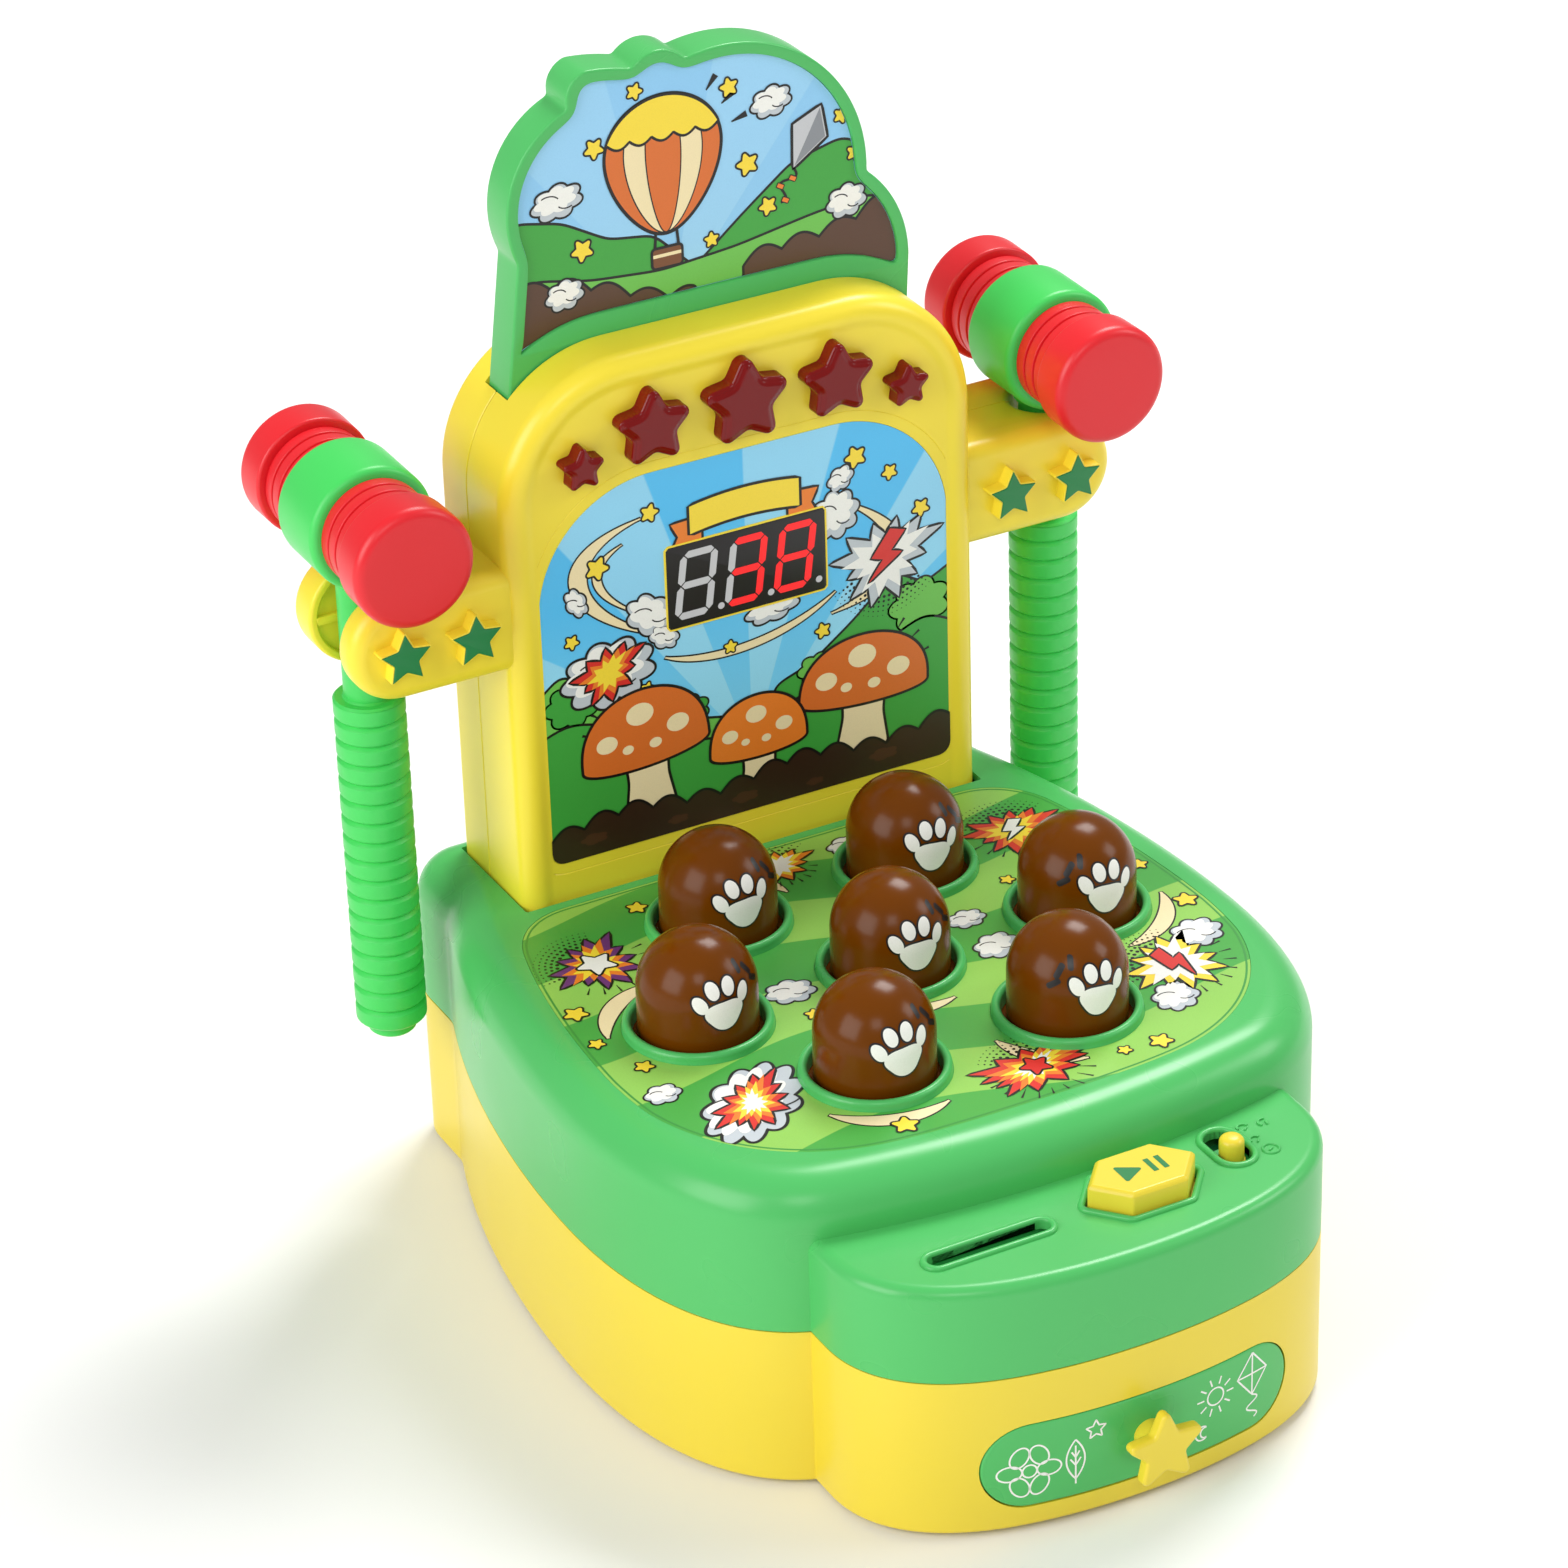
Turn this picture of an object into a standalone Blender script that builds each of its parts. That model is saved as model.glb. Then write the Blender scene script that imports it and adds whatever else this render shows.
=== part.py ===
"""Mole pounding game: a free-standing toy with seven sprung moles, a score tower and two hammers.

Metres, +Z up. The floor is z = 0, the player stands at -Y, and x = 0 is the middle plane. The sizes
below count y from the middle mole; the whole toy is then moved so that the origin lies under the
middle of its bounding box.
"""
import bpy
import bmesh
from math import atan2, cos, hypot, pi, sin, sqrt
from mathutils import Vector

# General sizes
GAP = 0.0003            # clearance between pieces that rest on or fit in each other
OVERRUN = 0.004         # how far a cutter runs past the face it cuts
BEYOND = 0.5            # farther out than any face
WALL = 0.0022           # casing wall
FOOT_HEIGHT = 0.0015
FINE = 12               # steps round a small turned piece
ROUND = 16              # steps round a mole cap or ring

# Base casing
BODY_HALF_WIDTH = 0.109
BODY_REAR = 0.134
BODY_FRONT = 0.0975
BASE_BOTTOM = FOOT_HEIGHT + GAP
SEAM_Z = 0.051
FIELD_Z = 0.0965
FIELD_WALL = 0.0025
FIELD_ROUNDING = 0.013
CONSOLE_HALF_WIDTH = 0.075
CONSOLE_BACK = 0.060
CONSOLE_FRONT = 0.1385
CONSOLE_Z = 0.0805
CONSOLE_ROUNDING = 0.0032
BOTTOM_ROUNDING = 0.0015
BODY_SHOULDER_SHARE = 0.826 # its width beside the tower, as a share
BODY_SHARES = (
    ((0.697, 1.0),), ((0.768, 1.0), (BODY_SHOULDER_SHARE, 0.953), (BODY_SHOULDER_SHARE, 0.896)),
    ((BODY_SHOULDER_SHARE, 0.769),),
    ((0.945, 0.507), (1.0, 0.187), (1.0, -0.103)), ((1.0, -0.513), (0.89, -0.862), (0.624, -0.928)),
    ((0.459, -0.969), (0.229, -1.0), (0.0, -1.0)))
CONSOLE_SHARES = (
    ((1.0, 1.0),), ((1.0, -0.70),), ((1.0, -0.866), (0.733, -0.953), (0.4, -0.982)),
    ((0.27, -0.995), (0.13, -1.0), (0.0, -1.0)))

# Playing field: two, three and two moles in rows
LABEL_MARGIN = 0.0005       # between the label and the casing's rounding
LABEL_HALF_WIDTH = BODY_HALF_WIDTH - FIELD_ROUNDING - LABEL_MARGIN
MOLE_PITCH_SHARE = 0.31937
MOLE_PITCH_X = LABEL_HALF_WIDTH * MOLE_PITCH_SHARE
MOLE_PITCH_Y = 0.0457
MOLE_ROWS = ((-1, (-1, 1)), (0, (-2, 0, 2)), (1, (-1, 1)))
LABEL_REAR = 0.076
LABEL_FRONT = 0.0815
LABEL_THICKNESS = 0.0005
LABEL_SHARES = (
    ((0.68, 1.0),), ((0.80, 1.0), (0.885, 0.89), (0.91, 0.737)),
    ((0.963, 0.5), (1.005, 0.066), (1.0, -0.245)), ((0.995, -0.613), (0.785, -0.945), (0.419, -0.982)),
    ((0.31, -0.997), (0.157, -1.0), (0.0, -1.0)))
RING_RADIUS = 0.0212
RING_WALL = 0.0026
RING_RISE = 0.0028
RING_ROUNDING = 0.0012

# Mole cap, its spring and the switch under it
CAP_RADIUS = 0.017
CAP_RISE = 0.0298       # top of the dome above the field
CAP_WALL = 0.0018
CAP_FLANGE_RADIUS = 0.0203
CAP_FLANGE = 0.0015
CAP_TRAVEL = 0.007
PLUNGER_RADIUS = 0.0035
PLUNGER_DEPTH = 0.0225  # tip of the plunger below the field
SEAT_RADIUS = 0.009
SEAT_DEPTH = 0.0065     # spring seat below the field
SEAT_THICKNESS = 0.0015
SPRING_RADIUS = 0.0065
SPRING_WIRE = 0.0005
SPRING_TURNS = 4
SPRING_POINTS = 8       # points on each turn
BOARD_TOP = 0.0636
BOARD_THICKNESS = 0.0016
SWITCH_SIDE = 0.006
SWITCH_HEIGHT = 0.0030
MAIN_BOARD_MARGIN = 0.017   # past the outermost moles' middles
MAIN_BOARD_HALF_WIDTH = MOLE_PITCH_X * 2 + MAIN_BOARD_MARGIN
MAIN_BOARD_REAR = 0.066
MAIN_BOARD_FRONT = 0.062
BOSS_RADIUS = 0.0035
BOSS_INSET = 0.006

# Console controls
COIN_X = -0.0347
COIN_Y = -0.1143
COIN_SLOT_LENGTH = 0.037
COIN_SLOT_WIDTH = 0.0052
RIM_WIDTH = 0.002
RIM_RISE = 0.0011
RIM_ROUNDING = 0.0005
BUTTON_X = 0.0135
BUTTON_Y = -0.1125
BUTTON_HALF_LENGTH = 0.0170
BUTTON_HALF_WIDTH = 0.0100
BUTTON_FLAT_SHARE = 0.5     # half the straight side, as a share of the half length
BUTTON_RISE = 0.0070
BUTTON_ROUNDING = 0.0012
BUTTON_CLEARANCE = 0.0006
BUTTON_TRAVEL = 0.002
BUTTON_FLANGE = 0.0014
KNOB_X = 0.0442
SLOT_Y = -0.107
SLOT_LENGTH = 0.0170
SLOT_WIDTH = 0.0092
KNOB_RADIUS = 0.0035
KNOB_RISE = 0.0052
KNOB_Y = -0.1090        # at rest, in the middle setting
KNOB_TRAVEL = 0.009
KNOB_PLATE_LENGTH = 0.013
KNOB_PLATE_WIDTH = 0.0116
KNOB_PLATE = 0.0015
MARK_RADIUS = 0.0015
MARK_RISE = 0.0005
MARK_SHARES = ((0.712, -0.723), (0.799, -0.724), (0.711, -0.773), (0.715, -0.822))
CONTROL_BOARD_WIDTH = 0.060
CONTROL_BOARD_DEPTH = 0.022
CONTROL_BOARD_X = 0.0255

# Coin chute and drawer
CHUTE_LENGTH = 0.0400
CHUTE_WIDTH = 0.0085
CHUTE_WALL = 0.0012
CHUTE_SHIFT = 0.020     # how far the chute leads a coin towards the middle
CHUTE_BOTTOM = 0.040
DRAWER_Z = 0.0218
DRAWER_HALF_LENGTH = 0.048
DRAWER_HALF_HEIGHT = 0.0132
DRAWER_FACE = 0.0030    # thickness of the curved front plate
DRAWER_REACH = 0.020    # depth of its opening, from the middle of the front
TRAY_HALF_WIDTH = 0.036
TRAY_BOTTOM = 0.0090
TRAY_TOP = 0.0330
TRAY_BACK = 0.064
TRAY_WALL = 0.0018
DRAWER_TRAVEL = 0.050
RUNNER_WIDTH = 0.003
RUNNER_X = 0.028
STAR_KNOB_RADIUS = 0.0124
STAR_KNOB_THICKNESS = 0.004
STAR_KNOB_STAND = 0.0055
STAR_KNOB_STEM = 0.0045
STAR_VALLEY_SHARE = 0.5 # inner radius of a star over its outer radius
STAR_SOFT_SHARE = 0.16  # how much of the radius is taken off each tip's corners

# Power and sound
CELL_RADIUS = 0.00715
CELL_LENGTH = 0.0503
CELL_NIPPLE_RADIUS = 0.0026
CELL_NIPPLE = 0.0012
CELL_PITCH = 0.0152
CELL_SHIFT = 0.003      # cells sit this far in front of the middle of the bay
BAY_Y = 0.020
BAY_END_ROOM = 0.0057   # for both contacts and their clearances
BAY_LENGTH = CELL_LENGTH + BAY_END_ROOM
BAY_SIDE_ROOM = 0.0093  # for the door's screw block
BAY_WIDTH = (CELL_PITCH + CELL_RADIUS) * 2 + BAY_SIDE_ROOM
BAY_WALL = 0.002
BAY_CEILING = 0.0189
CONTACT_THICKNESS = 0.0006
DOOR_THICKNESS = 0.002
DOOR_LIP = 0.0065
SCREW_RADIUS = 0.0022
SCREW_HEAD = 0.0012
SCREW_LENGTH = 0.0048
SCREW_SHANK = 0.0011
SPEAKER_Y = 0.096
SPEAKER_RADIUS = 0.0195
SPEAKER_DEPTH = 0.012
MAGNET_RADIUS = 0.010
SPEAKER_RIM = 0.003
GRILLE_HOLE = 0.0017
GRILLE_RING = 0.010
GRILLE_HOLES = 8
FOOT_RADIUS = 0.006
FOOT_SHARES = ((0.72, 0.82), (0.56, -0.80))

# Tower and arms
TOWER_HALF_WIDTH = 0.0748
TOWER_FRONT = 0.0795
TOWER_PARTING = 0.104
TOWER_REAR = 0.122
TOWER_HEIGHT = 0.1648   # above the field
TOWER_CORNER = 0.040
TOWER_ROUNDING = 0.0055
TOWER_REAR_ROUNDING = 0.003
FACE_WALL = 0.0036
FACE_INSET = 0.0075     # soft border round the recessed face
FACE_RECESS = 0.0008
ARM_TIP = 0.0125        # from the hammer's axis to the arm's end
ARM_RADIUS = 0.016
ARM_HEIGHT = 0.0923     # middle of the arm above the field
ARM_FRONT = 0.0815
ARM_ROUNDING = 0.0045
ARM_WEB = 0.003
NOTCH_WIDTH = 0.018
NOTCH_Y = 0.101
NECK_SHRINK = 0.0045    # the neck that plugs into the base is this much smaller each side
NECK_DEPTH = 0.022
BADGE_RADIUS = 0.0082
BADGE_RISE = 0.0044
BADGE_RIM = 0.0007
BADGE_INLAY = 0.0009
BADGE_SHARES = (0.239, 0.694)       # of the way from the tower's side to the arm's end
BADGE_HEIGHT = 0.0919

# Score panel, lamps and display
PANEL_MARGIN = 0.0091       # from the tower's sides
PANEL_HALF_WIDTH = TOWER_HALF_WIDTH - PANEL_MARGIN
PANEL_BOTTOM = 0.0115
PANEL_DROP = 0.0368         # this and the other drops count from the tower's top
PANEL_TOP = TOWER_HEIGHT - PANEL_DROP
PANEL_CORNER = 0.037
PANEL_SOFT = 0.004
PANEL_THICKNESS = 0.0005
DISPLAY_WIDTH = 0.0511
DISPLAY_HEIGHT = 0.0260
DISPLAY_DROP = 0.0748
DISPLAY_Z = TOWER_HEIGHT - DISPLAY_DROP
DISPLAY_DEPTH = 0.0080
DISPLAY_BOARD_MARGIN = 0.0158
DISPLAY_BOARD_WIDTH = (TOWER_HALF_WIDTH - DISPLAY_BOARD_MARGIN) * 2
DISPLAY_BOARD_HEIGHT = 0.082
DISPLAY_BOARD_DROP = 0.0528
DISPLAY_BOARD_Z = TOWER_HEIGHT - DISPLAY_BOARD_DROP
POST_SHARES = ((-1, 1), (1, 1), (-1, -0.1), (1, -0.1))
LAMP_RADIUS = 0.0134        # the middle lamp
LAMP_VALLEY_SHARE = 0.6
# Shares of the tower's half width, of its corner's radius down from its top, and of the middle lamp
LAMP_SHARES = ((-0.690, 0.7148, 0.50), (-0.390, 0.5398, 0.87), (0.0, 0.5249, 1.0),
               (0.390, 0.5398, 0.87), (0.690, 0.7148, 0.50))
LAMP_RISE = 0.0055
LAMP_ROUNDING = 0.0011
LAMP_FLANGE = 0.0010
LAMP_BACK = 0.0012

# Picture plate
PLATE_MARGIN = 0.0104
PLATE_HALF_WIDTH = TOWER_HALF_WIDTH - PLATE_MARGIN
PLATE_FRONT = 0.0975
PLATE_THICKNESS = 0.0130
PLATE_DROP = 0.0148
PLATE_CORNER_Z = TOWER_HEIGHT - PLATE_DROP  # where its lower corners leave the tower, above the field
PLATE_HEIGHT = 0.0946       # from there to its top
PLATE_TENON = 0.0080
PLATE_RIM = 0.0035
PLATE_SILL = 0.0062         # between the picture and the tower's arch
PLATE_RECESS = 0.0014
PLATE_SHARES = (
    (-0.985, 0.0, 0.0), (-0.904, 0.435, 0.21), (-0.637, 0.88, 0.205), (-0.548, 0.984, 0.03),
    (-0.3245, 0.96, 0.24), (-0.073, 0.955, 0.253), (0.798, 0.468, 0.11), (1.0, 0.174, 0.0), (0.985, 0.0, 0.0))
RIB_X = 0.040
RIB_WIDTH = 0.006
RIB_HEIGHT = 0.014

# Hammers
HEAD_HALF_LENGTH = 0.040
COLLAR_RADIUS = 0.0187
COLLAR_LENGTH = 0.024
COLLAR_ROUNDING = 0.0012
BELLOWS_RADIUS = 0.0158
BELLOWS_GROOVE = 0.0028
BELLOWS_RIBS = 3
BELLOWS_RIB = 0.0048
HEAD_CAP_RADIUS = 0.0180
HEAD_CAP_ROUNDING = 0.0030
SPIGOT_RADIUS = 0.0120
SPIGOT_LENGTH = 0.0080
BELLOWS_WALL = 0.002
HANDLE_LENGTH = 0.166       # from the head's axis to the end of the grip
NECK_RADIUS = 0.0071
GRIP_LENGTH = 0.106
GRIP_RADIUS = 0.0103
GRIP_GROOVE = 0.0012
GRIP_RIBS = 17
PLUG_RADIUS = 0.0069
PLUG_LENGTH = 0.0037
HAMMER_CLEARANCE = 0.009666 # between a stored grip and the base's side

FIELD_TOP_OF_TOWER = FIELD_Z + TOWER_HEIGHT
ARM_Z = FIELD_Z + ARM_HEIGHT
BOARD_BOTTOM = BOARD_TOP - BOARD_THICKNESS
PANEL_Y = TOWER_FRONT + FACE_RECESS
HAMMER_X = BODY_HALF_WIDTH * BODY_SHOULDER_SHARE + HAMMER_CLEARANCE + GRIP_RADIUS
HAMMER_Z = ARM_Z + ARM_RADIUS + COLLAR_RADIUS + GAP
NOTCH_END = HAMMER_X - NOTCH_WIDTH / 2      # inner end of the notch
ARM_REACH = HAMMER_X + ARM_TIP


# Scene and materials

def clear_scene():
    for item in list(bpy.data.objects):
        bpy.data.objects.remove(item)


def collection(name):
    made = bpy.data.collections.new(name)
    bpy.context.scene.collection.children.link(made)
    return made


def material(name, colour, roughness, metallic=0.0, alpha=1.0):
    made = bpy.data.materials.new(name)
    made.use_nodes = True
    shader = made.node_tree.nodes["Principled BSDF"]
    shader.inputs["Base Color"].default_value = (*colour, 1.0)
    shader.inputs["Roughness"].default_value = roughness
    shader.inputs["Metallic"].default_value = metallic
    shader.inputs["Alpha"].default_value = alpha
    return made


# Outlines, as lists of (x, y)

def bezier(start, handle_a, handle_b, end, steps=5):
    points = []
    for step in range(1, steps + 1):
        t = step / steps
        weights = ((1 - t) ** 3, 3 * t * (1 - t) ** 2, 3 * t * t * (1 - t), t ** 3)
        points.append(tuple(sum(w * p[k] for w, p in zip(weights, (start, handle_a, handle_b, end)))
                            for k in (0, 1)))
    return points


def half_outline(pieces, half_width, rear, front):
    """The right half, from the rear on the middle plane round to the front."""
    def place(share):
        return (share[0] * half_width, share[1] * (rear if share[1] > 0 else front))
    points = [(0.0, rear)]
    for piece in pieces:
        targets = [place(share) for share in piece]
        if len(targets) == 1:
            points.append(targets[0])
        else:
            points += bezier(points[-1], *targets)
    return points


def both_halves(right):
    return right + [(-x, y) for x, y in reversed(right[1:-1])]


def arc(centre, radius, start, end, steps):
    return [(centre[0] + radius * cos(start + (end - start) * k / steps),
             centre[1] + radius * sin(start + (end - start) * k / steps)) for k in range(steps + 1)]


def circle(x, y, radius, steps=FINE, phase=0.0):
    """Its first point stands a share of a step round from +x."""
    start = 2 * pi * phase / steps
    return arc((x, y), radius, start, start + 2 * pi * (steps - 1) / steps, steps - 1)


def rectangle(x0, x1, y0, y1):
    return [(x0, y0), (x1, y0), (x1, y1), (x0, y1)]


def arch(half_width, bottom, top, corner, foot_corner=0.0, steps=7):
    """A panel with round top corners, and small round ones at its foot if asked."""
    side = half_width - corner
    points = arc((side, top - corner), corner, 0.0, pi / 2, steps)
    points += arc((-side, top - corner), corner, pi / 2, pi, steps)
    if not foot_corner:
        return points + [(-half_width, bottom), (half_width, bottom)]
    side = half_width - foot_corner
    points += arc((-side, bottom + foot_corner), foot_corner, pi, 1.5 * pi, 3)
    return points + arc((side, bottom + foot_corner), foot_corner, 1.5 * pi, 2 * pi, 3)


def stadium(half_length, radius, x=0.0, y=0.0, steps=7):
    side = half_length - radius
    return arc((x + side, y), radius, -pi / 2, pi / 2, steps) + \
        arc((x - side, y), radius, pi / 2, 1.5 * pi, steps)


def turned_quarter(points, x, y):
    """The same outline with its long way along y."""
    return [(x - q, y + p) for p, q in points]


def star(x, y, radius, valley_share=STAR_VALLEY_SHARE):
    """Five points, each blunted at its tip."""
    soft = STAR_SOFT_SHARE
    points = []
    for k in range(5):
        angle = pi / 2 + 2 * pi * k / 5
        for side in (-1, 0, 1):
            reach = radius * (1 - soft * abs(side))
            turn = angle + side * soft * 0.62
            points.append((x + reach * cos(turn), y + reach * sin(turn)))
        valley = angle + pi / 5
        reach = radius * valley_share
        points.append((x + reach * cos(valley), y + reach * sin(valley)))
    return points


def hexagon(x, y, half_length, half_width):
    flat = half_length * BUTTON_FLAT_SHARE
    return [(x + half_length, y), (x + flat, y + half_width), (x - flat, y + half_width),
            (x - half_length, y), (x - flat, y - half_width), (x + flat, y - half_width)]


def inset(points, distance):
    """The outline moved inwards; it must run anticlockwise or clockwise without crossing itself."""
    area = sum(a[0] * b[1] - b[0] * a[1] for a, b in zip(points, points[1:] + points[:1]))
    sense = 1 if area > 0 else -1
    moved = []
    for before, here, after in zip(points[-1:] + points[:-1], points, points[1:] + points[:1]):
        first = Vector((here[0] - before[0], here[1] - before[1])).normalized()
        second = Vector((after[0] - here[0], after[1] - here[1])).normalized()
        normal = Vector((-first.y - second.y, first.x + second.x)) * sense
        normal.normalize()
        lean = max(0.35, normal.dot(Vector((-first.y, first.x)) * sense))
        moved.append((here[0] + normal.x * distance / lean, here[1] + normal.y * distance / lean))
    return moved


def bulged(start, end, share, steps):
    """An arc from start to end that stands out to its left by a share of the chord."""
    chord = hypot(end[0] - start[0], end[1] - start[1])
    rise = chord * share
    if not share:
        return [end]
    radius = (chord * chord / 4 + rise * rise) / (2 * rise)
    middle = ((start[0] + end[0]) / 2, (start[1] + end[1]) / 2)
    left = ((start[1] - end[1]) / chord, (end[0] - start[0]) / chord)
    centre = (middle[0] + left[0] * (rise - radius), middle[1] + left[1] * (rise - radius))
    first = atan2(start[1] - centre[1], start[0] - centre[0])
    last = atan2(end[1] - centre[1], end[0] - centre[0])
    if last > first:
        last -= 2 * pi
    return arc(centre, radius, first, last, steps)[1:]


def body_outline():
    return both_halves(half_outline(BODY_SHARES, BODY_HALF_WIDTH, BODY_REAR, BODY_FRONT))


def console_outline():
    return both_halves(half_outline(CONSOLE_SHARES, CONSOLE_HALF_WIDTH, -CONSOLE_BACK, CONSOLE_FRONT))


def field_outline():
    return both_halves(half_outline(LABEL_SHARES, LABEL_HALF_WIDTH, LABEL_REAR, LABEL_FRONT))


def plate_outline():
    """The lobed picture plate, from its lower left corner round the top."""
    base = FIELD_Z + PLATE_CORNER_Z
    corners = [(x * PLATE_HALF_WIDTH, base + z * PLATE_HEIGHT, bulge) for x, z, bulge in PLATE_SHARES]
    points = [corners[0][:2]]
    for here, after in zip(corners, corners[1:]):
        points += bulged(here[:2], after[:2], here[2], 7 if here[2] > 0.2 else 4)
    return points


def mole_places():
    return [(column * MOLE_PITCH_X, row * MOLE_PITCH_Y) for row, columns in MOLE_ROWS for column in columns]


# Solids

def place_mesh(name, mesh, where, slot=None):
    if slot:
        mesh.materials.clear()
        mesh.materials.append(slot)
    made = bpy.data.objects.new(name, mesh)
    where.objects.link(made)
    return made


def plate(name, loops, low, high, slot=None, where=None, upright=False, rounding=0.0, steps=1, origin=None):
    """A flat outline, thick from low to high along z, or along y when it stands upright.

    Loops inside the first cut holes. Rounding takes both rims.
    """
    origin = origin or Vector((0.0, 0.0, 0.0))
    outline = bpy.data.curves.new(name, "CURVE")
    outline.dimensions = "2D"
    outline.fill_mode = "BOTH"
    outline.extrude = (high - low) / 2 - rounding
    outline.bevel_depth = rounding
    outline.bevel_resolution = steps
    outline.offset = -rounding
    for loop in loops:
        spline = outline.splines.new("POLY")
        spline.points.add(len(loop) - 1)
        for point, (x, y) in zip(spline.points, loop):
            point.co = (x, y, 0.0, 1.0)
        spline.use_cyclic_u = True
    shape = bpy.data.objects.new(name, outline)
    bpy.context.scene.collection.objects.link(shape)
    bpy.context.view_layer.update()
    mesh = bpy.data.meshes.new_from_object(shape.evaluated_get(bpy.context.evaluated_depsgraph_get()))
    bpy.data.objects.remove(shape)
    bpy.data.curves.remove(outline)
    solid = bmesh.new()
    solid.from_mesh(mesh)
    bmesh.ops.remove_doubles(solid, verts=solid.verts, dist=GAP / 100)
    bmesh.ops.dissolve_limit(solid, angle_limit=pi / 1000, verts=solid.verts, edges=solid.edges)
    middle = (low + high) / 2
    for vertex in solid.verts:
        x, y, z = vertex.co
        vertex.co = Vector((x, middle - z, y)) if upright else Vector((x, y, middle + z))
        vertex.co -= origin
    bmesh.ops.recalc_face_normals(solid, faces=solid.faces)
    solid.to_mesh(mesh)
    solid.free()
    mesh.name = name
    made = place_mesh(name, mesh, where or CUTTERS, slot)
    made.location = origin
    return made


def box(name, low, high, slot=None, where=None):
    mesh = bpy.data.meshes.new(name)
    solid = bmesh.new()
    bmesh.ops.create_cube(solid, size=1.0)
    for vertex in solid.verts:
        vertex.co = Vector([(a + b) / 2 + c * (b - a) for a, b, c in zip(low, high, vertex.co)])
    solid.to_mesh(mesh)
    solid.free()
    return place_mesh(name, mesh, where or CUTTERS, slot)


def turned(name, profile, steps, slot=None, where=None):
    """A closed (radius, z) profile turned about z; it starts at the outer side's top."""
    mesh = bpy.data.meshes.new(name)
    closed = profile[0][0] > 0 or profile[-1][0] > 0
    edges = [(k, k + 1) for k in range(len(profile) - 1)]
    if closed:
        edges.append((len(profile) - 1, 0))
    mesh.from_pydata([(radius, 0.0, z) for radius, z in profile], edges, [])
    made = place_mesh(name, mesh, where or CUTTERS, slot)
    screw = made.modifiers.new("turn", "SCREW")
    screw.steps = steps
    screw.render_steps = steps
    screw.use_merge_vertices = True
    screw.merge_threshold = GAP / 100
    return made


def as_cutter(tool):
    for holder in list(tool.users_collection):
        holder.objects.unlink(tool)
    CUTTERS.objects.link(tool)
    tool.hide_render = True
    tool.display_type = "WIRE"


def combine(target, operation, tools):
    for tool in tools:
        step = target.modifiers.new(tool.name, "BOOLEAN")
        step.operation = operation
        step.object = tool
        as_cutter(tool)


def cut(target, *tools):
    combine(target, "DIFFERENCE", tools)


def fuse(target, *tools):
    combine(target, "UNION", tools)


def smooth(made, angle=pi / 6):
    made.data.shade_smooth()
    made.data.set_sharp_from_angle(angle=angle)


# Base casing

def casing_blank(name, bottom, slot):
    """Outside of the upper casing, whole down to the given height."""
    blank = plate(name, [body_outline()], bottom - FIELD_ROUNDING - OVERRUN, FIELD_Z, slot, PARTS,
                  rounding=FIELD_ROUNDING, steps=2)
    fuse(blank, plate("console_block", [console_outline()], bottom - FIELD_ROUNDING - OVERRUN, CONSOLE_Z,
                      rounding=CONSOLE_ROUNDING, steps=1))
    return blank


def button_outline(grow):
    reach = grow * sqrt(2)
    return hexagon(BUTTON_X, BUTTON_Y, BUTTON_HALF_LENGTH + reach, BUTTON_HALF_WIDTH + grow)


def slot_outline(length, width, grow, x, y):
    return stadium(length / 2 + grow, width / 2 + grow, x, y, steps=5)


def knob_slot(grow):
    return turned_quarter(slot_outline(SLOT_LENGTH, SLOT_WIDTH, grow, 0.0, 0.0), KNOB_X, SLOT_Y)


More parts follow.
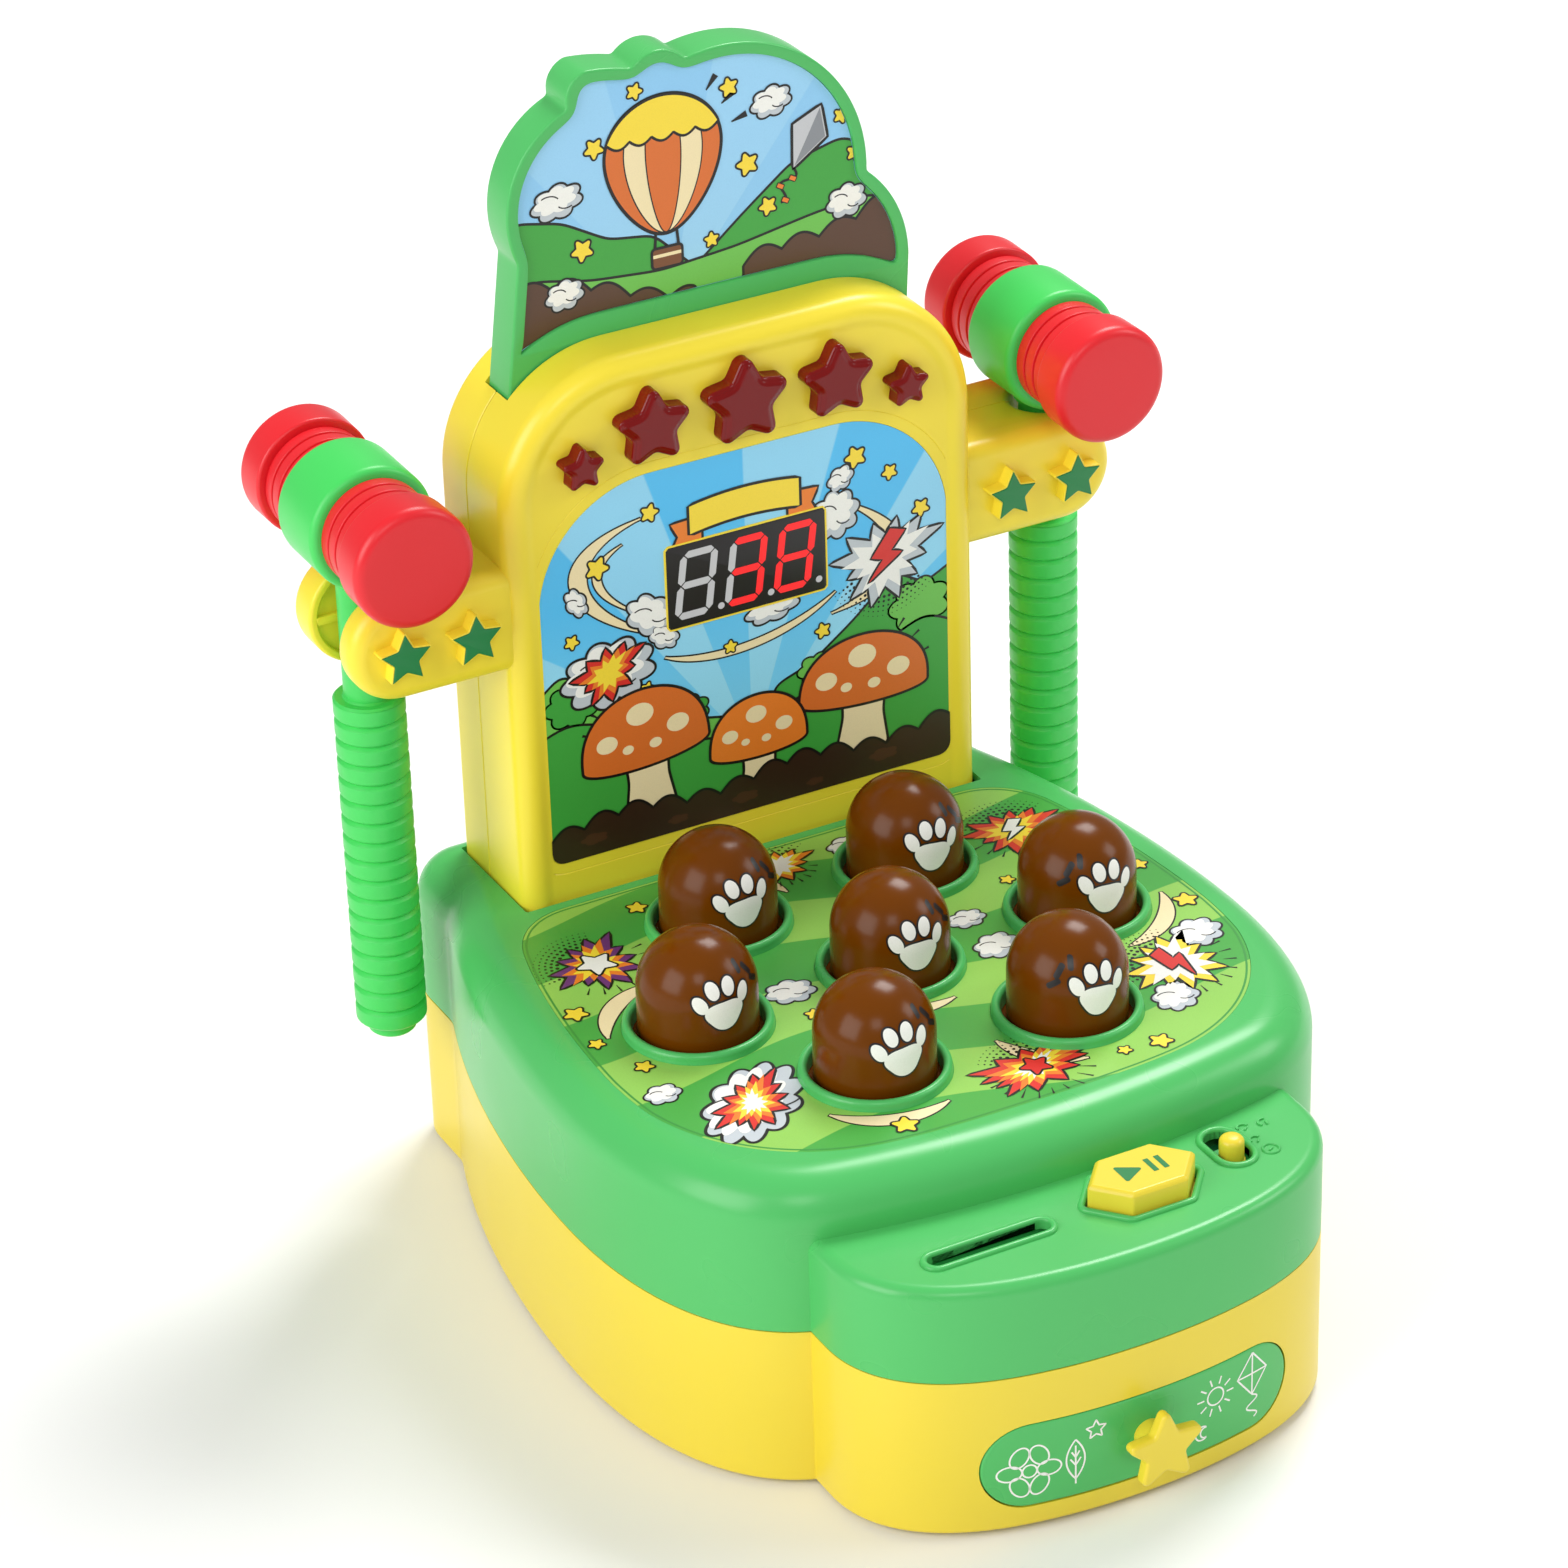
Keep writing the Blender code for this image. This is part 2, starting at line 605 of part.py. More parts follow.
def upper_casing(green):
    casing = casing_blank("base_upper_casing", SEAM_Z + GAP, green)
    floor = SEAM_Z + GAP
    ceiling = FIELD_Z - FIELD_WALL
    console_ceiling = CONSOLE_Z - WALL
    inner_rounding = FIELD_ROUNDING - WALL
    low = floor - FIELD_ROUNDING - OVERRUN * 2
    cut(casing,
        box("upper_trim", (-BEYOND, -BEYOND, -BEYOND), (BEYOND, BEYOND, floor)),
        plate("upper_room", [inset(body_outline(), WALL)], low, ceiling, rounding=inner_rounding, steps=1),
        plate("console_room", [inset(console_outline(), WALL)], low, console_ceiling))
    recess = LABEL_THICKNESS + GAP
    cut(casing, plate("label_seat", [inset(field_outline(), -GAP)], FIELD_Z - recess, FIELD_Z + OVERRUN))
    for k, (x, y) in enumerate(mole_places()):
        cut(casing, plate("mole_hole_%d" % (k + 1),
                          [circle(x, y, RING_RADIUS - RING_WALL * 0.75, ROUND, 0.5)],
                          ceiling - OVERRUN, FIELD_Z + OVERRUN))
        ring = turned("ring_%d" % (k + 1), ring_profile(), ROUND)
        ring.location = (x, y, FIELD_Z)
        fuse(casing, ring)
    rims = (("coin", lambda grow: slot_outline(COIN_SLOT_LENGTH, COIN_SLOT_WIDTH, grow, COIN_X, COIN_Y)),
            ("button", lambda grow: button_outline(BUTTON_CLEARANCE + grow)),
            ("slide", knob_slot))
    for name, outline in rims:
        fuse(casing, plate(name + "_rim", [outline(RIM_WIDTH)], console_ceiling + GAP, CONSOLE_Z + RIM_RISE,
                           rounding=RIM_ROUNDING))
        cut(casing, plate(name + "_hole", [outline(0.0)], console_ceiling - OVERRUN,
                          CONSOLE_Z + RIM_RISE + OVERRUN))
    fuse(casing, *[plate("mark_%d" % (k + 1),
                         [circle(x * CONSOLE_HALF_WIDTH, y * CONSOLE_FRONT, MARK_RADIUS, 8)],
                         console_ceiling + GAP, CONSOLE_Z + MARK_RISE)
                   for k, (x, y) in enumerate(MARK_SHARES)])
    neck_x, neck_front, neck_rear = neck_faces()
    cut(casing, box("tower_socket", (-neck_x - GAP, neck_front - GAP, ceiling - FIELD_ROUNDING),
                    (neck_x + GAP, neck_rear + GAP, FIELD_Z + OVERRUN)))
    fuse(casing, *board_bosses(ceiling))
    fuse(casing, *control_bosses(console_ceiling))
    smooth(casing)
    return casing


def ring_profile():
    """The raised ring round a mole hole; z = 0 is the field."""
    outer = RING_RADIUS
    inner = RING_RADIUS - RING_WALL
    soft = RING_ROUNDING
    low = -FIELD_WALL + GAP
    return [(outer, RING_RISE - soft), (outer, low), (inner, low), (inner, RING_RISE - soft),
            (inner + soft * 0.6, RING_RISE), (outer - soft * 0.6, RING_RISE)]


def board_bosses(ceiling):
    side = MAIN_BOARD_HALF_WIDTH - BOSS_INSET
    places = [(x, y) for x in (-side, side)
              for y in (-MAIN_BOARD_FRONT + BOSS_INSET, MAIN_BOARD_REAR - BOSS_INSET)]
    return [plate("boss_%d" % (k + 1), [circle(x, y, BOSS_RADIUS, 10)], BOARD_TOP + GAP, ceiling + GAP)
            for k, (x, y) in enumerate(places)]


def control_bosses(ceiling):
    y = COIN_Y + CONTROL_BOARD_DEPTH / 2 + BOSS_RADIUS * 1.8
    side = CONTROL_BOARD_WIDTH / 2 - BOSS_RADIUS
    return [plate("control_boss_%d" % (k + 1), [circle(CONTROL_BOARD_X + s * side, y, BOSS_RADIUS, 10)],
                  BOARD_TOP + GAP, ceiling + GAP) for k, s in enumerate((-1, 1))]


def lower_casing(yellow):
    high = SEAM_Z
    casing = plate("base_lower_casing", [body_outline()], BASE_BOTTOM, high + OVERRUN, yellow, PARTS,
                   rounding=BOTTOM_ROUNDING)
    floor = BASE_BOTTOM + WALL
    fuse(casing, plate("lower_console", [console_outline()], BASE_BOTTOM, high + OVERRUN,
                       rounding=BOTTOM_ROUNDING))
    cut(casing,
        box("lower_trim", (-BEYOND, -BEYOND, high), (BEYOND, BEYOND, BEYOND)),
        plate("lower_room", [inset(body_outline(), WALL)], floor, high + OVERRUN),
        plate("lower_console_room", [inset(console_outline(), WALL)], floor, high + OVERRUN))
    half_length = BAY_LENGTH / 2
    half_width = BAY_WIDTH / 2
    fuse(casing, box("bay_block", (-half_length - BAY_WALL, BAY_Y - half_width - BAY_WALL, floor - GAP),
                     (half_length + BAY_WALL, BAY_Y + half_width + BAY_WALL, BAY_CEILING + BAY_WALL)))
    door_top = BASE_BOTTOM + DOOR_THICKNESS + GAP
    lip = DOOR_LIP + GAP
    cut(casing,
        box("bay_room", (-half_length, BAY_Y - half_width, BASE_BOTTOM - OVERRUN),
            (half_length, BAY_Y + half_width, BAY_CEILING)),
        box("door_seat", (-half_length - BAY_WALL / 2, BAY_Y - half_width - BAY_WALL / 2,
                          BASE_BOTTOM - OVERRUN),
            (half_length + BAY_WALL / 2, BAY_Y + half_width + BAY_WALL / 2, door_top)))
    fuse(casing, box("screw_block", (-lip, BAY_Y + half_width - lip, door_top),
                     (lip, BAY_Y + half_width + GAP, BAY_CEILING + GAP)))
    cut(casing, plate("screw_hole", [circle(0.0, screw_y(), SCREW_SHANK + GAP, 10)],
                      BASE_BOTTOM, door_top + SCREW_LENGTH + GAP))
    holes = [circle(0.0, SPEAKER_Y, GRILLE_HOLE, 10)]
    for k in range(GRILLE_HOLES):
        turn = 2 * pi * k / GRILLE_HOLES
        holes.append(circle(GRILLE_RING * cos(turn), SPEAKER_Y + GRILLE_RING * sin(turn), GRILLE_HOLE, 10))
    cut(casing, *[plate("grille_%d" % (k + 1), [hole], BASE_BOTTOM - OVERRUN, floor + OVERRUN)
                  for k, hole in enumerate(holes)])
    fuse(casing, plate("speaker_collar", [circle(0.0, SPEAKER_Y, SPEAKER_RADIUS + GAP + WALL, ROUND),
                                          circle(0.0, SPEAKER_Y, SPEAKER_RADIUS + GAP, ROUND)],
                       floor - GAP, floor + SPEAKER_RIM))
    for side in (-1, 1):
        x = side * RUNNER_X
        front = -CONSOLE_FRONT + DRAWER_REACH
        fuse(casing, box("runner_%d" % side, (x - RUNNER_WIDTH / 2, front, floor - GAP),
                         (x + RUNNER_WIDTH / 2, -TRAY_BACK, TRAY_BOTTOM - GAP)))
    cut(casing, plate("drawer_opening", [stadium(DRAWER_HALF_LENGTH + GAP, DRAWER_HALF_HEIGHT + GAP,
                                                 0.0, DRAWER_Z)],
                      -CONSOLE_FRONT - OVERRUN, -CONSOLE_FRONT + DRAWER_REACH, upright=True))
    smooth(casing)
    return casing


def field_label(print_green):
    holes = [circle(x, y, RING_RADIUS + GAP, ROUND) for x, y in mole_places()]
    return plate("field_label", [field_outline()] + holes, FIELD_Z - LABEL_THICKNESS, FIELD_Z,
                 print_green, PARTS)


# Moles

def cap_profile():
    dome = CAP_RISE - CAP_RADIUS
    inner = CAP_RADIUS - CAP_WALL
    flange = -FIELD_WALL - GAP
    points = [(CAP_RADIUS * sin(k * pi / 10), dome + CAP_RADIUS * cos(k * pi / 10)) for k in range(5)]
    points += [(CAP_RADIUS, flange), (CAP_FLANGE_RADIUS, flange),
               (CAP_FLANGE_RADIUS, flange - CAP_FLANGE), (inner, flange - CAP_FLANGE)]
    reach = sqrt(inner * inner - PLUNGER_RADIUS * PLUNGER_RADIUS)
    points += [(inner, dome), (inner * cos(pi / 4), dome + inner * sin(pi / 4)),
               (PLUNGER_RADIUS, dome + reach)]
    points += [(PLUNGER_RADIUS, -SEAT_DEPTH + SEAT_THICKNESS), (SEAT_RADIUS, -SEAT_DEPTH + SEAT_THICKNESS),
               (SEAT_RADIUS, -SEAT_DEPTH), (PLUNGER_RADIUS, -SEAT_DEPTH),
               (PLUNGER_RADIUS, -PLUNGER_DEPTH), (0.0, -PLUNGER_DEPTH)]
    return points


def moles(brown):
    for k, (x, y) in enumerate(mole_places()):
        cap = turned("mole_cap_%d" % (k + 1), cap_profile(), ROUND, brown, PARTS)
        cap.location = (x, y, FIELD_Z)
        smooth(cap)


def coil(name, radius, wire, low, high, turns, slot, x, y):
    """One unbroken spring wire with its ends cut square."""
    wound = bpy.data.curves.new(name, "CURVE")
    wound.dimensions = "3D"
    wound.bevel_depth = wire
    wound.bevel_resolution = 0
    wound.use_fill_caps = True
    count = turns * SPRING_POINTS
    spline = wound.splines.new("POLY")
    spline.points.add(count)
    bottom = low + wire
    rise = high - low - wire * 2
    for k, point in enumerate(spline.points):
        turn = 2 * pi * k / SPRING_POINTS
        point.co = (radius * cos(turn), radius * sin(turn), bottom + rise * k / count, 1.0)
    made = bpy.data.objects.new(name, wound)
    PARTS.objects.link(made)
    made.location = (x, y, 0.0)
    wound.materials.append(slot)
    return made


def springs(steel):
    for k, (x, y) in enumerate(mole_places()):
        coil("mole_spring_%d" % (k + 1), SPRING_RADIUS, SPRING_WIRE, BOARD_TOP + GAP,
             FIELD_Z - SEAT_DEPTH - GAP, SPRING_TURNS, steel, x, y)


def main_board(green):
    outline = rectangle(-MAIN_BOARD_HALF_WIDTH, MAIN_BOARD_HALF_WIDTH, -MAIN_BOARD_FRONT, MAIN_BOARD_REAR)
    board = plate("main_board", [outline], BOARD_BOTTOM, BOARD_TOP, green, PARTS)
    half = SWITCH_SIDE / 2
    fuse(board, *[box("mole_switch_%d" % (k + 1), (x - half, y - half, BOARD_TOP - BOARD_THICKNESS / 2),
                      (x + half, y + half, BOARD_TOP + SWITCH_HEIGHT))
                  for k, (x, y) in enumerate(mole_places())])
    return board


# Console controls, chute and drawer

def play_button(yellow):
    top = CONSOLE_Z + BUTTON_RISE
    under = CONSOLE_Z - WALL - GAP
    button = plate("play_button", [button_outline(0.0)], under - BUTTON_FLANGE / 2, top, yellow, PARTS,
                   rounding=BUTTON_ROUNDING / 2, steps=1, origin=Vector((BUTTON_X, BUTTON_Y, CONSOLE_Z)))
    stem_bottom = BOARD_TOP + SWITCH_HEIGHT + GAP + BUTTON_TRAVEL
    fuse(button,
         plate("button_flange", [button_outline(BUTTON_CLEARANCE + BUTTON_FLANGE)],
               under - BUTTON_FLANGE, under),
         plate("button_stem", [circle(BUTTON_X, BUTTON_Y, PLUNGER_RADIUS, 12)], stem_bottom,
               under - BUTTON_FLANGE / 2))
    return button


def slide_knob(yellow):
    under = CONSOLE_Z - WALL - GAP
    sole = turned_quarter(stadium(KNOB_PLATE_LENGTH / 2, KNOB_PLATE_WIDTH / 2, steps=4), KNOB_X, KNOB_Y)
    knob = plate("slide_knob", [sole], under - KNOB_PLATE, under, yellow, PARTS,
                 origin=Vector((KNOB_X, KNOB_Y, CONSOLE_Z)))
    fuse(knob, plate("knob_post", [circle(KNOB_X, KNOB_Y, KNOB_RADIUS, 12)], under - KNOB_PLATE / 2,
                     CONSOLE_Z + KNOB_RISE, rounding=KNOB_RADIUS / 2, steps=2))
    return knob


def control_board(green):
    y = COIN_Y
    half_width = CONTROL_BOARD_WIDTH / 2
    outline = rectangle(CONTROL_BOARD_X - half_width, CONTROL_BOARD_X + half_width,
                        y - CONTROL_BOARD_DEPTH / 2, y + CONTROL_BOARD_DEPTH / 2 + BOSS_RADIUS * 3)
    board = plate("control_board", [outline], BOARD_BOTTOM, BOARD_TOP, green, PARTS)
    half = SWITCH_SIDE / 2
    under = CONSOLE_Z - WALL - GAP * 2 - KNOB_PLATE
    middle = BOARD_TOP - BOARD_THICKNESS / 2
    fuse(board,
         box("button_switch", (BUTTON_X - half, BUTTON_Y - half, middle),
             (BUTTON_X + half, BUTTON_Y + half, BOARD_TOP + SWITCH_HEIGHT)),
         box("slide_switch_body", (KNOB_X - half, SLOT_Y - SLOT_LENGTH / 2, middle),
             (KNOB_X + half, SLOT_Y + SLOT_LENGTH / 2, under)))
    return board


def coin_chute(pale):
    top = CONSOLE_Z - WALL - GAP

    def leaning(half_length, low, high):
        """A parallelogram that leans as the chute does."""
        lean = CHUTE_SHIFT / (top - CHUTE_BOTTOM)
        shift_low = lean * (top - low)
        shift_high = lean * (top - high)
        return [(COIN_X - half_length + shift_low, low), (COIN_X + half_length + shift_low, low),
                (COIN_X + half_length + shift_high, high), (COIN_X - half_length + shift_high, high)]
    half = CHUTE_LENGTH / 2
    chute = plate("coin_chute", [leaning(half, CHUTE_BOTTOM, top)], COIN_Y - CHUTE_WIDTH / 2,
                  COIN_Y + CHUTE_WIDTH / 2, pale, PARTS, upright=True)
    cut(chute, plate("chute_room", [leaning(half - CHUTE_WALL, CHUTE_BOTTOM - OVERRUN, top + OVERRUN)],
                     COIN_Y - CHUTE_WIDTH / 2 + CHUTE_WALL, COIN_Y + CHUTE_WIDTH / 2 - CHUTE_WALL,
                     upright=True))
    return chute


def coin_drawer(green):
    """The front plate follows the console's curved wall, with the open tray behind it."""
    front = plate("coin_drawer", [stadium(DRAWER_HALF_LENGTH, DRAWER_HALF_HEIGHT, 0.0, DRAWER_Z)],
                  -CONSOLE_FRONT - OVERRUN, -CONSOLE_FRONT + DRAWER_REACH, green, PARTS, upright=True)
    combine(front, "INTERSECT", [plate("drawer_curve", [console_outline()], BASE_BOTTOM, SEAM_Z)])
    cut(front, plate("drawer_back", [inset(console_outline(), DRAWER_FACE)], BASE_BOTTOM, SEAM_Z))
    tray = box("tray", (-TRAY_HALF_WIDTH, -CONSOLE_FRONT, TRAY_BOTTOM),
               (TRAY_HALF_WIDTH, -TRAY_BACK, TRAY_TOP))
    cut(tray, box("tray_room", (-TRAY_HALF_WIDTH + TRAY_WALL, -CONSOLE_FRONT - OVERRUN,
                                TRAY_BOTTOM + TRAY_WALL),
                  (TRAY_HALF_WIDTH - TRAY_WALL, -TRAY_BACK - TRAY_WALL, TRAY_TOP + OVERRUN)))
    combine(tray, "INTERSECT", [plate("tray_curve", [inset(console_outline(), DRAWER_FACE / 2)],
                                      BASE_BOTTOM, SEAM_Z)])
    fuse(front, tray)
    return front


def drawer_knob(yellow):
    face = -CONSOLE_FRONT - GAP
    stand = face - STAR_KNOB_STAND
    knob = plate("drawer_knob", [star(0.0, DRAWER_Z, STAR_KNOB_RADIUS)], stand - STAR_KNOB_THICKNESS, stand,
                 yellow, PARTS, upright=True, rounding=RIM_ROUNDING)
    fuse(knob, plate("knob_stem", [circle(0.0, DRAWER_Z, STAR_KNOB_STEM, 12)],
                     stand - STAR_KNOB_THICKNESS / 2, face, upright=True))
    return knob


# Power, sound and feet

def screw_y():
    return BAY_Y + BAY_WIDTH / 2 - DOOR_LIP / 2


def power(yellow, cell_blue, steel):
    door_high = BASE_BOTTOM + DOOR_THICKNESS
    grow = BAY_WALL / 2 - GAP
    door = box("battery_door", (-BAY_LENGTH / 2 - grow, BAY_Y - BAY_WIDTH / 2 - grow, BASE_BOTTOM),
               (BAY_LENGTH / 2 + grow, BAY_Y + BAY_WIDTH / 2 + grow, door_high), yellow, PARTS)
    cut(door, plate("door_screw_hole", [circle(0.0, screw_y(), SCREW_SHANK + GAP, 10)],
                    BASE_BOTTOM - OVERRUN, door_high + OVERRUN),
        plate("door_sink", [circle(0.0, screw_y(), SCREW_RADIUS + GAP, 12)], BASE_BOTTOM - OVERRUN,
              BASE_BOTTOM + SCREW_HEAD + GAP))
    head = BASE_BOTTOM + SCREW_HEAD
    screw = turned("battery_door_screw", [(0.0, BASE_BOTTOM + SCREW_LENGTH),
                                          (SCREW_SHANK, BASE_BOTTOM + SCREW_LENGTH), (SCREW_SHANK, head),
                                          (SCREW_RADIUS, head), (SCREW_RADIUS, BASE_BOTTOM),
                                          (0.0, BASE_BOTTOM)], 12, steel, PARTS)
    screw.location = (0.0, screw_y(), 0.0)
    rest = door_high + GAP + CELL_RADIUS
    half = CELL_LENGTH / 2
    nipple = half - CELL_NIPPLE
    for k in range(3):
        way = 1 if k % 2 else -1
        cell = turned("battery_%d" % (k + 1), [(0.0, half), (CELL_NIPPLE_RADIUS, half),
                                               (CELL_NIPPLE_RADIUS, nipple), (CELL_RADIUS, nipple),
                                               (CELL_RADIUS, -half), (0.0, -half)], FINE, cell_blue, PARTS)
        cell.rotation_euler = (0.0, way * pi / 2, 0.0)
        cell.location = (0.0, BAY_Y - CELL_SHIFT + (k - 1) * CELL_PITCH, rest)
        smooth(cell)
    inner = BAY_LENGTH / 2 - GAP
    reach = CELL_PITCH + CELL_NIPPLE_RADIUS
    middle = BAY_Y - CELL_SHIFT
    for name, side in (("left", -1), ("right", 1)):
        x0, x1 = sorted((side * inner, side * (inner - CONTACT_THICKNESS)))
        contact = box("battery_contact_" + name, (x0, middle - reach, door_high + GAP),
                      (x1, middle + reach, BAY_CEILING - GAP), steel, PARTS)
        tips = []
        gap = inner - CONTACT_THICKNESS - half - GAP
        for k in range(3):
            y = middle + (k - 1) * CELL_PITCH
            a, b = sorted((side * (inner - CONTACT_THICKNESS / 2), side * (inner - CONTACT_THICKNESS - gap)))
            tips.append(box("contact_tip_%s_%d" % (name, k + 1), (a, y - CELL_NIPPLE_RADIUS,
                                                                  rest - CELL_NIPPLE_RADIUS),
                            (b, y + CELL_NIPPLE_RADIUS, rest + CELL_NIPPLE_RADIUS)))
        fuse(contact, *tips)


def speaker(dark):
    low = BASE_BOTTOM + WALL + GAP
    made = turned("speaker", [(0.0, low + SPEAKER_DEPTH), (MAGNET_RADIUS, low + SPEAKER_DEPTH),
                              (MAGNET_RADIUS, low + SPEAKER_DEPTH / 2), (SPEAKER_RADIUS, low + SPEAKER_RIM),
                              (SPEAKER_RADIUS, low), (MAGNET_RADIUS, low), (0.0, low + SPEAKER_RIM)],
                  ROUND, dark, PARTS)
    made.location = (0.0, SPEAKER_Y, 0.0)
    smooth(made)


def feet(rubber):
    k = 0
    for x, y in FOOT_SHARES:
        for side in (-1, 1):
            k += 1
            reach = BODY_REAR if y > 0 else CONSOLE_FRONT
            across = BODY_HALF_WIDTH * x
            plate("foot_%d" % k, [circle(side * across, y * reach, FOOT_RADIUS, FINE)], 0.0, FOOT_HEIGHT,
                  rubber, PARTS)


# Tower

def neck_faces():
    return (TOWER_HALF_WIDTH - NECK_SHRINK, TOWER_FRONT + NECK_SHRINK, TOWER_REAR - NECK_SHRINK)


def tower_outline(shrink, bottom):
    return arch(TOWER_HALF_WIDTH - shrink, bottom, FIELD_TOP_OF_TOWER - shrink, TOWER_CORNER - shrink)


def notch_outline(side):
    """Open at the arm's end, round at its inner end."""
    radius = NOTCH_WIDTH / 2
    inner = NOTCH_END + radius
    points = arc((inner, NOTCH_Y), radius, pi / 2, 1.5 * pi, 8)
    points += [(ARM_REACH + OVERRUN, NOTCH_Y - radius), (ARM_REACH + OVERRUN, NOTCH_Y + radius)]
    return [(side * x, y) for x, y in points]


def arm_cuts(tag):
    low = ARM_Z - ARM_RADIUS - OVERRUN
    high = ARM_Z + ARM_RADIUS + OVERRUN
    return [plate("%s_notch_%d" % (tag, side), [notch_outline(side)], low, high) for side in (-1, 1)]


def slot_box(tag):
    reach = PLATE_HALF_WIDTH * -PLATE_SHARES[0][0] + GAP
    low = FIELD_Z + PLATE_CORNER_Z - PLATE_TENON - GAP
    return box(tag + "_plate_slot", (-reach, PLATE_FRONT - GAP, low),
               (reach, PLATE_FRONT + PLATE_THICKNESS + GAP, FIELD_TOP_OF_TOWER + OVERRUN))


def tower_shell(name, front, rear, wall_front, wall_rear, rounding, steps, trim, yellow):
    """One half of the tower with its half of both arms. trim holds the boxes that part the halves."""
    below = FIELD_Z - rounding * 2
    run = OVERRUN * 4
    shell = plate(name, [tower_outline(0.0, below)], front, rear, yellow, PARTS, upright=True,
                  rounding=rounding, steps=steps)
    arm_front = max(front, ARM_FRONT)
    arm_rounding = ARM_ROUNDING if rounding == TOWER_ROUNDING else rounding
    fuse(shell, plate(name + "_arms", [stadium(ARM_REACH, ARM_RADIUS, 0.0, ARM_Z)], arm_front, rear,
                      upright=True, rounding=arm_rounding, steps=steps))
    cut(shell, box(name + "_foot_trim", (-BEYOND, -BEYOND, -BEYOND), (BEYOND, BEYOND, FIELD_Z + GAP)))
    neck_x, neck_front, neck_rear = neck_faces()
    neck_low = FIELD_Z - NECK_DEPTH
    fuse(shell, box(name + "_neck", (-neck_x, max(neck_front, front), neck_low),
                    (neck_x, min(neck_rear, rear), FIELD_Z + WALL)))
    cut(shell, trim)
    inner = NOTCH_END - ARM_WEB
    cut(shell,
        plate(name + "_room", [tower_outline(WALL, FIELD_Z + WALL)], wall_front, wall_rear, upright=True),
        plate(name + "_arm_room", [stadium(inner, ARM_RADIUS - WALL, 0.0, ARM_Z)],
              max(wall_front, ARM_FRONT + WALL), wall_rear, upright=True),
        box(name + "_neck_room", (-neck_x + WALL, max(wall_front, neck_front + WALL), neck_low - run),
            (neck_x - WALL, min(wall_rear, neck_rear - WALL), FIELD_Z + WALL * 2)),
        *arm_cuts(name), slot_box(name))
    return shell


def tower_front(yellow):
    rear = TOWER_PARTING + TOWER_ROUNDING + OVERRUN
    trim = box("front_trim", (-BEYOND, TOWER_PARTING, -BEYOND), (BEYOND, BEYOND, BEYOND))
    shell = tower_shell("tower_front_shell", TOWER_FRONT, rear, TOWER_FRONT + FACE_WALL,
                        rear + OVERRUN, TOWER_ROUNDING, 2, trim, yellow)
    cut(shell, plate("face_recess", [inset(tower_outline(0.0, FIELD_Z - FACE_INSET), FACE_INSET)],
                     TOWER_FRONT - OVERRUN, PANEL_Y, upright=True))
    seat = PANEL_Y + PANEL_THICKNESS + GAP
    cut(shell, plate("panel_seat", [panel_outline(-GAP)], TOWER_FRONT - OVERRUN, seat, upright=True))
    through = TOWER_FRONT + FACE_WALL + OVERRUN
    cut(shell, plate("display_window", [display_outline(GAP)], TOWER_FRONT, through, upright=True))
    cut(shell, *[plate("lamp_hole_%d" % (k + 1), [lamp_star(x, z, radius + GAP)],
                       TOWER_FRONT - OVERRUN, through, upright=True)
                 for k, (x, z, radius) in enumerate(lamp_places())])
    for k, x in enumerate(badge_places()):
        fuse(shell, plate("badge_block_%d" % (k + 1), [star(x, FIELD_Z + BADGE_HEIGHT, BADGE_RADIUS)],
                          ARM_FRONT - BADGE_RISE, ARM_FRONT + WALL / 2, upright=True))
        cut(shell, plate("badge_seat_%d" % (k + 1),
                         [star(x, FIELD_Z + BADGE_HEIGHT, BADGE_RADIUS - BADGE_RIM)],
                         ARM_FRONT - BADGE_RISE - OVERRUN, ARM_FRONT - BADGE_RISE + BADGE_INLAY,
                         upright=True))
    fuse(shell, *display_posts())
    smooth(shell)
    return shell


def tower_rear(yellow):
    front = TOWER_PARTING - TOWER_REAR_ROUNDING - OVERRUN
    trim = box("rear_trim", (-BEYOND, -BEYOND, -BEYOND), (BEYOND, TOWER_PARTING + GAP, BEYOND))
    shell = tower_shell("tower_rear_shell", front, TOWER_REAR, front - OVERRUN, TOWER_REAR - WALL,
                        TOWER_REAR_ROUNDING, 1, trim, yellow)
    high = FIELD_Z + PLATE_CORNER_Z - PLATE_TENON - GAP
    fuse(shell, *[box("plate_rib_%d" % side, (side * RIB_X - RIB_WIDTH / 2, TOWER_PARTING + GAP,
                                              high - RIB_HEIGHT),
                      (side * RIB_X + RIB_WIDTH / 2, TOWER_REAR - WALL / 2, high)) for side in (-1, 1)])
    smooth(shell)
    return shell


def badge_places():
    arm = ARM_REACH - TOWER_HALF_WIDTH
    return [side * (TOWER_HALF_WIDTH + share * arm) for side in (-1, 1) for share in BADGE_SHARES]


def badges(dark_green):
    high = ARM_FRONT - BADGE_RISE + BADGE_INLAY - GAP
    for k, x in enumerate(badge_places()):
        plate("arm_star_%d" % (k + 1), [star(x, FIELD_Z + BADGE_HEIGHT, BADGE_RADIUS - BADGE_RIM - GAP)],
              ARM_FRONT - BADGE_RISE - GAP, high, dark_green, PARTS, upright=True)


def panel_outline(shrink):
    return arch(PANEL_HALF_WIDTH - shrink, FIELD_Z + PANEL_BOTTOM + shrink, FIELD_Z + PANEL_TOP - shrink,
                PANEL_CORNER - shrink, PANEL_SOFT - shrink)


def display_outline(grow):
    half_width = DISPLAY_WIDTH / 2 + grow
    half_height = DISPLAY_HEIGHT / 2 + grow
    z = FIELD_Z + DISPLAY_Z
    return rectangle(-half_width, half_width, z - half_height, z + half_height)


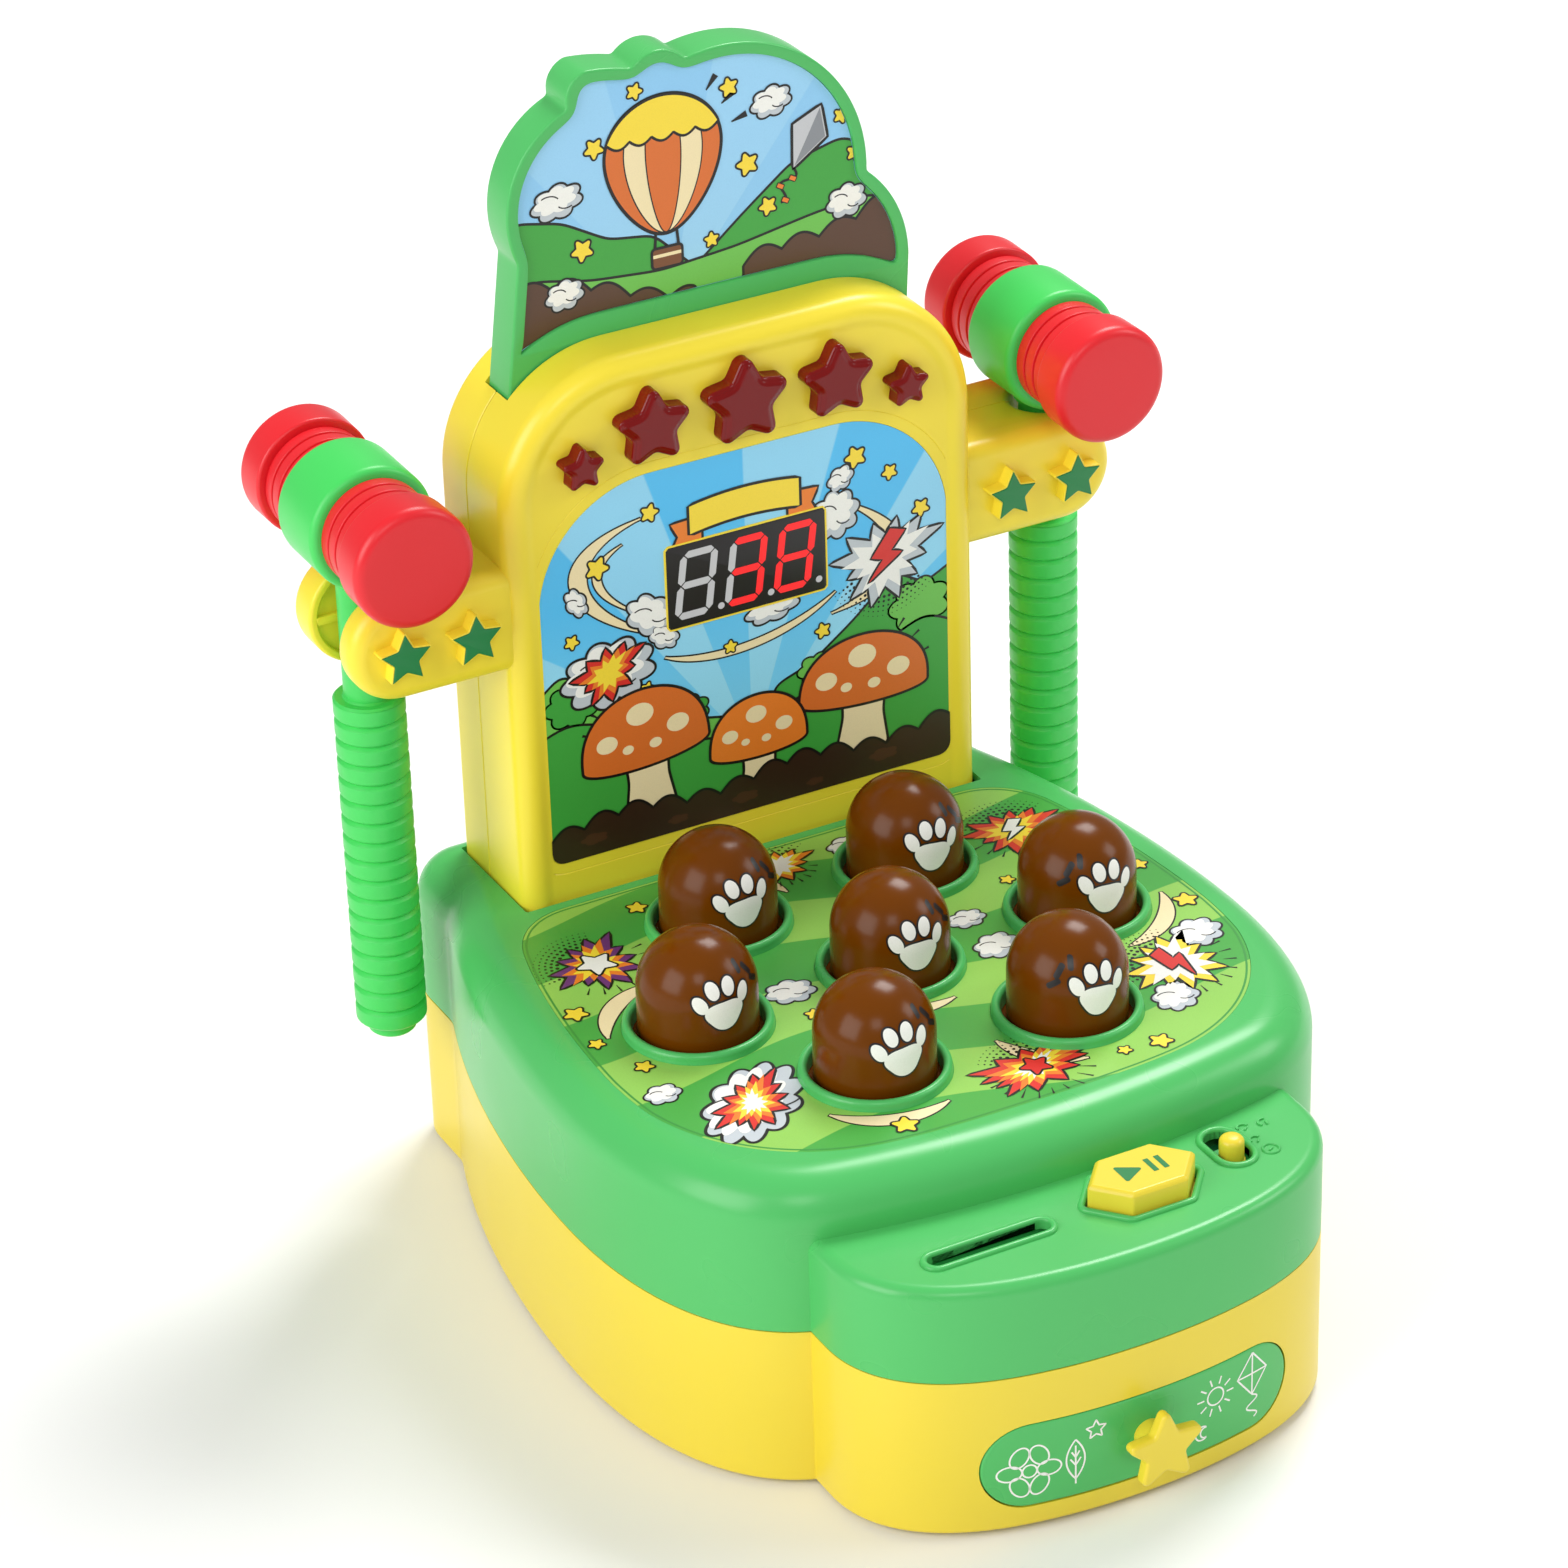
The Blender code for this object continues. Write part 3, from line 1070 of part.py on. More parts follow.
def score_label(sky):
    return plate("score_label", [panel_outline(0.0), display_outline(GAP)], PANEL_Y,
                 PANEL_Y + PANEL_THICKNESS, sky, PARTS, upright=True)


def display_board_front():
    return PANEL_Y + DISPLAY_DEPTH + GAP


def display_parts(black, board_green):
    plate("digit_display", [display_outline(0.0)], PANEL_Y, PANEL_Y + DISPLAY_DEPTH, black, PARTS,
          upright=True)
    low = FIELD_Z + DISPLAY_BOARD_Z - DISPLAY_BOARD_HEIGHT / 2
    front = display_board_front()
    box("display_board", (-DISPLAY_BOARD_WIDTH / 2, front, low),
        (DISPLAY_BOARD_WIDTH / 2, front + BOARD_THICKNESS, low + DISPLAY_BOARD_HEIGHT), board_green, PARTS)


def display_posts():
    """Posts from the front wall to the display board."""
    x = DISPLAY_BOARD_WIDTH / 2 - BOSS_INSET
    middle = FIELD_Z + DISPLAY_BOARD_Z
    reach = DISPLAY_BOARD_HEIGHT / 2 - BOSS_INSET
    return [plate("display_post_%d" % (k + 1), [circle(a * x, middle - reach * b, BOSS_RADIUS, 10)],
                  TOWER_FRONT + FACE_WALL - GAP, display_board_front() - GAP, upright=True)
            for k, (a, b) in enumerate(POST_SHARES)]


def lamp_places():
    return [(x * TOWER_HALF_WIDTH, TOWER_HEIGHT - drop * TOWER_CORNER, radius * LAMP_RADIUS)
            for x, drop, radius in LAMP_SHARES]


def lamp_star(x, z, radius):
    return star(x, FIELD_Z + z, radius, LAMP_VALLEY_SHARE)


def star_lamps(red):
    back = TOWER_FRONT + FACE_WALL + GAP
    for k, (x, z, radius) in enumerate(lamp_places()):
        lamp = plate("star_lamp_%d" % (k + 1), [lamp_star(x, z, radius)], PANEL_Y - LAMP_RISE,
                     back + LAMP_BACK, red, PARTS, upright=True, rounding=LAMP_ROUNDING / 2, steps=1)
        fuse(lamp, plate("lamp_flange_%d" % (k + 1), [lamp_star(x, z, radius + LAMP_FLANGE)], back,
                         back + LAMP_BACK * 2, upright=True))
        smooth(lamp)


# Picture plate

def picture_panel(name, shrink, front, rear, slot=None, where=None):
    """Follows the lobes above and the tower's arch below."""
    panel = plate(name, [inset(plate_outline(), PLATE_RIM + shrink)], front, rear, slot, where, upright=True)
    cut(panel, plate(name + "_arch", [tower_outline(-PLATE_SILL - shrink, FIELD_Z)], front - OVERRUN,
                     rear + OVERRUN, upright=True))
    return panel


def picture_plate(green, sky):
    rear = PLATE_FRONT + PLATE_THICKNESS
    outline = plate_outline()
    foot = FIELD_Z + PLATE_CORNER_Z - PLATE_TENON
    left, right = outline[0][0], outline[-1][0]
    frame = plate("picture_frame", [[(left, foot)] + outline + [(right, foot)]], PLATE_FRONT, rear, green,
                  PARTS, upright=True)
    cut(frame, picture_panel("picture_seat", 0.0, PLATE_FRONT - OVERRUN, PLATE_FRONT + PLATE_RECESS))
    smooth(frame)
    front = PLATE_FRONT + PLATE_RECESS - PANEL_THICKNESS - GAP
    picture_panel("picture_label", GAP, front, front + PANEL_THICKNESS, sky, PARTS)


# Hammers

def handle_profile():
    """From the collar down to the plug in the grip's end; z = 0 is the head's axis."""
    grip_end = -HANDLE_LENGTH + PLUG_LENGTH
    grip_top = grip_end + GRIP_LENGTH
    points = [(0.0, -COLLAR_RADIUS / 2), (NECK_RADIUS, -COLLAR_RADIUS / 2), (NECK_RADIUS, grip_top)]
    pitch = GRIP_LENGTH / GRIP_RIBS
    for k in range(GRIP_RIBS):
        top = grip_top - pitch * k
        points += [(GRIP_RADIUS - GRIP_GROOVE, top), (GRIP_RADIUS, top - pitch / 2)]
    points += [(GRIP_RADIUS - GRIP_GROOVE, grip_end), (PLUG_RADIUS, grip_end), (PLUG_RADIUS, -HANDLE_LENGTH),
               (0.0, -HANDLE_LENGTH)]
    return points


def bellows_profile():
    """Along the head's axis, from the flat striking face in to the spigot; z = 0 is the head's middle."""
    face = HEAD_HALF_LENGTH
    start = COLLAR_LENGTH / 2 + GAP
    ribs_end = start + BELLOWS_RIBS * BELLOWS_RIB
    soft = HEAD_CAP_ROUNDING
    points = [(0.0, face), (HEAD_CAP_RADIUS - soft, face), (HEAD_CAP_RADIUS - soft * 0.3, face - soft * 0.3),
              (HEAD_CAP_RADIUS, face - soft), (HEAD_CAP_RADIUS, ribs_end + soft / 2),
              (BELLOWS_RADIUS - BELLOWS_GROOVE, ribs_end)]
    for k in range(BELLOWS_RIBS):
        top = ribs_end - k * BELLOWS_RIB
        points += [(BELLOWS_RADIUS, top - BELLOWS_RIB * 0.35), (BELLOWS_RADIUS, top - BELLOWS_RIB * 0.75)]
        if k < BELLOWS_RIBS - 1:
            points.append((BELLOWS_RADIUS - BELLOWS_GROOVE, top - BELLOWS_RIB))
    bore = SPIGOT_RADIUS - BELLOWS_WALL
    points += [(BELLOWS_RADIUS, start), (SPIGOT_RADIUS, start), (SPIGOT_RADIUS, start - SPIGOT_LENGTH),
               (bore, start - SPIGOT_LENGTH), (bore, face - BELLOWS_WALL), (0.0, face - BELLOWS_WALL)]
    return points


def hammer(side_name, side, green, red):
    x = side * HAMMER_X
    handle = turned("hammer_handle_" + side_name, handle_profile(), FINE, green, PARTS)
    handle.location = (x, NOTCH_Y, HAMMER_Z)
    half = COLLAR_LENGTH / 2
    bore = SPIGOT_RADIUS + GAP
    collar = plate("collar_" + side_name, [circle(0.0, 0.0, COLLAR_RADIUS, ROUND)],
                   -half, half, upright=True, rounding=COLLAR_ROUNDING)
    collar.location = handle.location
    fuse(handle, collar)
    hole = plate("collar_bore_" + side_name, [circle(0.0, 0.0, bore, FINE)], -half - OVERRUN,
                 half + OVERRUN, upright=True)
    hole.location = handle.location
    cut(handle, hole)
    smooth(handle)
    for name, way in (("front", 1), ("rear", -1)):
        bellows = turned("hammer_bellows_%s_%s" % (side_name, name), bellows_profile(), FINE, red, PARTS)
        bellows.rotation_euler = (way * pi / 2, 0.0, 0.0)
        bellows.location = handle.location
        smooth(bellows)


def centre_all():
    """Hang every piece and cutter on one empty that puts the origin under the middle."""
    front = CONSOLE_FRONT + GAP + STAR_KNOB_STAND + STAR_KNOB_THICKNESS
    rear = NOTCH_Y + HEAD_HALF_LENGTH
    root = bpy.data.objects.new("toy", None)
    bpy.context.scene.collection.objects.link(root)
    root.location = (0.0, (front - rear) / 2, 0.0)
    for made in list(PARTS.objects) + list(CUTTERS.objects):
        made.parent = root


clear_scene()
PARTS = collection("mole_pounding_game")
CUTTERS = collection("cutters")
YELLOW = material("yellow_plastic", (0.89, 0.72, 0.08), 0.32)
GREEN = material("green_plastic", (0.08, 0.55, 0.15), 0.32)
HAMMER_GREEN = material("hammer_green", (0.10, 0.62, 0.13), 0.4)
HAMMER_RED = material("hammer_red", (0.72, 0.02, 0.03), 0.4)
MOLE_BROWN = material("mole_brown", (0.16, 0.05, 0.01), 0.15)
LAMP_RED = material("lamp_red", (0.25, 0.01, 0.015), 0.15)
BADGE_GREEN = material("badge_green", (0.01, 0.25, 0.08), 0.4)
FIELD_PRINT = material("field_print", (0.18, 0.48, 0.09), 0.5)
SKY_PRINT = material("sky_print", (0.25, 0.62, 0.9), 0.5)
DISPLAY_BLACK = material("display_black", (0.01, 0.01, 0.012), 0.2)
BOARD_GREEN = material("board_green", (0.02, 0.2, 0.08), 0.5)
STEEL = material("spring_steel", (0.55, 0.56, 0.58), 0.3, metallic=1.0)
RUBBER = material("foot_rubber", (0.03, 0.03, 0.03), 0.8)
CELL_BLUE = material("cell_wrap", (0.05, 0.12, 0.4), 0.4)
SPEAKER_DARK = material("speaker_dark", (0.04, 0.04, 0.045), 0.6)
PALE_PLASTIC = material("pale_plastic", (0.75, 0.75, 0.72), 0.5)

lower_casing(YELLOW)
upper_casing(GREEN)
field_label(FIELD_PRINT)
moles(MOLE_BROWN)
springs(STEEL)
main_board(BOARD_GREEN)
play_button(YELLOW)
slide_knob(YELLOW)
control_board(BOARD_GREEN)
coin_chute(PALE_PLASTIC)
coin_drawer(GREEN)
drawer_knob(YELLOW)
power(YELLOW, CELL_BLUE, STEEL)
speaker(SPEAKER_DARK)
feet(RUBBER)
tower_front(YELLOW)
tower_rear(YELLOW)
badges(BADGE_GREEN)
score_label(SKY_PRINT)
display_parts(DISPLAY_BLACK, BOARD_GREEN)
star_lamps(LAMP_RED)
picture_plate(GREEN, SKY_PRINT)
hammer("left", -1, HAMMER_GREEN, HAMMER_RED)
hammer("right", 1, HAMMER_GREEN, HAMMER_RED)
centre_all()
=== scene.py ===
import math
import bmesh
import bpy
import numpy as np
from mathutils import Matrix, Vector
from mathutils.geometry import delaunay_2d_cdt


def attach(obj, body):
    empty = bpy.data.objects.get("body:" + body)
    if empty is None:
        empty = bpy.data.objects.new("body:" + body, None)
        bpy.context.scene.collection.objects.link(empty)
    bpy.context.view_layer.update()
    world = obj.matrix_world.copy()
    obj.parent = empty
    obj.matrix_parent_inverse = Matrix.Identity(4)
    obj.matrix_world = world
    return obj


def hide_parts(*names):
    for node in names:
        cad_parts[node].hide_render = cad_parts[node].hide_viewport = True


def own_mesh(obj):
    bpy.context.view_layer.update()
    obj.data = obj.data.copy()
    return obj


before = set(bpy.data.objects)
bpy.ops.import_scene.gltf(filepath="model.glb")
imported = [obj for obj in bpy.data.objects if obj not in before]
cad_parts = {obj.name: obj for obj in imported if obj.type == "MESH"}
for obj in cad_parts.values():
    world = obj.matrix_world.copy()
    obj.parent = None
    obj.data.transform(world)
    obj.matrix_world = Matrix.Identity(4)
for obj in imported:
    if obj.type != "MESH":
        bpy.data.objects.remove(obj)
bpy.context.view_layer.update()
print("frame loaded")

# Sizes are in millimetres and count y from the middle mole; frameShift moves them into the frame
mm, perMetre = 0.001, 1000
frameShift = np.array([0, 3.65, 0])
fieldZ = 96.5
seamZ = 51

cameraView = {
    "azimuth": -27.476, "elevation": 29.369, "roll": -1.82,
    "focalPixels": 5574.566, "imagePixels": 1568, "distance": 1567.006,
    "slideX": 29.988, "slideY": -50.895, "sensor": 36, "clipStart": 0.05,
}


link = bpy.context.scene.collection.objects.link


# Links a camera or lamp whose own x, y and z axes and place are given
def hang(name, data, *columns):
    holder = bpy.data.objects.new(name, data)
    matrix = np.eye(4)
    matrix[:3] = np.stack(columns, axis=1)
    holder.matrix_world = Matrix(matrix.tolist())
    link(holder)
    return holder


# The photo's viewing angle: the camera looks at the field's middle from azimuth and elevation, is rolled
# about its own axis, then slides sideways and up until the toy stands where the photo has it
def placeCamera(view):
    az, el, roll = (math.radians(view[k]) for k in ("azimuth", "elevation", "roll"))
    right = np.array([math.cos(az), math.sin(az), 0])
    ahead = np.array([-math.sin(az) * math.cos(el), math.cos(az) * math.cos(el), -math.sin(el)])
    up = np.cross(right, ahead)
    sideways = right * math.cos(roll) + up * math.sin(roll)
    upwards = up * math.cos(roll) - right * math.sin(roll)
    spot = -ahead * view["distance"] - sideways * view["slideX"] - upwards * view["slideY"]
    spot = (spot + frameShift + [0, 0, fieldZ]) * mm
    made = bpy.data.cameras.new("photoCamera")
    made.sensor_width = view["sensor"]
    made.lens = view["focalPixels"] / view["imagePixels"] * view["sensor"]
    made.clip_start = view["clipStart"]
    bpy.context.scene.camera = hang("photoCamera", made, sideways, upwards, -ahead, spot)


placeCamera(cameraView)
bpy.context.scene.view_settings.view_transform = "Standard"
print("camera placed")


# Colours as read in the photo, 0 to 255, made linear
def colour(red, green, blue):
    share = np.array([red, green, blue]) / 255
    linear = np.where(share <= 0.04045, share / 12.92, ((share + 0.055) / 1.055) ** 2.4)
    return tuple(linear.tolist()) + (1,)


def scaled(tone, factor):
    return tuple(min(1, channel * factor) for channel in tone[:3]) + (1,)


def addNode(tree, kind, settings=(), **inputs):
    made = tree.nodes.new(kind)
    for key, value in dict(settings).items():
        setattr(made, key, value)
    for key, value in inputs.items():
        socket = made.inputs[int(key[1:])] if key[0] == "i" and key[1:].isdigit() else made.inputs[key]
        if isinstance(value, bpy.types.NodeSocket):
            tree.links.new(value, socket)
        else:
            socket.default_value = value
    return made


def calc(tree, operation, a, b=0, c=0):
    return addNode(tree, "ShaderNodeMath", {"operation": operation}, i0=a, i1=b, i2=c).outputs[0]


def blendTones(tree, share, first, second):
    mixed = addNode(tree, "ShaderNodeMix", {"data_type": "RGBA"}, i0=share, i6=first, i7=second)
    return mixed.outputs[2]


def noise(tree, place, scale, detail=1):
    return addNode(tree, "ShaderNodeTexNoise", i0=place, Scale=scale, Detail=detail).outputs[0]


def startMaterial(name):
    made = bpy.data.materials.new(name)
    made.use_nodes = True
    tree = made.node_tree
    return made, tree, tree.nodes["Principled BSDF"], tree.nodes.new("ShaderNodeTexCoord").outputs["Object"]


# Patterns on Object coordinates, in cells per metre, and the skins' heights in metres
pattern = {"drift": 40, "cloud": 12, "inkDots": 2600, "brushed": 600, "plasticSkin": 900,
           "inkSkin": 500, "metalSkin": 1500, "bump": 0.35}
skinDepth = {"ink": 0.00002, "metal": 0.00001, "rubber": 0.00008}
roughSpread = {"plain": 0.02, "metal": 0.05}


# Fine surface: a noise turns the roughness a little, and another lifts the skin by microns
def addSkin(tree, shader, place, roughness, grain, depth, spread=roughSpread["plain"]):
    drift = noise(tree, place, pattern["drift"])
    scaledRoughness = addNode(tree, "ShaderNodeMapRange", i0=drift, i1=0.3, i2=0.7,
                              i3=roughness - spread, i4=roughness + spread).outputs[0]
    tree.links.new(scaledRoughness, shader.inputs["Roughness"])
    if not depth:
        return
    skin = noise(tree, place, grain, 2)
    bump = addNode(tree, "ShaderNodeBump", Strength=pattern["bump"], Distance=depth, Height=skin).outputs[0]
    tree.links.new(bump, shader.inputs["Normal"])


# Moulded plastic in the tone of its own name, which drifts by a few percent over centimetres
def plastic(name, roughness, drift=0.03, depth=0, coat=0, glow=0, gloss=0.5):
    made, tree, shader, place = startMaterial(name)
    tone = tones[name]
    cloud = noise(tree, place, pattern["cloud"])
    mixed = blendTones(tree, cloud, scaled(tone, 1 - drift), scaled(tone, 1 + drift))
    tree.links.new(mixed, shader.inputs["Base Color"])
    if coat:
        shader.inputs["Coat Weight"].default_value = coat
        shader.inputs["Coat Roughness"].default_value = 0.08
    shader.inputs["Specular IOR Level"].default_value = gloss
    if glow:
        shader.inputs["Emission Color"].default_value = tone
        shader.inputs["Emission Strength"].default_value = glow
    addSkin(tree, shader, place, roughness, pattern["plasticSkin"], depth)
    return made


# Printed vinyl: very fine dots of ink, a little lighter and darker
def inkDots(tree, place):
    return addNode(tree, "ShaderNodeTexVoronoi", i0=place, Scale=pattern["inkDots"]).outputs[0]


def ink(name, tone, roughness=0.34):
    made, tree, shader, place = startMaterial(name)
    mixed = blendTones(tree, inkDots(tree, place), scaled(tone, 1.02), scaled(tone, 0.96))
    tree.links.new(mixed, shader.inputs["Base Color"])
    addSkin(tree, shader, place, roughness, pattern["inkSkin"], skinDepth["ink"])
    return made


def metal(name, tone, roughness=0.28):
    made, tree, shader, place = startMaterial(name)
    brushed = noise(tree, place, pattern["brushed"], 2)
    mixed = blendTones(tree, brushed, scaled(tone, 0.92), scaled(tone, 1.04))
    tree.links.new(mixed, shader.inputs["Base Color"])
    shader.inputs["Metallic"].default_value = 1
    addSkin(tree, shader, place, roughness, pattern["metalSkin"], skinDepth["metal"], roughSpread["metal"])
    return made


# Two tones parted by the sign of a wave that is given as a socket; the edge stays crisp
def parted(tree, wave, first, second, softness=0.02):
    share = addNode(tree, "ShaderNodeMapRange", i0=wave, i1=-softness, i2=softness, i3=0, i4=1)
    return blendTones(tree, share.outputs[0], first, second)


# A sheet's printed ground with fine dots of another tone over it
def finishSheet(tree, shader, place, ground, dotTone, dotShare):
    dots = calc(tree, "MULTIPLY", inkDots(tree, place), dotShare)
    tree.links.new(blendTones(tree, dots, ground, dotTone), shader.inputs["Base Color"])
    addSkin(tree, shader, place, 0.3, pattern["inkSkin"], skinDepth["ink"])


# Mown bands on the field: sin(y / band + lean * x + bend * sin(x / sway)) parts the light grass from the dark
def grassPrint(name, light, dark, band, sway, bend, lean):
    made, tree, shader, place = startMaterial(name)
    split = addNode(tree, "ShaderNodeSeparateXYZ", i0=place)
    across = calc(tree, "SINE", calc(tree, "MULTIPLY", split.outputs[0], perMetre / sway))
    along = calc(tree, "MULTIPLY", split.outputs[1], perMetre / band)
    leaning = calc(tree, "MULTIPLY_ADD", split.outputs[0], lean, along)
    wave = calc(tree, "SINE", calc(tree, "MULTIPLY_ADD", across, bend, leaning))
    finishSheet(tree, shader, place, parted(tree, wave, light, dark), (0.02, 0.08, 0.01, 1), 0.08)
    return made


# Sky with rays: sin(rays * angle) about a low centre parts two blues, paler towards the horizon
def skyPrint(name, high, low, centreX, centreZ, rays, horizon):
    made, tree, shader, place = startMaterial(name)
    split = addNode(tree, "ShaderNodeSeparateXYZ", i0=place)
    across = calc(tree, "SUBTRACT", split.outputs[0], centreX * mm)
    up = calc(tree, "SUBTRACT", split.outputs[2], centreZ * mm)
    angle = calc(tree, "ARCTAN2", up, across)
    wave = calc(tree, "SINE", calc(tree, "MULTIPLY", angle, rays))
    rayed = parted(tree, wave, high, low, 0.03)
    near = addNode(tree, "ShaderNodeMapRange", i0=up, i1=horizon * mm, i2=0, i3=0, i4=0.55).outputs[0]
    pale = blendTones(tree, near, rayed, scaled(low, 1.25))
    finishSheet(tree, shader, place, pale, (0.05, 0.2, 0.4, 1), 0.06)
    return made


tones = {name: colour(*value) for name, value in {
    "casingGreen": (80, 187, 99), "casingYellow": (234, 210, 56), "towerLitYellow": (247, 224, 58),
    "moleBrown": (106, 54, 0), "hammerGreen": (66, 208, 92), "hammerRed": (226, 28, 38),
    "lampRed": (120, 8, 8), "badgeGreen": (22, 128, 66), "grassLight": (150, 208, 92),
    "grassDark": (74, 172, 70), "skyHigh": (84, 196, 250), "skyLow": (150, 220, 252), "hill": (62, 166, 62),
    "hillLight": (110, 195, 80), "soil": (52, 33, 20), "plateSkyHigh": (146, 206, 246),
    "plateSkyLow": (158, 214, 249), "plateSoil": (88, 58, 40), "white": (246, 246, 240),
    "cream": (246, 228, 180), "black": (14, 12, 12), "starYellow": (252, 222, 60), "orange": (240, 130, 40),
    "fire": (222, 44, 38), "displayBlack": (26, 22, 24), "boardGreen": (20, 110, 60),
    "footRubber": (46, 46, 48), "cellWrap": (40, 80, 160), "speakerDark": (40, 40, 44),
    "chuteGreen": (52, 172, 84), "shade": (196, 204, 210), "toadstool": (222, 112, 40),
    "purple": (112, 48, 120), "grey": (140, 144, 150), "greyLight": (200, 202, 206), "wicker": (122, 72, 36),
    "lumps": (74, 44, 27), "bandDark": (58, 150, 62), "digitRed": (232, 24, 30), "digitOff": (205, 205, 208),
}.items()}

green = plastic("casingGreen", 0.29, gloss=0.4)
yellow = plastic("casingYellow", 0.33)
# the tower's yellow is the casing yellow made lighter: painted light, standing in for the tower being more
# brightly lit than the lower casing
towerLitYellow = plastic("towerLitYellow", 0.33)
hammerGreen = plastic("hammerGreen", 0.38)
hammerRed = plastic("hammerRed", 0.36)
moleBrown = plastic("moleBrown", 0.22, gloss=0.18)
lampRed = plastic("lampRed", 0.15, coat=0.15, gloss=0.25)
badgeGreen = plastic("badgeGreen", 0.38)
grass = grassPrint("fieldGrass", tones["grassLight"], tones["grassDark"], band=7.4, sway=21, bend=0.9, lean=7)
scoreSky = skyPrint("scoreSky", tones["skyHigh"], tones["skyLow"], centreX=0, centreZ=128, rays=10, horizon=60)
plateSky = skyPrint("plateSky", tones["plateSkyHigh"], tones["plateSkyLow"], centreX=-12, centreZ=262, rays=7,
                    horizon=20)
inks = {key: ink("ink" + key[0].upper() + key[1:], tones[key]) for key in (
    "white", "cream", "black", "starYellow", "orange", "fire", "hill", "hillLight", "soil", "plateSoil",
    "badgeGreen", "shade", "toadstool", "purple", "grey", "greyLight", "wicker", "lumps", "bandDark")}
displayBlack = plastic("displayBlack", 0.4)
digitRed = plastic("digitRed", 0.35, glow=0.45)
digitOff = plastic("digitOff", 0.35)
boardGreen = plastic("boardGreen", 0.45)
steel = metal("springSteel", (0.62, 0.62, 0.64, 1))
rubber = plastic("footRubber", 0.8, depth=skinDepth["rubber"])
cellWrap = plastic("cellWrap", 0.35)
speakerDark = plastic("speakerDark", 0.6)
chuteGreen = plastic("chuteGreen", 0.5)
print("materials made")


# Outlines: arrays of (a, b), anticlockwise
def cubic(start, first, second, end, steps=40):
    t = np.linspace(0, 1, steps + 1)[1:, None]
    start, first, second, end = (np.array(p, float) for p in (start, first, second, end))
    return start * (1 - t) ** 3 + first * 3 * t * (1 - t) ** 2 + second * 3 * t * t * (1 - t) + end * t ** 3


def resampled(points, count):
    ring = np.vstack([points, points[:1]])
    along = np.concatenate([[0], np.cumsum(np.hypot(*np.diff(ring, axis=0).T))])
    wanted = np.linspace(0, along[-1], count, endpoint=False)
    return np.stack([np.interp(wanted, along, ring[:, k]) for k in (0, 1)], axis=1)


# Each point goes to the mean of its neighbours, which takes the crease out of a corner
def softened(points, rounds):
    for _ in range(rounds):
        points = (np.roll(points, 1, 0) + points * 2 + np.roll(points, -1, 0)) / 4
    return points


def unitWays(turns):
    return np.stack([np.cos(turns), np.sin(turns)], axis=1)


def area(points):
    after = np.roll(points, -1, 0)
    return float(np.sum(points[:, 0] * after[:, 1] - after[:, 0] * points[:, 1])) / 2


def anticlockwise(points):
    return points if area(points) > 0 else points[::-1]


# Half an outline given as shares of its half width and of its rear or front, mirrored in x
def shareOutline(shares, halfWidth, rear, front, count, rounds=2):
    def place(share):
        return np.array([share[0] * halfWidth, share[1] * (rear if share[1] > 0 else front)])
    half = np.array([[0, rear]])
    for piece in shares:
        targets = [place(share) for share in piece]
        if len(targets) == 1:
            steps = np.linspace(0, 1, 41)[1:, None]
            half = np.vstack([half, half[-1] + (targets[0] - half[-1]) * steps])
        else:
            half = np.vstack([half, cubic(half[-1], *targets)])
    whole = np.vstack([half, half[-2:0:-1] * [-1, 1]])
    return softened(resampled(anticlockwise(whole), count), rounds)


def outwardNormals(points):
    along = np.roll(points, -1, 0) - np.roll(points, 1, 0)
    along /= np.linalg.norm(along, axis=1, keepdims=True)
    return np.stack([along[:, 1], -along[:, 0]], axis=1)


# Moves an outline in by a distance; points that land too near the outline are spread between their
# neighbours, so tight corners don't cross
def inset(points, distance):
    if abs(distance) < 1e-9:
        return points
    moved = points - outwardNormals(points) * distance
    if distance < 0:
        return moved
    reach = np.sqrt(((moved[:, None, :] - points[None, :, :]) ** 2).sum(-1)).min(1)
    share, slack = 0.985, 0.02
    good = reach > distance * share - slack
    if good.all() or not good.any():
        return moved
    index = np.arange(len(points))
    kept = index[good]
    wrapped = np.concatenate([kept - len(points), kept, kept + len(points)])
    return np.stack([np.interp(index, wrapped, np.tile(moved[good][:, k], 3)) for k in (0, 1)], axis=1)


# The points of one outline that lie in the same directions from a centre as those of another; inside keeps
# them that much within the other
def matchedByAngle(points, like, centre, inside=None):
    centre = np.array(centre, float)
    angle = np.unwrap(np.arctan2(*(points - centre).T[::-1]))
    radius = np.linalg.norm(points - centre, axis=1)
    if angle[-1] < angle[0]:
        angle, radius = angle[::-1], radius[::-1]
    wanted = np.arctan2(*(like - centre).T[::-1])
    turn = 2 * np.pi
    wanted = (wanted - angle[0]) % turn + angle[0]
    around = np.concatenate([angle, angle[:1] + turn])
    found = np.interp(wanted, around, np.concatenate([radius, radius[:1]]))
    if inside is not None:
        found = np.minimum(found, np.linalg.norm(like - centre, axis=1) - inside)
    return centre + unitWays(wanted) * found[:, None]


def circleOutline(x, y, radius, count=64, phase=0):
    turn = np.linspace(0, 2 * np.pi, count, endpoint=False) + phase
    return np.stack([x + radius * np.cos(turn), y + radius * np.sin(turn)], axis=1)


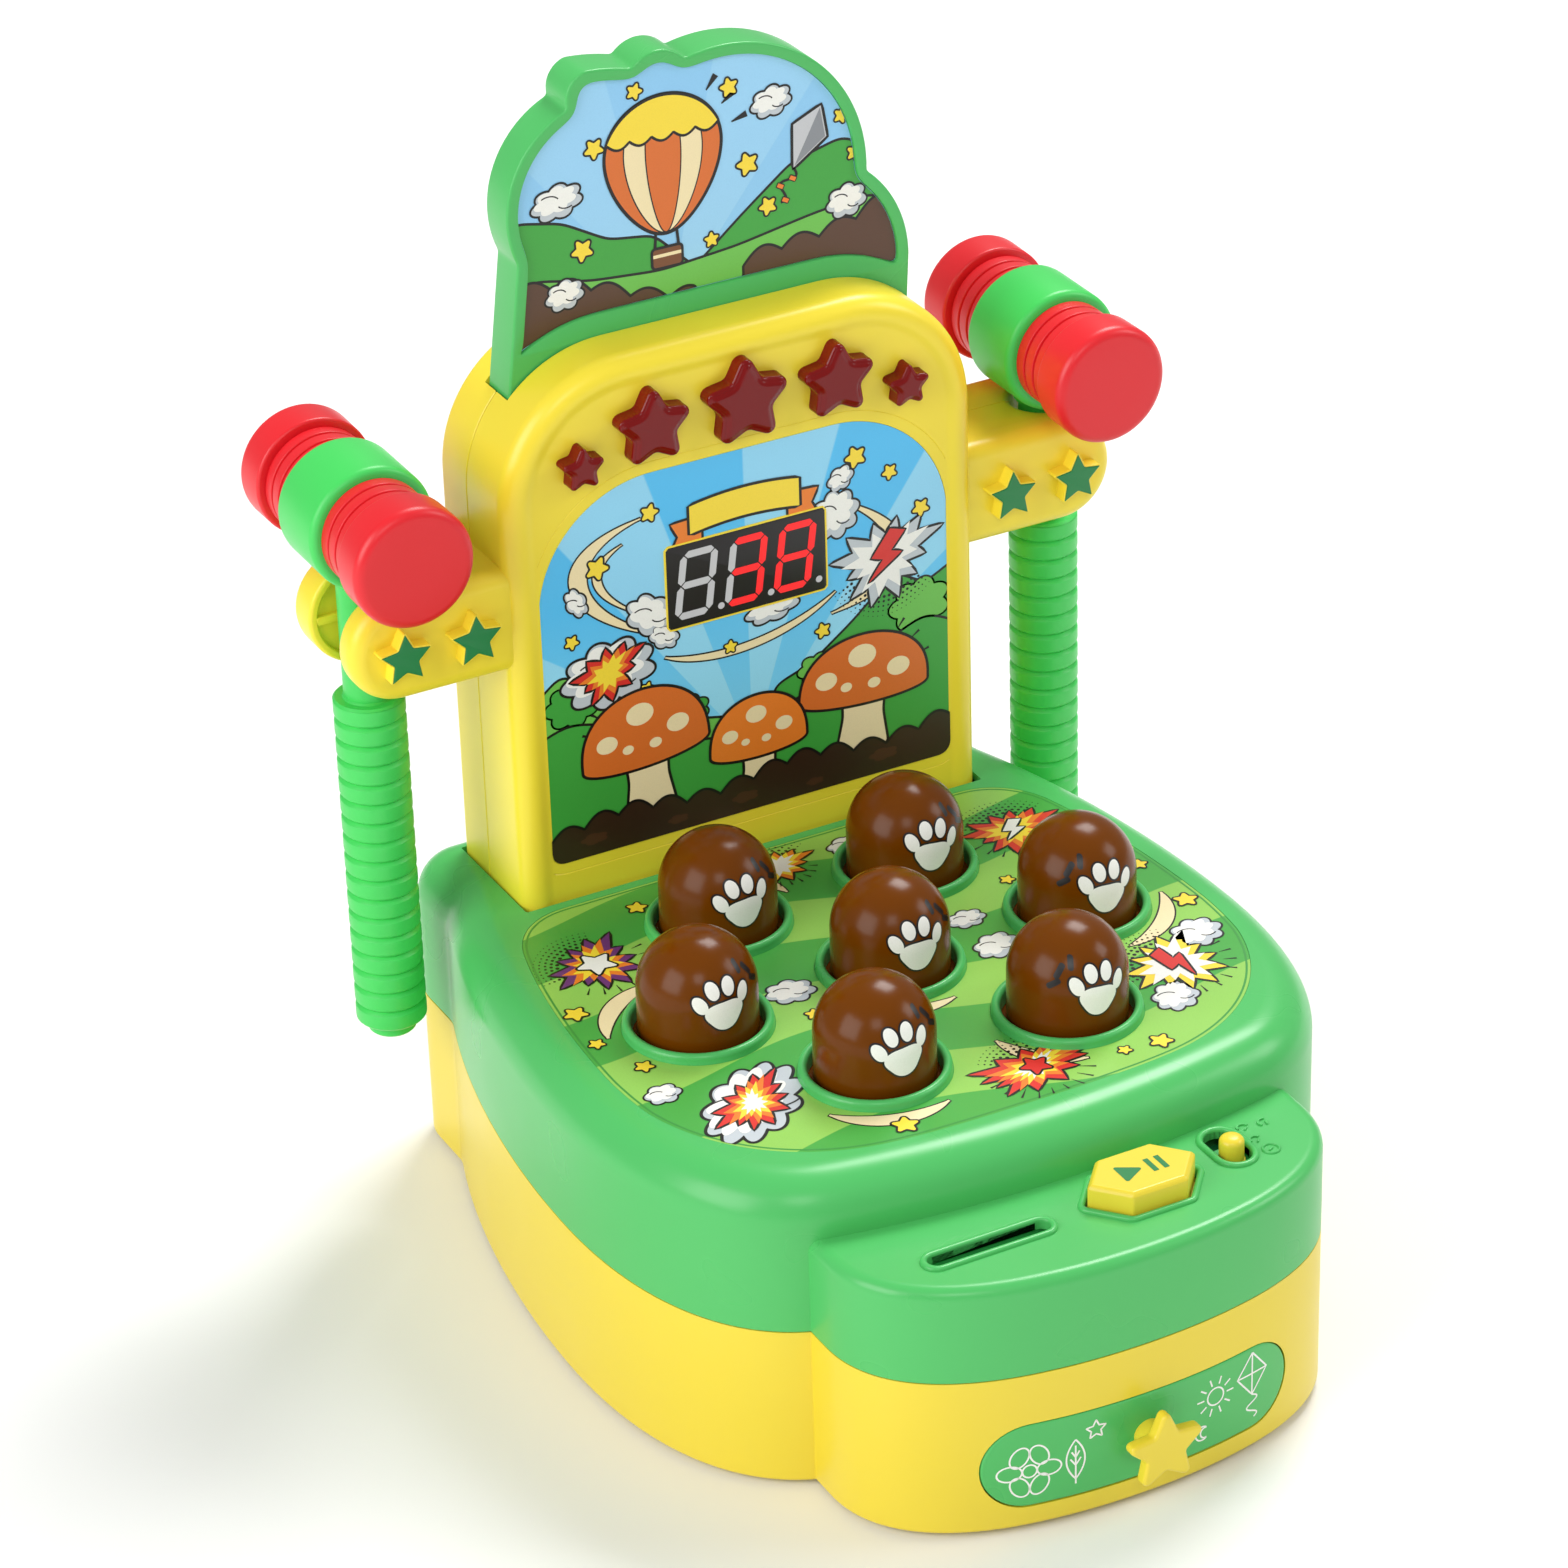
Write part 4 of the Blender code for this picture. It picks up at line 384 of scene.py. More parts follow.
# A corner's arc touches both sides at radius / tan(half the corner); a sharp or straight corner has none
def cornerArc(here, before, after, radius, steps, straight=-0.9999):
    before, after = before - here, after - here
    before /= np.linalg.norm(before)
    after /= np.linalg.norm(after)
    cosine = float(np.clip(before @ after, -1, 1))
    if not radius or cosine < straight:
        return here[None, :]
    half = math.acos(cosine) / 2
    reach = radius / math.tan(half)
    centre = here + (before + after) / np.linalg.norm(before + after) * radius / math.sin(half)
    first, last = (math.atan2(*(here + way * reach - centre)[::-1]) for way in (before, after))
    turn = first + ((last - first + math.pi) % (2 * math.pi) - math.pi) * np.linspace(0, 1, steps + 1)
    return centre + radius * unitWays(turn)


def roundedPolygon(corners, radii, steps=8):
    corners = anticlockwise(np.array(corners, float))
    radii = np.broadcast_to(np.asarray(radii, float), (len(corners),))
    return np.vstack([cornerArc(here, corners[k - 1], corners[(k + 1) % len(corners)], radii[k], steps)
                      for k, here in enumerate(corners)])


# An open (radius, level) line with its corners replaced by arcs
def roundedProfile(corners, radii, steps=6):
    corners = np.array(corners, float)
    arcs = [cornerArc(corners[k], corners[k - 1], corners[k + 1], radii[k], steps)
            for k in range(1, len(corners) - 1)]
    return np.vstack([corners[:1]] + arcs + [corners[-1:]])


def rectangleOutline(x0, x1, y0, y1, radius=0):
    corners = [(x0, y0), (x1, y0), (x1, y1), (x0, y1)]
    return roundedPolygon(corners, radius, 6) if radius else np.array(corners, float)


def stadiumOutline(halfLength, radius, x=0, y=0, upright=False, steps=20):
    side = halfLength - radius
    turn = np.linspace(-np.pi / 2, np.pi / 2, steps + 1)
    right = np.stack([side + radius * np.cos(turn), radius * np.sin(turn)], axis=1)
    both = np.vstack([right, -right])
    if upright:
        both = np.stack([-both[:, 1], both[:, 0]], axis=1)
    return both + [x, y]


# Five points; tip and valley radii of the rounding in millimetres
def starOutline(x, y, radius, valley=0.5, tipRound=0.6, valleyRound=0.2, turn=0):
    angle = np.pi / 2 + turn + np.arange(10) * np.pi / 5
    reach = np.where(np.arange(10) % 2 == 0, radius + tipRound * 0.9, radius * valley)
    corners = np.stack([x + reach * np.cos(angle), y + reach * np.sin(angle)], axis=1)
    return roundedPolygon(corners, np.where(np.arange(10) % 2 == 0, tipRound, valleyRound), 5)


def turned(points, spin, x=0, y=0):
    points = np.array(points, float)
    return points @ np.array([[math.cos(spin), math.sin(spin)], [-math.sin(spin), math.cos(spin)]]) + [x, y]


# Surfaces are (points, faces) pairs in millimetres. Rows of points are joined by quads; columns close on
# themselves, rows only where asked, and an end takes one n-gon
def loft(rows, capLow=False, capHigh=False, wrapRows=False, closed=True):
    rows = np.asarray(rows, float)
    count, width = rows.shape[:2]
    r = np.arange(count if wrapRows else count - 1)[:, None]
    c = np.arange(width if closed else width - 1)[None, :]
    r2, c2 = (r + 1) % count, (c + 1) % width
    quads = np.stack(np.broadcast_arrays(r * width + c, r * width + c2, r2 * width + c2, r2 * width + c), -1)
    faces = quads.reshape(-1, 4).tolist()
    if capLow:
        faces.append(list(range(width - 1, -1, -1)))
    if capHigh:
        faces.append([(count - 1) * width + k for k in range(width)])
    return rows.reshape(-1, 3), faces


def raised(outline, level):
    return np.column_stack([outline, np.full(len(outline), float(level))])


# One outline carried up through (inset, level) pairs
def stacked(outline, steps, **ends):
    return loft(np.array([raised(inset(outline, distance), level) for distance, level in steps]), **ends)


def solid(outline, steps):
    return stacked(outline, steps, capLow=True, capHigh=True)


# Quarter round from a side to a top: inset radius (1 - cos t), level top - radius (1 - sin t)
def rounding(radius, top, steps=8, start=0, low=False):
    t = np.linspace(0, np.pi / 2, steps + 1)
    pairs = [(start + radius * (1 - math.cos(v)), top - radius * (1 - math.sin(v))) for v in t]
    return [(a, 2 * top - b) for a, b in pairs[::-1]] if low else pairs


def joined(*surfaces):
    points, faces, start = [], [], 0
    for some, ring in surfaces:
        points.append(some)
        faces += [[k + start for k in face] for face in ring]
        start += len(some)
    return np.vstack(points), faces


def flipped(surface):
    return surface[0], [face[::-1] for face in surface[1]]


def moved(surface, x=0, y=0, z=0):
    return surface[0] + [x, y, z], surface[1]


# Stands a surface up: its second axis becomes z and its third looks to the front
def upright(surface):
    points = surface[0]
    return np.column_stack([points[:, 0], -points[:, 2], points[:, 1]]), surface[1]


def mirrored(surface):
    return surface[0] * [-1, 1, 1], [face[::-1] for face in surface[1]]


# A (radius, level) profile turned about the third axis; outer sides run upwards
def lathe(profile, count=96, wrapRows=False):
    profile = np.array(profile, float)
    turn = np.linspace(0, 2 * np.pi, count, endpoint=False)
    rows = np.stack([profile[:, :1] * np.cos(turn), profile[:, :1] * np.sin(turn),
                     np.repeat(profile[:, 1:], count, axis=1)], axis=-1)
    return loft(rows, wrapRows=wrapRows)


# A scratch mesh's points and faces; the mesh is removed
def emptied(mesh):
    points = np.empty(len(mesh.vertices) * 3)
    mesh.vertices.foreach_get("co", points)
    faces = [list(face.vertices) for face in mesh.polygons]
    bpy.data.meshes.remove(mesh)
    return points.reshape(-1, 3) * perMetre, faces


# A flat sheet with holes, filled by a 2D curve; it faces up
def filled(loops, level):
    curve = bpy.data.curves.new("fill", "CURVE")
    curve.dimensions = "2D"
    curve.fill_mode = "BOTH"
    for loop in loops:
        spline = curve.splines.new("POLY")
        spline.points.add(len(loop) - 1)
        spline.points.foreach_set("co", np.column_stack([loop * mm, np.zeros((len(loop), 1)),
                                                         np.ones((len(loop), 1))]).ravel())
        spline.use_cyclic_u = True
    holder = bpy.data.objects.new("fill", curve)
    link(holder)
    bpy.context.view_layer.update()
    graph = bpy.context.evaluated_depsgraph_get()
    points, faces = emptied(bpy.data.meshes.new_from_object(holder.evaluated_get(graph)))
    if faces:
        a, b, c = (points[faces[0][k]] for k in range(3))
        if np.cross(b - a, c - a)[2] < 0:
            faces = [face[::-1] for face in faces]
    bpy.data.objects.remove(holder)
    bpy.data.curves.remove(curve)
    points[:, 2] = level
    return points, faces


# A strip between two outlines with the same number of points
def between(first, second):
    return loft(np.array([first, second]))


# A sheet with holes and thickness: top, underside and the walls of its holes and rim
def slab(loops, low, high):
    parts = [filled(loops, high), flipped(filled(loops, low))]
    for k, loop in enumerate(loops):
        loop = anticlockwise(loop)
        wall = between(raised(loop, low), raised(loop, high))
        parts.append(wall if k == 0 else flipped(wall))
    return joined(*parts)


def makePiece(name, surface, materials, body, standsFor=(), slots=None, smooth=True, sharp=32):
    points, faces = surface
    mesh = bpy.data.meshes.new(name)
    mesh.from_pydata(((points + frameShift) * mm).tolist(), [], faces)
    if not isinstance(materials, (list, tuple)):
        materials = [materials]
    for one in materials:
        mesh.materials.append(one)
    if slots is not None:
        mesh.polygons.foreach_set("material_index", np.asarray(slots, np.int32))
    welded = bmesh.new()
    welded.from_mesh(mesh)
    bmesh.ops.remove_doubles(welded, verts=welded.verts, dist=2e-6)
    bmesh.ops.dissolve_degenerate(welded, dist=1e-6, edges=welded.edges)
    welded.to_mesh(mesh)
    welded.free()
    mesh.polygons.foreach_set("use_smooth", np.full(len(mesh.polygons), smooth))
    if smooth:
        mesh.set_sharp_from_angle(angle=math.radians(sharp))
    made = bpy.data.objects.new(name, mesh)
    link(made)
    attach(made, body)
    if standsFor:
        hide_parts(*standsFor)
    return made


# Takes a closed cutter's room out of a closed surface
def cutSurface(surface, cutter):
    holders = []
    for points, faces in (surface, cutter):
        mesh = bpy.data.meshes.new("work")
        mesh.from_pydata((points * mm).tolist(), [], faces)
        holders.append(bpy.data.objects.new("work", mesh))
        link(holders[-1])
    step = holders[0].modifiers.new("cut", "BOOLEAN")
    step.operation = "DIFFERENCE"
    step.solver = "EXACT"
    step.object = holders[1]
    bpy.context.view_layer.update()
    graph = bpy.context.evaluated_depsgraph_get()
    left = emptied(bpy.data.meshes.new_from_object(holders[0].evaluated_get(graph)))
    for holder in holders:
        bpy.data.meshes.remove(holder.data)
    return left


def block(x0, x1, y0, y1, z0, z1, radius=0):
    return solid(rectangleOutline(x0, x1, y0, y1, radius), [(0, z0), (0, z1)])


# Base casing
casing = {
    "halfWidth": 109, "rear": 134, "front": 97.5, "bottom": 1.8, "wall": 2.2, "rounding": 13,
    "bottomRounding": 1.5, "gap": 0.3, "lip": 0.12, "deckLow": 94, "deckHigh": 95.9, "shoulderDrop": 10.8,
    "columns": 640,
    "shares": (((0.697, 1),), ((0.768, 1), (0.826, 0.953), (0.826, 0.896)), ((0.826, 0.769),),
               ((0.945, 0.507), (1, 0.187), (1, -0.103)), ((1, -0.513), (0.89, -0.862), (0.624, -0.928)),
               ((0.459, -0.969), (0.229, -1), (0, -1))),
}
console = {
    "halfWidth": 75, "back": -60, "front": 138.5, "top": 80.5, "rounding": 3.6, "columns": 520,
    "shares": (((1, 1),), ((1, -0.70),), ((1, -0.866), (0.733, -0.953), (0.4, -0.982)),
               ((0.27, -0.995), (0.13, -1), (0, -1))),
}
label = {
    "halfWidth": 95.5, "rear": 76, "front": 81.5, "top": 96.42, "thickness": 0.3, "columns": 400,
    "shares": (((0.68, 1),), ((0.80, 1), (0.885, 0.89), (0.91, 0.737)),
               ((0.963, 0.5), (1.005, 0.066), (1, -0.245)),
               ((0.995, -0.613), (0.785, -0.945), (0.419, -0.982)), ((0.31, -0.997), (0.157, -1), (0, -1))),
}
moles = {
    "pitchX": 30.5, "pitchY": 45.7, "rows": ((-1, (-1, 1)), (0, (-2, 0, 2)), (1, (-1, 1))),
    "ringRadius": 21.2, "ringWall": 2.6, "ringRise": 2.8, "radius": 17, "rise": 29.8, "wall": 1.8,
    "flange": 20.3, "flangeTop": -2.8, "flangeThickness": 1.5, "plunger": 3.5, "plungerEnd": -22.5,
    "plungerTop": 14.6,
    "seat": 9, "seatTop": -5, "seatLow": -6.5, "travel": 7, "ringBead": 1.5, "ringLow": -2.5,
    "ringSkirt": 1, "ringFoot": ((0.25, -0.4), (0.22, 0.1), (0.05, 0.4)), "holeInRing": 1.6,
}
towerSocket = {"halfX": 75.4, "front": 78.9, "rear": 122.6, "low": 85, "high": 100, "corner": 0.8}
molePlaces = [(column * moles["pitchX"], row * moles["pitchY"])
              for row, columns in moles["rows"] for column in columns]


def sheetOutline(size, rear, rounds=2):
    return shareOutline(size["shares"], size["halfWidth"], size[rear], size["front"], size["columns"], rounds)


bodyOutline = sheetOutline(casing, "rear")
consoleOutline = sheetOutline(console, "back", 3)
labelOutline = sheetOutline(label, "rear")


def flatEdge(level, steps, support=0.25):
    return steps + [(steps[-1][0] + support, level)]


# Upper body: a quarter round from the wall to the top, flat in to the label's seat, then down and out
# again inside, so the shell closes on itself
def upperBodySurface():
    low, deck = seamZ + casing["gap"], casing["deckLow"]
    lip, wall, shoulder = casing["lip"], casing["wall"], casing["rounding"]
    outer = [(lip, low), (0, low + lip)] + rounding(shoulder, fieldZ, 16)
    rows = [raised(softened(inset(bodyOutline, d), 1), z) for d, z in flatEdge(fieldZ, outer, 0.15)]
    edge = rows[-1][:, :2]
    seat = matchedByAngle(labelOutline, edge, (0, 0), inside=0.25)
    rows += [raised(seat, fieldZ), raised(seat, fieldZ - lip), raised(seat, deck)]
    inner = [(shoulder, deck)] + [(wall + (shoulder - wall) * (1 - math.sin(t)),
                                   deck - casing["shoulderDrop"] * (1 - math.cos(t))) for t in (0.5, 1, 1.5708)]
    rows += [raised(softened(inset(bodyOutline, d), 1), z) for d, z in inner]
    rows.append(raised(inset(bodyOutline, wall), low))
    return loft(np.array(rows), wrapRows=True), seat


upperBody, seatEdge = upperBodySurface()
# the tower's foot stands in a socket that leaves a fine gap round it
upperBody = cutSurface(upperBody, block(-towerSocket["halfX"], towerSocket["halfX"], towerSocket["front"],
                                        towerSocket["rear"], towerSocket["low"], towerSocket["high"],
                                        towerSocket["corner"]))
deckHoles = [circleOutline(x, y, moles["ringRadius"] - moles["holeInRing"], 64) for x, y in molePlaces]
deck = slab([inset(seatEdge, -0.4)] + deckHoles, casing["deckLow"], casing["deckHigh"])


# A ring is a bead: straight sides and a half ellipse over them, with a soft foot outside
def ringProfile():
    outer, width, high = moles["ringRadius"], moles["ringWall"], moles["ringRise"]
    inner, low, bead, skirt = outer - width, moles["ringLow"], moles["ringBead"], outer - moles["ringSkirt"]
    foot = [(outer + reach, level) for reach, level in moles["ringFoot"]]
    crown = [((outer + inner) / 2 + width / 2 * math.cos(v), high - bead + bead * math.sin(v))
             for v in np.linspace(0, np.pi, 15)]
    return foot + crown + [(inner, low), (skirt, low), (skirt, foot[0][1])]


rings = [moved(lathe(ringProfile(), 96, wrapRows=True), x, y, fieldZ) for x, y in molePlaces]

# Console top with its three openings
controls = {
    "coin": {"x": -34.7, "y": -114.3, "halfLength": 18.5, "halfWidth": 2.6},
    "button": {"x": 13.5, "y": -112.5, "halfLength": 17, "halfWidth": 10, "flat": 8.5, "clearance": 0.6,
               "rise": 7, "chamfer": 1.1, "corner": 0.9, "holeCorner": 1.2, "flange": 2, "flangeCorner": 1.5,
               "stem": 3.5, "stemLow": 68.9},
    "slide": {"x": 44.2, "y": -107, "halfLength": 8.5, "halfWidth": 4.6, "knobY": -109, "knob": 3.5,
              "rise": 5.2, "dome": 2.1, "low": 76.8, "foot": 0.35, "shutter": (6.5, 5.8), "shutterLow": 76.5,
              "shutterHigh": 77.5},
    "rimWidth": 2, "rimRise": 1.1, "rimRoot": 0.6,
}


def hexagonOutline(grow, corner):
    size = controls["button"]
    length, width = size["halfLength"] + grow * math.sqrt(2), size["halfWidth"] + grow
    flat = size["flat"] * length / size["halfLength"]
    corners = [(length, 0), (flat, width), (-flat, width), (-length, 0), (-flat, -width), (flat, -width)]
    return roundedPolygon(np.array(corners) + [size["x"], size["y"]], corner, 8)


coinHole = stadiumOutline(controls["coin"]["halfLength"], controls["coin"]["halfWidth"],
                          controls["coin"]["x"], controls["coin"]["y"])
buttonHole = hexagonOutline(controls["button"]["clearance"], controls["button"]["holeCorner"])
slideHole = stadiumOutline(controls["slide"]["halfLength"], controls["slide"]["halfWidth"],
                           controls["slide"]["x"], controls["slide"]["y"], upright=True)


def upperConsoleSurface():
    low, top, wall = seamZ + casing["gap"], console["top"], casing["wall"]
    lip = casing["lip"]
    steps = [(lip, low), (0, low + lip)] + rounding(console["rounding"], top, 8)
    outside = np.array([raised(inset(consoleOutline, d), z) for d, z in flatEdge(top, steps, 0.3)])
    inside = np.array([raised(inset(consoleOutline, wall), z) for z in (top - wall, low)])
    holes = [coinHole, buttonHole, slideHole]
    parts = [loft(outside), loft(inside), between(inside[-1], outside[0]),
             filled([outside[-1][:, :2]] + holes, top), flipped(filled([inside[0][:, :2]] + holes, top - wall))]
    parts += [between(raised(hole, top), raised(hole, top - wall)) for hole in map(anticlockwise, holes)]
    return joined(*parts)


# A rim is a half ellipse bead that stands round an opening
def rimSurface(outline, level):
    width, rise = controls["rimWidth"], controls["rimRise"]
    t = np.linspace(0, np.pi, 11)
    steps = [(-width / 2 * (1 + math.cos(v)), level + rise * math.sin(v) ** 0.75) for v in t]
    steps = [(steps[0][0], level - controls["rimRoot"])] + steps + [(0, level - casing["wall"])]
    outline = anticlockwise(outline)
    return loft(np.array([raised(inset(resampled(outline, 160), d), z) for d, z in steps]), wrapRows=True)


rims = [rimSurface(hole, console["top"]) for hole in (coinHole, buttonHole, slideHole)]


def bar(x, y, halfLength, halfWidth, low, high, turn=0):
    outline = turned(stadiumOutline(halfLength, halfWidth, steps=8), turn, x, y)
    return solid(outline, [(0, low)] + rounding(halfWidth * 0.7, high, 4))


# The two sides of an open line drawn with a pen of a given width
def penSides(points, width):
    points = np.array(points, float)
    along = np.gradient(points, axis=0)
    along /= np.linalg.norm(along, axis=1, keepdims=True) + 1e-12
    side = np.stack([-along[:, 1], along[:, 0]], axis=1) * width / 2
    return points - side, points + side


def strokeOutline(points, width):
    right, left = penSides(points, width)
    return np.vstack([right, left[::-1]])


# Raised marks beside the slide switch: a ring with a bar in it, then three half rings, each over a short bar
switchMarks = {
    "low": -0.5, "top": 0.5, "ring": (54, -113.5, 2.3), "tube": (0.38, 0.55), "ringBar": (1, 0.35, 0.5),
    "arcs": ((52.8, -106.8, 0.4), (53, -100.1, 0.2), (59.5, -100.5, 0.9)), "arcRadius": 1.7, "arcDrop": 0.8,
    "arcWidth": 0.75, "arcEnd": 0.1, "bar": (0.9, 0.33, 0.5), "barShift": (0.4, -1.5),
}


def switchMarkSurfaces():
    size = switchMarks
    low, top = console["top"] + size["low"], console["top"] + size["top"]
    x, y, radius = size["ring"]
    wide, high = size["tube"]
    tube = circleOutline(0, 0, 1, 10) * [wide, high] + [radius, 0]
    length, width, lean = size["ringBar"]
    ring = moved(lathe(tube, 40, wrapRows=True), x, y, console["top"])
    marks = [ring, bar(x, y, length, width, low, top, lean)]
    length, width, lean = size["bar"]
    for x, y, spin in size["arcs"]:
        turns = np.linspace(size["arcEnd"], np.pi - size["arcEnd"], 14) + spin
        path = np.column_stack([x + size["arcRadius"] * np.cos(turns),
                                y - size["arcDrop"] + size["arcRadius"] * np.sin(turns)])
        marks.append(solid(anticlockwise(strokeOutline(path, size["arcWidth"])), [(0, low), (0, top)]))
        x, y = x + size["barShift"][0], y + size["barShift"][1]
        marks.append(bar(x, y, length, width, low, top, spin + lean))
    return marks


makePiece("upperCasing", joined(upperBody, deck, *rings, upperConsoleSurface(), *rims, *switchMarkSurfaces()),
          green, "base", ["base_upper_casing"])
print("upper casing made")

# Lower casing: hollow, with the door's opening and the speaker's grille in its floor
underside = {
    "doorHalfX": 29.3, "doorFront": -8.3, "doorRear": 48.3, "doorCorner": 1, "grilleY": 96, "grilleRing": 10,
    "grilleHole": 1.7, "grilleCount": 8, "floor": 4, "consoleStep": 0.04,
    "trayRoom": (-38, 38, -110, -80, 7.5, 36.5), "drawerRoom": (118.5, 145),
}


def grilleHoleOutlines(size):
    turns = np.arange(size["grilleCount"]) * 2 * np.pi / size["grilleCount"]
    places = [(0, 0)] + [(size["grilleRing"] * math.cos(t), size["grilleRing"] * math.sin(t)) for t in turns]
    return [circleOutline(x, size["grilleY"] + y, size["grilleHole"], 24) for x, y in places]


doorHole = rectangleOutline(-underside["doorHalfX"], underside["doorHalfX"], underside["doorFront"],
                            underside["doorRear"], underside["doorCorner"])


def hollowBase(outline, bottom, holes):
    floor, wall, lip = underside["floor"], casing["wall"], casing["lip"]
    low = rounding(casing["bottomRounding"], bottom, 6, low=True)
    steps = [(low[0][0] + 0.25, bottom)] + low + [(0, seamZ - lip), (lip, seamZ)]
    outside = np.array([raised(inset(outline, d), z) for d, z in steps])
    inside = np.array([raised(inset(outline, wall), z) for z in (seamZ, floor)])
    parts = [loft(outside), between(outside[-1], inside[0]), loft(inside)]
    parts += [flipped(filled([outside[0][:, :2]] + holes, bottom)), filled([inside[-1][:, :2]] + holes, floor)]
    parts += [flipped(between(raised(hole, bottom), raised(hole, floor))) for hole in map(anticlockwise, holes)]
    return joined(*parts)


drawer = {
    "z": 21.8, "halfLength": 48, "halfHeight": 13.2, "face": 3, "gap": 0.35, "trayHalfWidth": 36,
    "trayLow": 9, "trayHigh": 33, "trayFront": -133, "trayBack": -64, "trayWall": 1.8, "trayCorner": 2,
    "starRadius": 12.4, "starValley": 0.52, "starTips": (1.5, 1.2), "starThickness": 4, "front": 138.8,
    "stand": 5.5, "stem": 4.5, "stemRoot": 138.4, "starRounding": 1, "faceEdge": 0.8, "penWidth": 0.5,
    "printRise": 0.05,
}
lowerBody = cutSurface(hollowBase(bodyOutline, casing["bottom"], [doorHole] + grilleHoleOutlines(underside)),
                       block(*underside["trayRoom"]))
drawerHole = stadiumOutline(drawer["halfLength"] + drawer["gap"], drawer["halfHeight"] + drawer["gap"], 0,
                            drawer["z"])
lowerConsole = cutSurface(hollowBase(consoleOutline, casing["bottom"] + underside["consoleStep"], []),
                          upright(solid(drawerHole, [(0, level) for level in underside["drawerRoom"]])))
makePiece("lowerCasing", joined(lowerBody, lowerConsole), yellow, "base", ["base_lower_casing"])
print("lower casing made")

# Field label
labelHoles = [circleOutline(x, y, moles["ringRadius"] + 0.3, 72) for x, y in molePlaces]
fieldSheet = slab([inset(seatEdge, 0.12)] + labelHoles, label["top"] - label["thickness"], label["top"])
makePiece("fieldLabel", fieldSheet, grass, "base", ["field_label"])


# Prints: flat shapes laid over each other a few hundredths of a millimetre apart
def polarOutline(x, y, radius, turns, width=1, height=1, spin=0):
    reach = radius(turns)
    shape = np.stack([reach * np.cos(turns) * width, reach * np.sin(turns) * height], axis=1)
    return turned(shape, spin, x, y)


allTurns = np.linspace(0, 2 * np.pi, 180, endpoint=False)


# A cloud's edge is a row of arcs: radius 1 + depth |sin(lobes t / 2)|
def cloudOutline(x, y, width, height, lobes=7, depth=0.28, spin=0):
    return polarOutline(x, y, lambda t: (1 + depth * np.abs(np.sin(lobes * t / 2))) / (1 + depth), allTurns,
                        width / 2, height / 2, spin)


# A burst's edge steps between an inner and an outer radius, with its points uneven by a slow wave
def burstOutline(x, y, radius, points=11, inner=0.55, squash=0.8, spin=0, uneven=0.16):
    k = np.arange(points * 2)
    angle = k * np.pi / points
    wave = 1 + uneven * np.sin(angle * 3 + 1) + uneven * 0.5 * np.cos(angle * 5)
    reach = np.where(k % 2 == 0, 1, inner) * radius * wave
    return turned(np.stack([reach * np.cos(angle), reach * np.sin(angle) * squash], axis=1), spin, x, y)


# A shape over the same shape grown by its dark edge
def outlinedShape(outline, tone, level, edge=0.6, edgeTone="black"):
    outline = anticlockwise(np.asarray(outline, float))
    fewPoints, pointEvery = 60, 1.2
    if len(outline) < fewPoints:
        # long straight sides get points of their own, so that they bend with the edge they meet
        after = np.roll(outline, -1, 0)
        counts = np.maximum(1, (np.hypot(*(after - outline).T) / pointEvery).astype(int))
        outline = np.vstack([np.linspace(*pair, count, endpoint=False)
                             for *pair, count in zip(outline, after, counts)])
    return [(inset(outline, -edge), edgeTone, level), (outline, tone, level + 1)]


# Flat triangles inside an outline; lines that cross are cut where they meet
def triangles(outline):
    corners = [Vector(point) for point in anticlockwise(outline).tolist()]
    points, _, faces = delaunay_2d_cdt(corners, [], [list(range(len(corners)))], 1, 1e-4)[:3]
    return np.array([point[:] for point in points]), [list(face) for face in faces]


# A print's shapes are (outline, tone, level); place turns flat points and a height above the sheet into space,
# and keep holds points inside the sheet
def printPiece(name, shapes, place, body, lift=0.03, base=0.03, keep=None, **extra):
    used = sorted({tone for _, tone, _ in shapes})
    surfaces, slots = [], []
    for outline, tone, level in shapes:
        outline = np.asarray(outline, float)
        points, faces = triangles(keep(anticlockwise(outline)) if keep else outline)
        surfaces.append((place(points, base + lift * level), faces))
        slots += [used.index(tone)] * len(faces)
    return makePiece(name, joined(*surfaces), [inks.get(tone) or otherInks[tone] for tone in used], body,
                     slots=slots, smooth=False, **extra)


otherInks = {"digitRed": digitRed, "digitOff": digitOff}


def onField(points, height):
    return raised(points, label["top"] + height)


# Points of a shape beyond an edge slide back along the line to a centre
def keptInside(outline, edge, centre=(0, 0), margin=0.6):
    limit = np.linalg.norm(matchedByAngle(edge, outline, centre) - centre, axis=1) - margin
    away = outline - np.array(centre)
    reach = np.linalg.norm(away, axis=1)
    return centre + away * np.minimum(1, limit / np.maximum(reach, 1e-6))[:, None]


def ellipseLine(x, y, width, height, start=0, end=2 * np.pi, spin=0, count=40):
    t = np.linspace(start, end, count)
    return turned(np.stack([width * np.cos(t), height * np.sin(t)], axis=1), spin, x, y)


# Drawn things are short lists of shapes; each has a dark edge and lighter layers over it
def drawnCloud(x, y, width, height, lobes=8, spin=0, level=2):
    light = cloudOutline(x - width * 0.03, y + height * 0.07, width * 0.84, height * 0.78, lobes, 0.28, spin)
    edge = 0.45 + 0.012 * width
    shapes = outlinedShape(cloudOutline(x, y, width, height, lobes, 0.28, spin), "shade", level, edge)
    shapes.append((light, "white", level + 2))
    # two curls inside
    for a, b, size, start in ((-0.16, 0.02, 0.2, 0.4), (0.17, -0.06, 0.16, 3.6)):
        curl = ellipseLine(x + a * width, y + b * height, size * width, size * height, start, start + 1.9)
        shapes.append((strokeOutline(curl, edge * 0.6), "black", level + 3))
    return shapes


